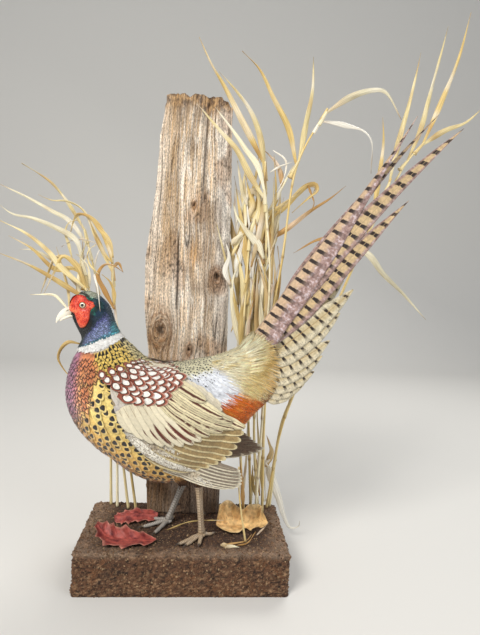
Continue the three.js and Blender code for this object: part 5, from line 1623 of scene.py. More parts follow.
def make_bill(name, rings, material, upper):
    """One half of the bill; the upper has a cutting edge, and a nostril under its hood."""
    rows, columns = 60, 56
    course = curve_through(rings, rows)
    angle = round_angles(columns)
    across = np.sign(np.cos(angle)) * np.abs(np.cos(angle)) ** 0.82
    height = np.sin(angle)
    height = np.where((height < 0) == upper, height * (0.9 if upper else 1.0), height)
    centre, up = (course[:, 0:2] + course[:, 2:4]) / 2, (course[:, 2:4] - course[:, 0:2]) / 2
    x = centre[:, :1] + up[:, :1] * height
    z = centre[:, 1:] + up[:, 1:] * height
    half = course[:, 4:] * across
    if upper:
        cutting_edge = np.exp(-((height + 0.72) / 0.16) ** 2)
        half = half + np.sign(half) * 0.35 * cutting_edge * smooth(np.linspace(1, 0, rows), 0, 0.25)[:, None]
        dx, dz = x - NOSTRIL[0], z - NOSTRIL[1]
        turned = (dx * 0.82 + dz * 0.57, -dx * 0.57 + dz * 0.82)
        slit = np.exp(-(turned[0] / 2.1) ** 2 - (turned[1] / 0.75) ** 2)
        hood = np.exp(-((turned[0] - 0.6) / 3.4) ** 2 - ((turned[1] - 1.5) / 1.5) ** 2)
        half = half + np.sign(half) * (0.75 * hood - 1.5 * slit)
    else:
        slit = np.zeros_like(x)
    root = smooth(np.linspace(1, 0, rows), 0.62, 1.0)[:, None, None]
    tint = mix(linear("#fbf5e4"), linear("#c9bca2"), root * 0.7)
    # The nostril's slit is painted dark brown: painted shade in its opening.
    tint = mix(np.broadcast_to(tint, x.shape + (4,)), linear("#4a3828"), (0.9 * slit)[..., None])
    if upper:
        tint = mix(tint, linear("#a8977c"), (0.35 * np.exp(-((height + 0.93) / 0.08) ** 2))[None, :, None])
    share = np.stack(np.broadcast_arrays(np.linspace(0, 1, rows)[:, None], angle / TAU), -1)
    make_mesh(name, np.stack([x, MIDPLANE - half, z], -1), grid_faces(rows, columns, wrap=True),
              caps=[cap[::-1] for cap in end_caps(rows, columns)], material=material,
              uvs={"OFBake": share * 0.9 + 0.05}, colours={"ground": tint},
              replaces=["bill_upper" if upper else "bill_lower"])


def make_head(finish):
    """Face, eyes and bill, and the short feathers round them."""
    face_material, eye_material, bill_material = make_face_material(), make_eye_material(), make_bill_material()
    for side in (LEFT, RIGHT):
        make_face(side, face_material)
        make_eye(side, eye_material)
    make_bill("upper_bill", UPPER_BILL, bill_material, True)
    make_bill("lower_bill", LOWER_BILL, bill_material, False)

    def ground(s, turn, grain):
        at = BODY.at(s * PER_STATION, turn / 360 * AROUND)
        colour = body_colour(s, turn, grain)
        near = on_face(at[:, 0], at[:, 2], 3.0)
        return np.where(near[:, None], mix(colour, linear("#0c1113"), 0.85), colour)

    bare = lambda s, turn: ~on_face(*(BODY.at(s * PER_STATION, turn / 360 * AROUND)[:, k] for k in (0, 2)), 0.4)
    body_tract("head_coat", (0.5, 5.7), (0, 180), (1.9, 1.9), bare, material=finish["head"], slot="neck_plumage",
               mark="ear", seed=65, length=lambda s, t: np.interp(s, [0.5, 2, 5], [3.2, 4.4, 6.5]),
               half=lambda s, t: np.interp(s, [0.5, 2, 5], [0.9, 1.2, 1.6]), lift=1.3, base=0.1, steps=4, cells=3,
               ground=ground, end=0.4, waist=0.5)
    tuft = lambda s, turn: ((s - 4.3) / 0.5) ** 2 + ((turn - 44) / 11) ** 2 < 1
    body_tract("ear_tufts", (3.7, 4.9), (30, 58), (1.7, 1.7), tuft, material=finish["head"], slot="neck_plumage",
               mark="ear", seed=66, length=13, half=1.0, lift=5.5, base=0.4, steps=5, cells=2, end=0.2,
               ground=lambda s, t, g: mix(np.broadcast_to(linear("#123038"), (len(s), 4)), linear("#2c5a5c"),
                                          np.clip(0.5 + g, 0, 1)[:, None]))


# ---------------------------------------------------------------------------------------------
# Legs: scaled shanks, toes with claws, spurs
# ---------------------------------------------------------------------------------------------

FLOOR = 65.35                # the level of the earth that the feet stand on
SCUTE = 4.2                  # spacing of the plates down the shank
LEG_TINT = {"left": ("#b59e80", "#5a4534"), "right": ("#a8a299", "#4b443d")}   # plates and seams


def make_leg_material():
    """Horny leg scales: hard smooth keratin plates, satin, with dust and wax in the joints."""
    material, tree, shader = new_material("waxed_leg_scales", Roughness=0.4)
    grained(tree, shader, speckle(tree, 900.0, 4.0), (0.7, 1.25), 0.3, 0.12)
    return material


def scale_relief(run, angle, front, girth):
    """Broad plates in two staggered rows down the front, small scales round the back: 0 in the seams."""
    off = (angle - front + math.pi) % TAU - math.pi
    plate_side = np.sign(off)
    beat = np.mod(run / SCUTE + 0.25 * plate_side, 1)
    plate = smooth(np.minimum(beat, 1 - beat), 0, 0.16) * smooth(np.abs(off), 0.02, 0.14)
    row = run / (SCUTE * 0.5)
    small_row = np.mod(row, 1)
    small_across = np.mod(off * girth / 2.1 + 0.5 * (np.floor(row) % 2), 1)
    small = smooth(np.minimum(small_row, 1 - small_row), 0, 0.25) * smooth(
        np.minimum(small_across, 1 - small_across), 0, 0.22)
    return np.where(np.abs(off) < 1.35, plate, small * smooth(np.abs(off), 1.35, 1.5))


def limb(route, radius, *, front, flat=0.9, rows, columns, relief_depth=0.45, scale_top=False, tints):
    """A scaled tube along a route: its points and its colours."""
    course = curve_through(route, rows)
    tangent = unit(np.gradient(course, axis=0))
    reference = np.array(front, float)
    ahead = unit(reference - np.sum(tangent * reference, -1, keepdims=True) * tangent)
    across = np.cross(tangent, ahead)
    run = run_along(course)
    angle = round_angles(columns)
    size = np.interp(np.linspace(0, 1, rows), *zip(*radius))
    seams = scale_relief(run[:, None], angle[None], 0.0, size[:, None])
    if scale_top:
        beat = np.mod(run[:, None] / 2.8, 1)
        top = smooth(np.minimum(beat, 1 - beat), 0, 0.2)
        seams = np.where(np.abs((angle + math.pi) % TAU - math.pi)[None] < 1.3, top, 0.6 + 0.4 * seams)
    reach = size[:, None] + relief_depth * (seams - 0.6)
    ring = ahead[:, None] * np.cos(angle)[None, :, None] + flat * across[:, None] * np.sin(angle)[None, :, None]
    points = course[:, None] + ring * reach[..., None]
    wear = noise(points, 6, 71, 2)[..., None]
    light, dark = linear(tints[0]), linear(tints[1])
    colour = mix(dark, mix(light, linear("#cbbfae"), np.clip(0.35 * wear + 0.1, 0, 1)), seams[..., None])
    return points, colour


def tube_piece(name, parts, material, replaces=(), grains=None):
    """One mesh of tubes, each a grid of points closed at both ends, with its colour.

    grains holds each tube's own map along its fibres, where the material reads one.
    """
    points, faces, caps, tints, bakes, start = [], [], [], [], [], 0
    for i, (grid, colour) in enumerate(parts):
        rows, columns = grid.shape[:2]
        points.append(grid.reshape(-1, 3))
        tints.append(np.broadcast_to(colour, (rows, columns, 4)).reshape(-1, 4))
        faces.append(grid_faces(rows, columns, wrap=True) + start)
        caps += end_caps(rows, columns, start)
        bakes.append(grid_shares(rows, columns).reshape(-1, 2) * [0.96, 0.9 / len(parts)] + [0.02, i / len(parts)])
        start += rows * columns
    uvs = {"OFBake": np.vstack(bakes)}
    if grains:
        uvs["grain"] = np.vstack([grain.reshape(-1, 2) for grain in grains])
    make_mesh(name, np.vstack(points), np.vstack(faces), material=material, caps=caps, uvs=uvs,
              colours={"ground": np.vstack(tints)}, replaces=replaces)


def claw(base, tip, radius, rise):
    """A curved claw as a tube of points with its colour: dark horn, paler at the root."""
    base, tip = np.array(base, float), np.array(tip, float)
    bow = (base + tip) / 2 + np.array([0, 0, rise])
    course = curve_through([base, bow, tip], 12)
    tangent = unit(np.gradient(course, axis=0))
    side = unit(np.cross(tangent, (0, 0, 1)))
    over = np.cross(side, tangent)
    angle, t = round_angles(12), np.linspace(0, 1, 12)
    size = radius * (1 - 0.9 * t ** 1.3)
    ring = side[:, None] * np.cos(angle)[None, :, None] * 0.85 + over[:, None] * np.sin(angle)[None, :, None]
    points = course[:, None] + ring * size[:, None, None]
    colour = mix(linear("#a08f7a"), linear("#3a3028"), smooth(t, 0, 0.6)[:, None])
    return points, colour[:, None]


def make_leg(word, leg, material):
    """One shank with its spur, and one foot: a pad, four toes and their claws."""
    ankle, joint = np.array(leg["ankle"], float), np.array(leg["joint"], float)
    fall = unit(joint - ankle)
    front = unit(np.array([-1.0, -0.35, 0.0]))
    tints = LEG_TINT[word]
    above = ankle - fall * 7
    shank = limb([above, ankle + fall * 3, mix(ankle, joint, 0.5), joint - fall * 6, joint + fall * 1.5],
                 [(0, 5.2), (0.09, ANKLE_RADIUS), (0.2, 5.3), (0.5, SHANK_RADIUS), (0.84, 4.6), (0.95, 5.8), (1, 5.0)],
                 front=front, rows=190, columns=40, tints=tints)
    start = mix(ankle, joint, 0.58)
    spur_way = np.array([0.75, 0.45 * leg["spur"], -0.35])
    spur = claw(start, start + spur_way * 12.5, 3.1, 1.2)
    tube_piece(f"scaled_shank_{word}", [shank, spur], material, [f"shank_{word}"])
    pad = np.array([joint[0], joint[1], FLOOR + 4.6])
    parts = []
    for tip, share, top_radius in [*((toe, 0.8, 3.5) for toe in leg["toes"]), (leg["hind"], 0.62, 3.0)]:
        end = np.array([tip[0], tip[1], FLOOR + 0.9])
        knuckle = mix(pad, end, share)
        knuckle[2] = FLOOR + 2.6
        middle = mix(pad, end, share * 0.5)
        middle[2] = FLOOR + 4.1
        profile = [(0, top_radius * 1.15), (0.22, top_radius * 0.86), (0.42, top_radius), (0.58, top_radius * 0.78),
                   (0.78, top_radius * 0.85), (1, top_radius * 0.62)]
        parts.append(limb([pad, mix(pad, middle, 0.5) + [0, 0, 0.6], middle, mix(middle, knuckle, 0.5) - [0, 0, 0.4],
                           knuckle], profile, front=(0, 0, 1), flat=0.95, rows=90, columns=24, relief_depth=0.4,
                          scale_top=True, tints=tints))
        parts.append(claw(mix(middle, knuckle, 0.94), end, top_radius * 0.55, 1.6))
    angle, polar = round_angles(28), np.linspace(0.05, math.pi - 0.05, 14)[:, None]
    lump = np.stack([pad[0] + 6.0 * np.sin(polar) * np.cos(angle), pad[1] + 6.0 * np.sin(polar) * np.sin(angle),
                     FLOOR + 4.2 + 4.0 * np.cos(polar) * np.ones_like(angle)], -1)
    parts.append((lump + 0.25 * noise(lump, 1.8, 72)[..., None], linear(tints[0])))
    for grid, _colour in parts:
        grid[..., 2] = np.maximum(grid[..., 2], FLOOR - 0.2)
    tube_piece(f"scaled_foot_{word}", parts, material, [f"foot_{word}"])


def make_legs():
    material = make_leg_material()
    for word, leg in LEGS.items():
        make_leg(word, leg, material)

# ---------------------------------------------------------------------------------------------
# Base and grit
# ---------------------------------------------------------------------------------------------

BASE_HALF = (160.0, 87.5)
BASE_HEIGHT = 65.0


def make_earth_material():
    """Sieved earth stuck on a block: dull, crumbly and dry, with fine grit that shows as specks."""
    material, tree, shader = new_material("glued_earth", Roughness=0.95)
    coords = add(tree, "ShaderNodeTexCoord").outputs["Object"]
    crumb = speckle(tree, 480.0, 6.0, Roughness=0.7)
    speck = add(tree, "ShaderNodeTexVoronoi", {"Vector": coords, "Scale": 520.0}).outputs["Distance"]
    height = add(tree, "ShaderNodeMath", {0: crumb, 1: speck}, operation="SUBTRACT").outputs["Value"]
    grained(tree, shader, crumb, (0.35, 1.75), 1.0, 1.2, reads=(0.3, 0.7), height=height)
    return material


def earth_colour(points):
    """Brown earth, redder in patches, with dust along the upper edge and round the rim of the top."""
    x, y, z = points[..., 0], points[..., 1], points[..., 2]
    near_rim = np.maximum(smooth(np.abs(x), 112, 152), smooth(-y, 52, 84))
    dust = smooth(z, 54, 64) * near_rim * smooth(noise(points, 26, 83, 2), -0.8, 0.2)
    colour = tinge(
        mix(linear("#5f412d"), linear("#744d30"), smooth(noise(points, 16, 81, 2), -0.2, 0.7)[..., None]),
        ("#423026", smooth(noise(points, 9, 82, 2), 0.1, 0.6) * 0.7),
        ("#1d140f", smooth(noise(points * [1, 1, 2.2], 4.4, 86, 2), 0.0, 0.4) * 0.85),
        ("#b08c68", smooth(noise(points * [1, 1, 2.0], 3.8, 87), 0.2, 0.7) * 0.6),
        ("#3d2c22", smooth(z, 58, 64) * (1 - near_rim) * 0.8),
        ("#8f7a66", 0.6 * dust))
    return colour * mix(1, 0.82, smooth(z, 10, 0))[..., None]


def make_base(material):
    """The block with its crumbly skin of earth, closed underneath."""
    half_x, half_y = BASE_HALF
    corner, rounding, columns = 6.0, 3.5, 480
    arcs = []
    for sign_x, sign_y, start in ((1, -1, -90), (1, 1, 0), (-1, 1, 90), (-1, -1, 180)):
        turn = np.radians(start + np.linspace(0, 90, 12))
        arcs.append(np.stack([sign_x * (half_x - corner) + corner * np.cos(turn),
                              sign_y * (half_y - corner) + corner * np.sin(turn)], -1))
    outline = np.vstack([*arcs, arcs[0][:1]])
    run = run_along(outline)
    at = np.linspace(0, run[-1], columns, endpoint=False)
    ring = np.stack([np.interp(at, run, outline[:, k]) for k in (0, 1)], -1)
    side_top = BASE_HEIGHT - rounding
    profile = [(0, z) for z in np.linspace(0, side_top, 34)]
    profile += [(rounding - rounding * math.cos(a), side_top + rounding * math.sin(a))
                for a in np.linspace(0, math.pi / 2, 7)[1:]]
    profile += [(o, BASE_HEIGHT) for o in np.linspace(5.5, half_y - 1.0, 44)]
    profile = np.array(profile)
    inset, level = profile[:, 0, None], profile[:, 1, None]
    shrink = np.stack([(half_x - inset) / half_x, (half_y - inset) / half_y], -1)
    points = np.concatenate([ring[None] * shrink, np.broadcast_to(level[..., None], (len(profile), columns, 1))], -1)
    across = unit(np.gradient(ring, axis=0))
    side_out = np.stack([across[:, 1], -across[:, 0], np.zeros(columns)], -1)
    face_up = smooth(level, BASE_HEIGHT - 3.6, BASE_HEIGHT)[..., None]
    out = unit(side_out[None] * (1 - face_up) + np.array([0, 0, 1.0]) * face_up)
    lumps = 1.2 * noise(points, 7, 84, 2) + 1.7 * noise(points * [1, 1, 1.6], 3.4, 85) - 0.9
    lumps *= smooth(level, 0, 5) * 0.8 + 0.2
    points = points + out * np.minimum(lumps, 0.9)[..., None]
    points[0, :, 2] = 0
    bake = np.stack([0.5 + points[..., 0] / 360 * (1 - inset / 400), 0.5 + points[..., 1] / 360], -1)
    return make_mesh("earth_block", points, grid_faces(len(points), columns, wrap=True), material=material,
                     uvs={"OFBake": bake}, colours={"ground": earth_colour(points)},
                     replaces=["base"], caps=end_caps(len(points), columns))


GRIT_TONES = ["#3f2e22", "#5e4430", "#6e5038", "#7f6146", "#54402f", "#a58a68"]


def make_grit_material():
    """Loose crumbs of earth and bark: matt, each crumb darker or paler than its neighbour."""
    material, tree, shader = new_material("loose_grit", Roughness=0.95)
    grade = add(tree, "ShaderNodeAttribute", attribute_name="shade").outputs["Fac"]
    stops = [(i / (len(GRIT_TONES) - 1), linear(tone)) for i, tone in enumerate(GRIT_TONES)]
    tone = add(tree, "ShaderNodeValToRGB", {"Fac": grade}, stops)
    tree.links.new(tone.outputs["Color"], shader.inputs["Base Color"])
    return material


def make_grit(block, material):
    """Crumbs strewn over the block: points on its faces, a small lump on each, made into one mesh."""
    tree = bpy.data.node_groups.new("strewn_grit", "GeometryNodeTree")
    for way, kind, name in (("INPUT", "Geometry", "Ground"), ("INPUT", "Float", "Crumbs per area"),
                            ("INPUT", "Float", "Smallest crumb"), ("INPUT", "Float", "Largest crumb"),
                            ("INPUT", "Int", "Strewing seed"), ("OUTPUT", "Geometry", "Grit")):
        tree.interface.new_socket(name=name, in_out=way, socket_type="NodeSocket" + kind)
    start = add(tree, "NodeGroupInput").outputs
    strewn = add(tree, "GeometryNodeDistributePointsOnFaces", {
        "Mesh": start["Ground"], "Density": start["Crumbs per area"], "Seed": start["Strewing seed"]})
    size = add(tree, "FunctionNodeRandomValue", {2: start["Smallest crumb"], 3: start["Largest crumb"],
                                                 "Seed": start["Strewing seed"]}, data_type="FLOAT").outputs[1]
    turn = add(tree, "FunctionNodeRandomValue", {0: (0, 0, 0), 1: (TAU, TAU, TAU)}, data_type="FLOAT_VECTOR").outputs[0]
    squash = add(tree, "ShaderNodeCombineXYZ", {"X": 1.25, "Y": 1.0, "Z": 0.7}).outputs[0]
    scale = add(tree, "ShaderNodeVectorMath", {0: squash, "Scale": size}, operation="SCALE").outputs["Vector"]
    lump = add(tree, "GeometryNodeMeshIcoSphere", {"Radius": 1.0, "Subdivisions": 1}).outputs["Mesh"]
    placed = add(tree, "GeometryNodeInstanceOnPoints", {
        "Points": strewn.outputs["Points"], "Instance": lump, "Rotation": turn, "Scale": scale}).outputs["Instances"]
    grade = add(tree, "FunctionNodeRandomValue", {2: 0.0, 3: 1.0, "Seed": 5}, data_type="FLOAT").outputs[1]
    marked = add(tree, "GeometryNodeStoreNamedAttribute", {"Geometry": placed, "Name": "shade", "Value": grade},
                 domain="INSTANCE", data_type="FLOAT").outputs["Geometry"]
    solid = add(tree, "GeometryNodeRealizeInstances", {"Geometry": marked}).outputs["Geometry"]
    dressed = add(tree, "GeometryNodeSetMaterial", {"Geometry": solid, "Material": material}).outputs["Geometry"]
    add(tree, "NodeGroupOutput", {"Grit": dressed})
    modifier = block.modifiers.new("strew", "NODES")
    modifier.node_group = tree
    chosen = {"Crumbs per area": 51500.0, "Smallest crumb": 0.4 * MM, "Largest crumb": 1.65 * MM, "Strewing seed": 12}
    for socket in tree.interface.items_tree:
        if socket.name in chosen:
            modifier[socket.identifier] = chosen[socket.name]
    graph = bpy.context.evaluated_depsgraph_get()
    mesh = bpy.data.meshes.new_from_object(block.evaluated_get(graph), depsgraph=graph)
    block.modifiers.remove(modifier)
    mesh.name = "grit"
    places = np.empty(len(mesh.vertices) * 3, np.float32)
    mesh.vertices.foreach_get("co", places)
    places[2::3] = np.maximum(places[2::3], 0)
    mesh.vertices.foreach_set("co", places)
    mesh.materials.clear()
    mesh.materials.append(material)
    piece = bpy.data.objects.new("grit", mesh)
    bpy.context.scene.collection.objects.link(piece)
    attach(piece, "root")


# ---------------------------------------------------------------------------------------------
# Post
# ---------------------------------------------------------------------------------------------

POST_FRONT, POST_BACK = 46.0, 84.0
# height, left side, right side
POST_SIDES = [(65.35, -66, 56), (105, -69, 56.5), (215, -74, 57), (300, -73, 57.5), (344, -73, 58), (377, -77, 58),
              (420, -82, 57), (509, -83, 55), (607, -71, 54), (678, -67, 51), (702, -66.5, 50.5), (731, -62, 48.5),
              (752, -58, 47.5)]
POST_TOP = [(-90, 740), (-62, 752), (-57.9, 761), (-40, 762.5), (-29, 765), (-21, 757.7), (-13, 764.5), (0, 764),
            (8, 760), (17.7, 762), (30.7, 761.5), (38, 755), (46, 750), (60, 742)]
POST_FOOT, POST_RISE = 65.35, 690.0     # where it leaves the earth, and how far its sides are drawn from there
CORNER_ROUNDING = 2.6
CAP_MIDDLE = 757.0                      # the level of the middle of its broken top
KNOTS = [((-54.9, 378), 13.0), ((35.8, 470.4), 7.0), ((-7.3, 588), 3.2), ((-6, 348), 4.5)]   # place and radius


def round_knots(x, y, z):
    """The place across the grain, with the fibres flowing round the knots of the front face."""
    flow, rings = x, np.full(x.shape, 9.0)
    front = smooth(y, POST_FRONT + 12, POST_FRONT + 2)
    for (knot_x, knot_z), radius in KNOTS:
        dx, dz = x - knot_x, (z - knot_z) / 1.7
        reach = dx * dx + dz * dz
        flow = flow - front * dx * (1.15 * radius) ** 2 / (reach + 0.35 * radius ** 2)
        rings = np.minimum(rings, np.where(front > 0.2, np.sqrt(reach) / radius, 9))
    return flow, rings


def make_wood_material():
    """Weathered wood: grey dry fibres standing proud, dark checks between them, tan where it is fresh."""
    material, tree, shader = new_material("weathered_oak", Roughness=0.88)
    along = add(tree, "ShaderNodeUVMap", uv_map="grain").outputs["UV"]
    fibre = add(tree, "ShaderNodeMapping", {"Vector": along, "Scale": (1.0, 0.03, 1.0)}).outputs["Vector"]
    fine = add(tree, "ShaderNodeTexNoise", {"Vector": fibre, "Scale": 1.3, "Detail": 6.0, "Roughness": 0.65})
    broad = add(tree, "ShaderNodeTexNoise", {"Vector": fibre, "Scale": 0.35, "Detail": 4.0, "Distortion": 0.6})
    short = add(tree, "ShaderNodeMapping", {"Vector": along, "Scale": (1.0, 0.3, 1.0)}).outputs["Vector"]
    crumbs = add(tree, "ShaderNodeTexNoise", {"Vector": short, "Scale": 0.7, "Detail": 6.0, "Roughness": 0.75})
    both = add(tree, "ShaderNodeMath", {0: fine.outputs["Fac"], 1: broad.outputs["Fac"]}, operation="ADD")
    every = add(tree, "ShaderNodeMath", {0: crumbs.outputs["Fac"], 1: 2.2, 2: both.outputs["Value"]},
                operation="MULTIPLY_ADD").outputs["Value"]
    grained(tree, shader, every, (0.2, 1.9), 0.9, 1.2, reads=(1.7, 2.45))
    return material


def post_form():
    """The sawn post before its wear: a grid up its four faces, and which way each place looks."""
    rows, counts = 237, (250, 34, 80, 34)          # columns on the front, right, back and left face
    level = np.linspace(0, 1, rows)
    heights, *sides = zip(*POST_SIDES)
    left, right = (np.interp(POST_FOOT + level * POST_RISE, heights, side)[:, None] for side in sides)
    u = [np.arange(count) / count for count in counts]
    depth = POST_BACK - POST_FRONT
    x = np.hstack([mix(left, right, u[0]), right + 0 * u[1], mix(right, left, u[2]), left + 0 * u[3]])
    y = np.hstack([POST_FRONT + 0 * u[0], POST_FRONT + depth * u[1], POST_BACK + 0 * u[2], POST_BACK - depth * u[3]])
    y = np.broadcast_to(y, x.shape)
    top = np.interp(x, *zip(*POST_TOP)) - 0.12 * (y - POST_FRONT)
    splinter = np.stack([x / 3.4, y / 3.4, 0 * x], -1)
    top = top + 3.2 * noise(splinter, 1.0, 91) * smooth(noise(splinter, 5.0, 92), -0.6, 0.4)
    z = POST_FOOT + (top - POST_FOOT) * level[:, None]
    centre = (left + right) / 2
    out_x, out_y = x - centre, y - (POST_FRONT + depth / 2)
    corner = smooth(np.abs(out_x) / (right - left) * 2, 0.86, 1.0) * smooth(np.abs(out_y) / depth * 2, 0.75, 1.0)
    x = x - np.sign(out_x) * CORNER_ROUNDING * corner
    y = y - np.sign(out_y) * CORNER_ROUNDING * corner
    normal = unit(np.stack([
        np.where(np.abs(out_y) < depth / 2 - 0.1, np.sign(out_x), 0.35 * np.sign(out_x) * corner),
        np.where(np.abs(out_y) > depth / 2 - 0.1, np.sign(out_y), 0.35 * np.sign(out_y) * corner), 0 * x], -1))
    return x, y, z, normal, level, centre[-1]


def close_top(rim, centre):
    """Rings that close the broken top of the post from its rim towards its middle."""
    middle = np.stack([centre + 0 * rim[:, 0], 0 * rim[:, 0] + (POST_FRONT + POST_BACK) / 2], -1)
    rings = []
    for share in np.linspace(0.1, 0.97, 9):
        flat = mix(rim[:, :2], middle, share)
        fall = 7 * smooth(share, 0, 0.25) + 5 * noise(np.column_stack([flat, 0 * rim[:, 0]]), 4.5, 99, 2)
        rings.append(np.column_stack([flat, mix(rim[:, 2], CAP_MIDDLE, smooth(share, 0, 0.9)) - fall]))
    return np.array(rings)


def make_post():
    """The old fence post: a squared stake, its face swollen on the left, its head broken off.

    Each feature of the wood is worked out once, as a strength from 0 to 1 over the faces, for the
    relief that it gives and for the colour.
    """
    x, y, z, normal, level, centre = post_form()
    place = np.stack([x, y, z], -1)
    across, rings = round_knots(x, y, z)
    rings = rings + 0.3 * noise(place, 5, 104, 2)
    wander = 5 * noise(np.stack([x / 60, y / 60, z / 90], -1), 1.0, 93, 2)
    grain = np.stack([across + wander, y, z * 0.045], -1)
    front = smooth(-normal[..., 1], 0.3, 0.9)
    fibres = 1 - 2 * np.abs(noise(grain, 2.3, 94, 2))
    flutes = noise(grain * [1, 1, 0.5], 11, 95, 2)
    split = 1 - smooth(np.abs(noise(grain * [1, 1, 1.3], 8.5, 96)), 0.0, 0.085)
    split = split * smooth(noise(grain * [1, 1, 2.2], 17, 97), -0.25, 0.3)
    seam = front * np.exp(-((x + 30 + 0.018 * (z - 480) + wander * 0.5) / 1.5) ** 2) * smooth(z, 400, 430)
    seam = seam * smooth(z, 560, 520)
    right_seam = front * np.exp(-((x - 7 - 0.03 * (z - 640)) / 1.7) ** 2) * smooth(z, 560, 620)
    cross_grain = 1 - smooth(np.abs(noise(np.stack([x / 1.6, y, z * 1.1], -1), 8.5, 105, 2)), 0.0, 0.09)
    brittle = noise(np.stack([x, y, z / 1.6], -1), 36, 106, 2) + 0.012 * (x - 5) * smooth(z, 520, 600)
    brittle = smooth(brittle, 0.1, 0.45)
    crazed = cross_grain * brittle * front
    beat = rings * 14 + 3 * noise(grain, 8, 103)

    relief = 0.8 * fibres + 1.4 * flutes - 3.0 * split - 2.6 * seam - 1.8 * right_seam - 0.4
    relief = relief + 6.5 * np.exp(-((x + 56) / 24) ** 2 - ((z - 378) / 44) ** 2) * front       # the swelling
    relief = relief + np.exp(-((rings - 0.95) / 0.3) ** 2) * 2.2 - np.exp(-(rings / 0.5) ** 2) * 3.6
    relief = relief + 1.1 * np.cos(beat) * smooth(rings, 2.4, 1.0)
    relief = relief - 1.1 * crazed + 0.9 * brittle * noise(place, 3.2, 107)
    torn = smooth(level, 0.955, 1.0)[:, None] * noise(grain * [1, 1, 8], 4, 98)
    points = place + normal * (relief + 2.2 * torn)[..., None]
    points[0, :, 2] = BASE_HEIGHT
    head = close_top(points[-1], centre)
    points = np.concatenate([points, head])
    rows, columns = points.shape[:2]

    warm = smooth(noise(grain * [1, 1, 0.7], 24, 100, 2), -0.25, 0.5)
    stain = smooth(noise(np.stack([x, y, z / 2.2], -1), 26, 109, 3) + 0.25 * smooth(x, -5, 45), 0.05, 0.5) * front
    ochre = np.exp(-((x + 5) / 13) ** 2 - ((z - 505) / 24) ** 2) * front * (0.6 + 0.4 * noise(grain, 5, 110))
    bleached = np.exp(-((x + 45) / 22) ** 2 - ((z - 440) / 55) ** 2) * front
    fresh = smooth(z + 9 * noise(grain * [1, 1, 4], 9, 101, 2) + 5 * np.sin(x / 13), 731, 752)
    colour = tinge(
        np.broadcast_to(linear("#d8d0c5"), x.shape + (4,)),
        ("#c4a070", 0.7 * warm),
        ("#f1e9dc", smooth(fibres, 0.4, 0.9) * 0.7),
        ("#7d6750", smooth(flutes, 0.0, -0.6) * 0.5),
        ("#a67643", brittle * 0.45),
        ("#77624e", stain * 0.5),
        ("#c98f3f", ochre * 0.7),
        ("#f3ede2", bleached * 0.5),
        ("#c39b66", smooth(x, -34, -44) * 0.3),
        # Painted shade: darker brown towards the foot of the post, below the bird.
        ("#6a4c2f", smooth(z, 250, 150) * 0.8),
        ("#7a5430", smooth(rings, 2.6, 1.0) * (0.2 + 0.6 * (0.5 + 0.5 * np.cos(beat)))),
        ("#3a2819", smooth(rings, 0.5, 0.2) * 0.8),
        ("#2b211a", np.clip(split * 0.9 + seam + 0.8 * right_seam + 0.8 * crazed, 0, 1) * 0.9))
    broken = mix(linear("#59402a"), linear("#b58f60"), smooth(noise(place, 4.5, 108, 2), -0.3, 0.3)[..., None])
    colour = mix(colour, broken, fresh[..., None] * 0.75)
    head_colour = mix(linear("#7c5733"), linear("#b99468"), smooth(noise(head, 3, 102, 2), -0.4, 0.5)[..., None])
    flow = np.concatenate([np.stack([across + wander + (y - POST_FRONT) * (normal[..., 0] ** 2), z], -1),
                           np.stack([head[..., 0], head[..., 1] * 8], -1)])
    make_mesh("split_post", points, grid_faces(rows, columns, wrap=True), material=make_wood_material(),
              uvs={"OFBake": grid_shares(rows, columns)[..., ::-1] * 0.98 + 0.01, "grain": flow},
              colours={"ground": np.concatenate([colour, head_colour])}, replaces=["post"],
              caps=end_caps(rows, columns))


# ---------------------------------------------------------------------------------------------
# Fallen leaves
# ---------------------------------------------------------------------------------------------

def make_leaf_material(name, vein, roughness):
    """A dead oak leaf: thin leathery sheet, paler veins, spots of decay, dry sheen on the ridges."""
    material, tree, shader = new_material(name, Roughness=roughness)
    coords = add(tree, "ShaderNodeTexCoord").outputs["Object"]
    net = add(tree, "ShaderNodeTexVoronoi", {"Vector": coords, "Scale": 420.0}, feature="DISTANCE_TO_EDGE")
    net = net.outputs["Distance"]
    tone = grained(tree, shader, speckle(tree, 160.0, 5.0), (0.68, 1.3), 0.35, 0.25, reads=(0.3, 0.7), height=net)
    thread = add(tree, "ShaderNodeMapRange", {"Value": net, "From Max": 0.06, "To Min": 0.35, "To Max": 0.0})
    veined = marked(tree, tone, linear(vein), (thread.outputs["Result"],))
    tree.links.new(veined, shader.inputs["Base Color"])
    return material


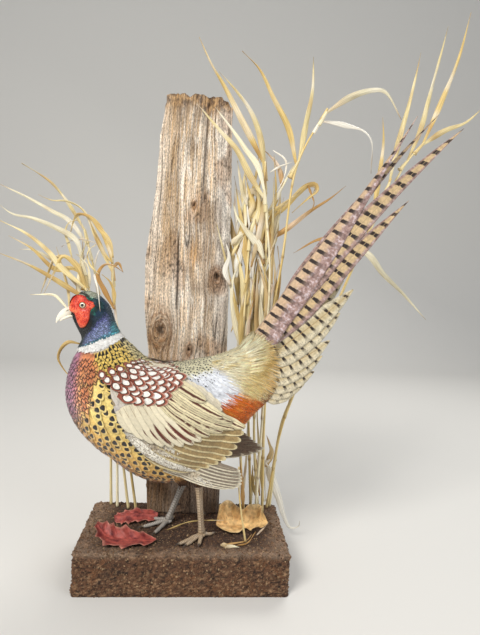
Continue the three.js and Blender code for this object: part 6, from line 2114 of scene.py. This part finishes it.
def make_leaf(name, node, material, outline, spine, tilt, tints, pointed, seed, girth=1.0):
    """One lobed leaf: a double sheet over a bent spine, with its midrib and side veins raised.

    outline is the half width at shares of the length for the near and the far side; spine is the
    route (x, y, z) of the midrib; tilt raises the near and far edges.
    """
    rows, half_columns = 110, 22
    t = np.linspace(0, 1, rows)
    course = curve_through(spine, rows)
    ahead = unit(np.gradient(course, axis=0))
    over = unit(np.cross(ahead, (0, 0, 1)))
    rise = np.cross(over, ahead)
    side = np.linspace(-1, 1, 2 * half_columns + 1)
    half = np.stack([np.interp(t, *zip(*edge)) for edge in outline], -1)
    half = half * (1 + 0.05 * noise(np.stack([t * 9, t * 0, t * 0 + seed], -1), 1, seed)[:, None])
    width = np.where(side[None] < 0, half[:, :1], half[:, 1:])
    lean = (12.0 if pointed else 7.0) * np.abs(side) ** 1.4
    swept = np.clip(t[:, None] + lean[None] / 90 * np.sin(math.pi * t)[:, None], 0, 1)
    base = np.stack([np.interp(swept, t, course[:, k]) for k in range(3)], -1)
    veins = np.zeros((rows, len(side)))
    for k in range(7):
        start = 0.1 + 0.12 * k
        gap = (t[:, None] - start - 0.17 * np.abs(side)[None]) * 100
        veins = np.maximum(veins, np.exp(-(gap / 1.1) ** 2) * (1 - 0.75 * np.abs(side)))
    rib = np.exp(-(side[None] * width / 1.3) ** 2)
    quilt = np.cos((t[:, None] - 0.17 * np.abs(side)[None]) / 0.12 * TAU) * 0.5 * np.abs(side) * (1 - np.abs(side))
    lift = tilt(t[:, None], side[None]) + 1.0 * noise(base + [0, 0, 7.0 * seed], 9, seed + 1, 2)
    lift = lift + 0.9 * rib + 0.45 * veins - quilt
    top = base + over[:, None] * (side[None] * width * girth)[..., None] + rise[:, None] * lift[..., None]
    top[..., 2] = np.maximum(top[..., 2], FLOOR + 0.5)
    under = top - np.array([0, 0, 0.45])
    ring = np.concatenate([top, under[:, ::-1]], axis=1)
    light, deep, edge = (linear(code) for code in tints)
    patch = smooth(noise(top, 9, seed + 2, 2), -0.3, 0.5)[..., None]
    colour = mix(light, deep, patch)
    colour = mix(colour, edge, smooth(np.abs(side), 0.72, 1.0)[None, :, None] * 0.6)
    colour = mix(colour, light * 1.15, np.clip(rib + 0.5 * veins, 0, 1)[..., None] * 0.6)
    spots = smooth(noise(top, 2.6, seed + 3), 0.55, 0.8)[..., None]
    colour = mix(colour, deep * 0.4, spots * 0.7)
    # The under face is the upper colour at 0.8: painted shade on the leaf's underside.
    ring_colour = np.concatenate([colour, colour[:, ::-1] * 0.8], axis=1)
    count = ring.shape[1]
    make_mesh(name, ring, grid_faces(rows, count, wrap=True), material=material,
              uvs={"OFBake": grid_shares(rows, count) * 0.96 + 0.02}, colours={"ground": ring_colour},
              replaces=[node], caps=end_caps(rows, count))


def make_leaves():
    """Two red leaves on the left of the block and a tan one on its right."""
    red = make_leaf_material("red_oak_leaf", "#b9605a", 0.55)
    tan = make_leaf_material("tan_oak_leaf", "#e2bd7c", 0.6)
    burgundy = ["#a24a40", "#5f1c20", "#d69480"]
    jag = [(0, 0.6), (0.05, 9), (0.13, 17), (0.17, 12), (0.26, 15), (0.34, 25), (0.39, 16), (0.5, 18), (0.57, 26),
           (0.62, 15), (0.71, 13), (0.79, 19), (0.83, 10), (0.91, 8), (0.95, 9), (1, 0.6)]
    other = [(0, 0.6), (0.06, 10), (0.14, 18), (0.19, 12), (0.3, 15), (0.38, 24), (0.43, 14), (0.55, 13), (0.62, 20),
             (0.67, 9), (0.78, 10), (0.84, 14), (0.88, 7), (1, 0.8)]
    make_leaf("red_leaf_front", "leaf_red_front", red, (jag, other),
              [(-42, -52, 67), (-70, -54, 69), (-96, -52, 68), (-114, -48, 71), (-126, -45, 80), (-133, -42, 90)],
              lambda t, side: 9 * smooth(side, 0.0, 1.0) * smooth(t, 0.05, 0.4) * smooth(t, 1.0, 0.7) + 2 * side ** 2,
              burgundy, True, 111, girth=1.15)
    small = [[(t, 0.62 * half) for t, half in edge] for edge in (jag, other)]
    make_leaf("red_leaf_back", "leaf_red_back", red, small,
              [(-46, 20, 70), (-68, 19, 73), (-92, 15, 72), (-114, 8, 70)],
              lambda t, side: 6 * smooth(side, -0.6, 1.0) - 3 * smooth(-side, 0, 1.0), burgundy, True, 121, girth=1.2)
    far = [(0, 1), (0.03, 12), (0.1, 22), (0.17, 33), (0.24, 39), (0.31, 34), (0.35, 14), (0.4, 4), (0.47, 8),
           (0.54, 26), (0.66, 29), (0.73, 21), (0.79, 9), (0.86, 8), (0.93, 6), (1, 1)]
    near = [(0, 1), (0.03, 10), (0.09, 19), (0.18, 24), (0.27, 25), (0.35, 18), (0.42, 12), (0.5, 12), (0.58, 19),
            (0.66, 21), (0.73, 12), (0.79, 7), (0.87, 12), (0.93, 11), (1, 1)]
    make_leaf("tan_leaf", "leaf_tan", tan, (far, near),
              [(50, -12, 74), (68, -8, 71), (90, -4, 70), (108, -8, 73), (124, -18, 77), (133, -22, 83)],
              lambda t, side: 25 * smooth(-side, -0.1, 1.0) * (1 - 0.4 * t) + 3 * side ** 2 - 3 * smooth(side, 0, 1),
              ["#e6c083", "#c0935a", "#f0d6a2"], False, 131)


# ---------------------------------------------------------------------------------------------
# Grass
# ---------------------------------------------------------------------------------------------

STRAW = {"pale": "#f5ebc8", "straw": "#ecd9a0", "ochre": "#dfc27c", "rust": "#c99c5c", "white": "#faf4e4",
         "tan": "#d0b480"}                # tints of the dry leaves
GRASS_REACH = 600                        # a plant has moved by the whole of its lean at this distance
# Plants: name, depth (y), lean towards the back, the stem's tint and its route (x, z), and the leaves, each
# with its tint, half width and route.
GRASS = [
    ("grass_left_1", 54, -30, "ochre", [(-85, FLOOR), (-106, 191), (-144, 342), (-168, 423), (-177, 446)], [
        ("ochre", 5.0, [(-167, 421), (-229, 457), (-269, 477), (-313, 493)]),
        ("straw", 5.4, [(-175, 441), (-214, 474), (-234, 498), (-269, 525), (-312, 544)]),
        ("ochre", 4.6, [(-171, 430), (-192, 477), (-212, 492), (-225, 466), (-241, 431)])]),
    ("grass_left_2", 60, -12, "straw", [(-99, FLOOR), (-120, 204), (-153, 340), (-173, 436), (-187, 486)], [
        ("pale", 3.8, [(-174, 437), (-178, 479), (-196, 497)]),
        ("ochre", 4.8, [(-182, 463), (-202, 474), (-229, 471), (-267, 503), (-303, 521)]),
        ("pale", 5.2, [(-186, 484), (-196, 519), (-230, 538), (-266, 551), (-299, 557), (-322, 573)])]),
    ("grass_left_3", 67, 4, "pale", [(-119, FLOOR), (-124, 218), (-126, 347), (-134, 418), (-140, 487)], [
        ("ochre", 5.0, [(-140, 480), (-150, 518), (-169, 552), (-189, 564), (-204, 557), (-210, 533)]),
        ("straw", 4.6, [(-139, 468), (-167, 524), (-193, 572), (-219, 584), (-242, 584), (-264, 592)]),
        ("rust", 3.4, [(-139, 478), (-131, 486), (-122, 471)])]),
    ("grass_left_4", 75, 20, "straw", [(-131, FLOOR), (-138, 214), (-154, 370), (-174, 472), (-193, 543)], [
        ("straw", 4.8, [(-192, 539), (-220, 580), (-248, 614), (-273, 631), (-300, 646)]),
        ("pale", 4.6, [(-184, 510), (-219, 555), (-249, 570), (-292, 591), (-342, 612)]),
        ("white", 3.0, [(-170, 452), (-173, 486), (-163, 517)])]),
    ("grass_front", 30, -14, "pale", [(118, FLOOR), (121, 236), (121, 388), (120, 486), (103, 618)], [
        ("straw", 5.0, [(105, 600), (78, 636), (56, 673), (24, 705), (-9, 739)]),
        ("pale", 4.4, [(104, 612), (92, 649), (71, 674), (48, 703), (20, 735)])]),
    ("grass_inner", 43, 0, "straw", [(100, FLOOR), (90, 162), (83, 342), (85, 459), (86, 548)], [
        ("ochre", 5.2, [(85, 485), (72, 560), (60, 617)]),
        ("pale", 5.2, [(84, 342), (66, 413), (61, 463), (72, 499)]),
        ("straw", 4.8, [(86, 539), (100, 593), (89, 637)])]),
    ("grass_right_1", 52, -28, "ochre", [(133, FLOOR), (127, 231), (128, 387), (141, 503), (152, 640), (164, 680),
                                         (199, 748)], [
        ("ochre", 4.8, [(155, 656), (137, 714), (112, 756), (87, 798), (58, 824)]),
        ("straw", 4.6, [(158, 664), (167, 725), (173, 773), (171, 824)]),
        ("pale", 4.8, [(197, 741), (234, 767), (271, 781), (291, 780), (321, 739)]),
        ("white", 4.2, [(189, 728), (229, 725), (261, 718), (275, 703), (278, 651)])]),
    ("grass_right_2", 58, -13, "straw", [(126, FLOOR), (111, 228), (116, 385), (115, 536), (111, 598), (106, 664)], [
        ("ochre", 5.0, [(107, 655), (72, 714), (35, 775), (10, 812), (-10, 850)]),
        ("straw", 4.8, [(107, 640), (98, 697), (79, 740), (53, 772), (24, 800)]),
        ("pale", 5.0, [(112, 593), (88, 616), (71, 582), (63, 557)])]),
    ("grass_right_3", 64, 0, "ochre", [(114, FLOOR), (102, 225), (91, 365), (101, 503), (119, 568), (133, 607)], [
        ("ochre", 4.4, [(119, 568), (151, 600), (179, 628), (196, 631), (188, 611)]),
        ("straw", 5.0, [(92, 382), (76, 450), (68, 497), (74, 548)]),
        ("rust", 4.2, [(108, 531), (145, 554), (188, 589), (223, 614), (249, 637)])]),
    ("grass_right_4", 70, 12, "ochre", [(143, FLOOR), (161, 202), (180, 267), (236, 401), (289, 539), (334, 658)], [
        ("straw", 4.6, [(331, 650), (344, 728), (360, 800), (373, 877)]),
        ("ochre", 4.6, [(306, 584), (314, 680), (316, 723), (312, 762)]),
        ("pale", 5.2, [(262, 496), (286, 530), (304, 522), (330, 491), (369, 457), (414, 413)]),
        ("rust", 4.2, [(284, 524), (219, 547), (167, 519)])]),
    ("grass_right_5", 76, 24, "straw", [(149, FLOOR), (163, 212), (181, 265), (243, 407), (301, 553), (332, 623),
                                        (368, 693), (399, 731)], [
        ("straw", 4.4, [(369, 695), (391, 755), (405, 819), (417, 875), (430, 938)]),
        ("ochre", 4.4, [(395, 726), (427, 807), (452, 878), (471, 966)]),
        ("straw", 4.6, [(394, 725), (436, 754), (474, 772), (503, 799)])]),
    ("grass_curl", 83, 10, "pale", [(115, FLOOR), (120, 112), (134, 157)], [
        ("white", 7.5, [(132, 152), (150, 119), (166, 80), (178, 44), (191, 22), (206, 24), (208, 34)])]),
]
# Blades that stand alone between the plants: tint, half width and route (x, y, z).
LOOSE_BLADES = [
    ("pale", 6.2, [(112, 40, 505), (102, 39, 526), (85, 38, 545), (64, 37, 572), (55, 36, 595)]),
    ("straw", 5, [(59, 42, 507), (66, 44, 529), (76, 45, 561), (74, 47, 594), (67, 48, 622), (63, 50, 648)]),
    ("ochre", 5.5, [(79, 48, 557), (87, 47, 577), (90, 46, 595), (82, 45, 616), (74, 44, 639)]),
    ("white", 4.5, [(58, 40, 458), (48, 38, 484), (53, 36, 506), (46, 34, 530)]),
    ("straw", 6, [(88, 46, 401), (85, 46, 428), (80, 45, 454), (74, 44, 485), (65, 44, 516)]),
    ("pale", 5, [(88, 50, 382), (91, 50, 432), (88, 51, 468), (92, 52, 509), (98, 52, 536)]),
    ("ochre", 5, [(95, 56, 393), (102, 54, 428), (98, 53, 460), (109, 52, 496), (113, 50, 519)]),
    ("rust", 4.5, [(113, 44, 496), (107, 43, 518), (100, 43, 544), (94, 42, 570)]),
    ("rust", 5.5, [(121, 54, 497), (124, 53, 522), (120, 51, 544), (112, 50, 565)]),
    ("pale", 3.6, [(124, 60, 415), (125, 60, 456), (127, 61, 500), (131, 61, 543), (138, 62, 584), (143, 62, 611)]),
    ("white", 6, [(68, 45, 472), (69, 44, 494), (74, 44, 516), (81, 44, 545), (89, 43, 566)]),
    ("ochre", 3.8, [(93, 52, 378), (106, 51, 419), (117, 50, 438), (125, 48, 452), (134, 47, 452), (141, 46, 437)]),
    ("straw", 3.2, [(71, 50, 413), (68, 49, 395), (63, 48, 379)]),
    ("ochre", 3.4, [(106, 52, 568), (116, 51, 579), (142, 51, 599), (168, 50, 620)]),
    ("straw", 4.4, [(121, 58, 410), (116, 58, 440), (119, 57, 474), (128, 56, 502), (131, 56, 529)]),
    ("ochre", 4.2, [(140, 56, 594), (156, 55, 608), (180, 54, 631), (194, 53, 634), (197, 52, 624), (185, 51, 613),
                    (156, 50, 584)]),
    ("rust", 2.2, [(181, 53, 632), (189, 52, 615), (193, 51, 603), (189, 50, 590)]),
    ("white", 1.6, [(116, 58, 650), (132, 57, 660), (155, 56, 670)]),
    ("white", 1.5, [(120, 60, 687), (142, 58, 671), (140, 57, 640), (124, 55, 611)]),
    ("rust", 4, [(139, 62, 625), (135, 61, 650), (124, 61, 670), (104, 60, 687)]),
    ("straw", 4, [(80, 44, 591), (69, 43, 624), (60, 42, 662)]),
    ("straw", 5, [(98, 50, 558), (87, 49, 592), (74, 49, 625), (75, 48, 657)]),
    ("ochre", 5, [(67, 56, 538), (79, 55, 574), (91, 55, 632), (96, 54, 678)]),
    ("pale", 3, [(117, 60, 586), (132, 59, 612), (155, 58, 665)]),
    ("pale", 4.5, [(57, 38, 524), (66, 39, 538), (77, 40, 545)]),
    ("ochre", 5, [(108, 50, 510), (103, 51, 536), (90, 51, 558), (85, 52, 584)]),
    ("rust", 3.4, [(95, 12, 86), (94, 13, 107), (92, 13, 132), (85, 14, 177)]),
    ("pale", 2.2, [(94, 24, 94), (96, 26, 127), (98, 28, 172), (97, 30, 230)]),
    ("straw", 4, [(122, 66, 89), (115, 66, 110), (114, 66, 144)]),
    ("straw", 3, [(136, 58, 82), (128, 58, 131), (121, 57, 190), (116, 56, 235), (115, 56, 272)]),
    ("white", 2, [(140, 60, 81), (135, 60, 130), (130, 60, 190), (126, 60, 255)]),
    ("rust", 2.6, [(130, 70, 87), (124, 69, 116), (121, 67, 154), (124, 66, 168)]),
    ("tan", 5, [(137, 58, 144), (141, 57, 158), (145, 56, 172), (141, 55, 185), (134, 54, 202)]),
    ("white", 2.2, [(142, 55, 159), (136, 55, 152), (141, 55, 145)]),
    ("ochre", 3.6, [(-177, 12, 355), (-195, 12, 357), (-206, 12, 346), (-210, 12, 331), (-203, 12, 316),
                    (-191, 12, 301)]),
    ("white", 1.9, [(-157, 10, 463), (-154, -9, 465), (-144, -28, 443), (-136, -47, 412)]),
    ("pale", 3, [(-193, -6, 411), (-206, 3, 422), (-219, 11, 430), (-258, 20, 429)]),
    ("rust", 5, [(-133, 58, 409), (-149, 56, 439), (-161, 55, 465), (-150, 53, 482), (-135, 52, 481), (-120, 50, 472)]),
    ("ochre", 3.6, [(-133, 56, 416), (-134, 55, 437), (-141, 53, 455), (-154, 52, 466)]),
    ("straw", 2.2, [(-159, 52, 466), (-175, 53, 483), (-178, 55, 503), (-165, 56, 515)]),
    ("ochre", 4.6, [(-140, 70, 495), (-145, 68, 519), (-164, 67, 543), (-179, 65, 560), (-199, 63, 563),
                    (-204, 62, 551), (-209, 60, 530)]),
    ("white", 1.9, [(-181, 62, 438), (-186, 63, 480), (-190, 65, 525), (-193, 66, 552)]),
    ("ochre", 4.6, [(-184, 50, 438), (-190, 49, 473), (-207, 48, 490), (-227, 46, 489), (-238, 45, 464),
                    (-250, 44, 427)]),
    ("pale", 4.2, [(-178, 54, 442), (-181, 53, 469), (-185, 51, 489), (-194, 50, 497)]),
    ("white", 1.4, [(-166, 60, 517), (-188, 59, 522), (-205, 57, 519), (-221, 56, 508)]),
    ("straw", 3, [(-204, 56, 491), (-210, 57, 512), (-216, 58, 532), (-211, 59, 548), (-198, 60, 553)]),
    ("pale", 5.2, [(-188, 56, 438), (-212, 54, 467), (-234, 53, 486), (-265, 52, 500), (-285, 50, 500)]),
    # crumbs and stalks on the earth in front
    ("tan", 3.2, [(56, -64, 67), (63, -66, 68.5), (72, -67, 67)]),
    ("pale", 2.6, [(62, -70, 66.5), (72, -68, 68), (84, -69, 66.8)]),
    ("rust", 1.3, [(60, -62, 67), (78, -63, 70), (96, -58, 72), (104, -52, 79)]),
    ("rust", 1.1, [(80, -64, 67), (97, -60, 69), (110, -50, 82)]),
    ("ochre", 1.0, [(-28, -20, 68), (10, -24, 84), (62, -28, 89)]),
    ("rust", 1.4, [(114, -34, 68), (122, -30, 74), (134, -22, 84)]),
    ("straw", 3.4, [(-134, 60, 409), (-137, 62, 460), (-138, 64, 495)]),
    ("white", 2.6, [(-128, 58, 382), (-132, 59, 409), (-135, 60, 437)]),
    ("ochre", 3, [(-139, 66, 485), (-153, 67, 500), (-168, 67, 527), (-180, 68, 555)]),
]


def make_straw_material():
    """Dry grass: a silky ribbed leaf, satin on its ridges."""
    material, tree, shader = new_material("dry_grass_leaf", Roughness=0.5)
    along = add(tree, "ShaderNodeUVMap", uv_map="grain").outputs["UV"]
    rib = add(tree, "ShaderNodeMapping", {"Vector": along, "Scale": (1.0, 0.02, 1.0)}).outputs["Vector"]
    fine = add(tree, "ShaderNodeTexNoise", {"Vector": rib, "Scale": 1.6, "Detail": 3.0}).outputs["Fac"]
    grained(tree, shader, fine, (0.62, 1.28), 0.5, 0.2, reads=(0.3, 0.7))
    return material


def straw_leaf(course, half, tint, seed):
    """One grass leaf along a course: a shallow V with parallel ribs that twists a little and tapers."""
    rng = np.random.default_rng(seed)
    length = run_along(course)[-1]
    rows = int(np.clip(length / 4.2, 16, 72))
    t = np.linspace(0, 1, rows)
    course = curve_through(course, rows)
    ahead = unit(np.gradient(course, axis=0))
    flat = unit(np.cross(ahead, (0, 1, 0)))
    deep = np.cross(flat, ahead)
    twist = rng.uniform(-0.35, 0.35) + rng.uniform(-1.1, 1.1) * t ** 1.5 + 0.25 * np.sin(TAU * (t * 1.3 + rng.random()))
    cos, sin = np.cos(twist)[:, None], np.sin(twist)[:, None]
    side_way, up_way = flat * cos + deep * sin, deep * cos - flat * sin
    half = half * (0.8 if course[0, 0] < -100 else 1.0)
    width = half * mix(0.45, 1.12, smooth(t, 0, 0.3)) * np.clip((1.01 - t) / 0.72, 0, 1) ** 0.9
    width = np.maximum(width, 0.3)
    across = np.linspace(-1, 1, 9)
    ribs = 0.14 * np.cos(across * math.pi * 4)
    cup = 0.32 * np.abs(across) * width[:, None]
    lift = cup + ribs + 0.35 * np.sin(t[:, None] * 19 + across * 2 + seed)
    top = course[:, None] + side_way[:, None] * (across * width[:, None])[..., None] + up_way[:, None] * lift[..., None]
    under = top - up_way[:, None] * 0.36
    ring = np.concatenate([top, under[:, ::-1]], axis=1)
    colour = linear(STRAW[tint]) * rng.uniform(0.86, 1.1)
    patch = noise(np.stack([t * length / 30, across[0] + 0 * t, 0 * t + seed % 97], -1), 1, 141, 2)[:, None, None]
    # Brown and near-white patches along the leaf: partly the dry leaf's own blotches, partly painted shade and painted
    # highlight.
    shade = mix(colour, linear("#a8742f"), np.clip(0.9 * patch - 0.1, 0, 1))
    shade = mix(shade, linear("#fffaf0"), np.clip(-0.8 * patch - 0.1, 0, 0.6))
    shade = mix(shade, linear("#8a5f30"), smooth(t, 0.88, 1.0)[:, None, None] * 0.4)
    # Painted shade: darker stripes in the grooves between the ribs.
    stripe = 1 - 0.16 * (np.cos(np.concatenate([across, across[::-1]]) * math.pi * 4) < -0.2)
    run = t[:, None] * length + 0 * across
    grain = np.stack([np.concatenate([across * half, across[::-1] * half]) + 0 * t[:, None] + 13.0 * (seed % 31),
                      np.concatenate([run, run], axis=1)], -1)
    return ring, shade * stripe[None, :, None], grain


def straw_stem(route, radius, tint, seed):
    """A round stem with swollen nodes and the sheaths that clasp it."""
    rng = np.random.default_rng(seed)
    length = run_along(route)[-1]
    rows, columns = int(np.clip(length / 3.2, 24, 190)), 12
    t = np.linspace(0, 1, rows)
    course = curve_through(route, rows)
    ahead = unit(np.gradient(course, axis=0))
    flat = unit(np.cross(ahead, (0, 1, 0)))
    deep = np.cross(flat, ahead)
    size = radius * mix(1.15, 0.7, t)
    node_gap = rng.uniform(85, 120)
    place = np.mod(t * length + rng.uniform(0, 40), node_gap)
    near = np.minimum(place, node_gap - place)
    size = size * (1 + 0.4 * np.exp(-(near / 2.2) ** 2)) + 0.5 * smooth(place, 60, 0) * radius * 0.4
    angle = round_angles(columns)
    ring = flat[:, None] * np.cos(angle)[:, None] + deep[:, None] * np.sin(angle)[:, None]
    points = course[:, None] + ring * (size[:, None] * (1 + 0.07 * np.cos(angle * 4)))[..., None]
    colour = linear(STRAW[tint]) * rng.uniform(0.88, 1.08)
    shade = mix(colour, linear("#8d6434"), (0.6 * np.exp(-(near / 3.0) ** 2))[:, None, None])
    sheath = smooth(place, 62, 58)[:, None, None]
    shade = mix(shade, linear("#ecdcae"), 0.3 * sheath) + 0 * angle[None, :, None]
    grain = np.stack([angle * radius + 0 * t[:, None] + seed % 17, t[:, None] * length + 0 * angle], -1)
    return points, shade, grain


def straw_piece(name, parts, material, replaces=()):
    """One mesh of stems and leaves of dry grass."""
    tube_piece(name, [part[:2] for part in parts], material, replaces, [part[2] for part in parts])


def make_grass():
    """The rooted plants, the loose blades between them and one thin stalk in front."""
    material = make_straw_material()
    for plant, (name, y, lean, tint, stem, leaves) in enumerate(GRASS):
        root = np.array(stem[0], float)

        def lifted(route):
            route = np.array(route, float)
            reach = np.linalg.norm(route - root, axis=1)
            return np.stack([route[:, 0], y + lean * reach / GRASS_REACH, route[:, 1]], -1)

        parts = [straw_stem(lifted(stem), 1.9, tint, 200 + plant)]
        for i, (leaf_tint, half, route) in enumerate(leaves):
            parts.append(straw_leaf(lifted(route), half, leaf_tint, 300 + 10 * plant + i))
            joint = lifted(route)[0]
            along = unit(lifted(stem)[-1] - lifted(stem)[-2])
            parts.append(straw_stem(np.array([joint - along * 22, joint - along * 8, joint + along * 2]), 2.5,
                                    leaf_tint, 500 + 10 * plant + i))
        straw_piece(name.replace("grass", "straw"), parts, material, [name])
    loose = [straw_leaf(np.array(route, float), half, tint, 700 + i)
             for i, (tint, half, route) in enumerate(LOOSE_BLADES)]
    rng = np.random.default_rng(21)
    for i in range(66):
        # leaves that stand up between the plants beside the post, and a few on the left
        on_left = 30 <= i < 34
        bounds = ((-215, -178), (400, 450), (60, 110)) if on_left else ((74, 132), (290, 520), (90, 190))
        x, z, length = (rng.uniform(*bound) for bound in bounds)
        lean, bow, y = rng.uniform(-0.28, 0.2), rng.uniform(-14, 14), rng.uniform(38, 72)
        route = [(x + lean * length * k + bow * math.sin(math.pi * k), y + rng.uniform(-3, 3), z + length * k)
                 for k in (0, 0.3, 0.62, 1)]
        loose.append(straw_leaf(np.array(route), rng.uniform(2.4, 4.8), rng.choice(list(STRAW)), 800 + i))
    straw_piece("loose_blades", loose, material)
    stalk = np.array([(95, -50, FLOOR), (86, -50, 113), (81, -50, 148), (79, -50, 184)], float)
    straw_piece("thin_stalk", [straw_stem(stalk, 1.2, "ochre", 601)], material, ["stalk"])


def make_stand():
    """Base, grit, post, leaves and grass."""
    block = make_base(make_earth_material())
    make_grit(block, make_grit_material())
    make_post()
    make_leaves()
    make_grass()

# ---------------------------------------------------------------------------------------------
# Stage
# ---------------------------------------------------------------------------------------------

def make_stage():
    """A pale floor that sweeps up into a backdrop behind the mount."""
    material, _tree, _shader = new_material("pale_matt_paint", Base_Color=linear("#d9d7d2"), Roughness=0.9)
    bend = np.linspace(0, math.pi / 2, 16)
    profile = [(-6000, 0), *((1900 + 900 * math.sin(a), 900 - 900 * math.cos(a)) for a in bend), (2800, 5000)]
    points = [(x * MM, y * MM, z * MM) for y, z in profile for x in (-6000, 6000)]
    mesh = bpy.data.meshes.new("sweep")
    mesh.from_pydata(points, [], grid_faces(len(profile), 2).tolist())
    mesh.materials.append(material)
    mesh.polygons.foreach_set("use_smooth", [True] * len(mesh.polygons))
    sweep = bpy.data.objects.new("sweep", mesh)
    bpy.context.scene.collection.objects.link(sweep)
    bpy.context.scene.view_settings.view_transform = "Standard"
    world = bpy.data.worlds.new("studio")
    bpy.context.scene.world = world
    world.use_nodes = True
    background = world.node_tree.nodes["Background"].inputs
    background["Color"].default_value, background["Strength"].default_value = linear("#e8ecf2"), 0.42
    make_light("key", (-1.3, -1.9, 2.3), (0, 0, 0.4), 1.1, 78, (1.0, 0.97, 0.93))
    make_light("fill", (1.9, -1.6, 1.2), (0, 0, 0.4), 1.6, 18, (0.94, 0.97, 1.0))
    make_light("back_light", (0.9, 1.3, 2.0), (0, 0, 0.5), 1.2, 22, (1.0, 0.98, 0.95))


make_camera()
make_stage()
finish = make_plumage()
make_skin(finish["skin"])
make_thigh_coats(finish)
make_body_coat(finish)
make_tail(finish)
for wing_side in (LEFT, RIGHT):
    make_wing(wing_side, finish)
make_scapulars(finish)
make_rump(finish)
make_head(finish)
make_legs()
make_stand()
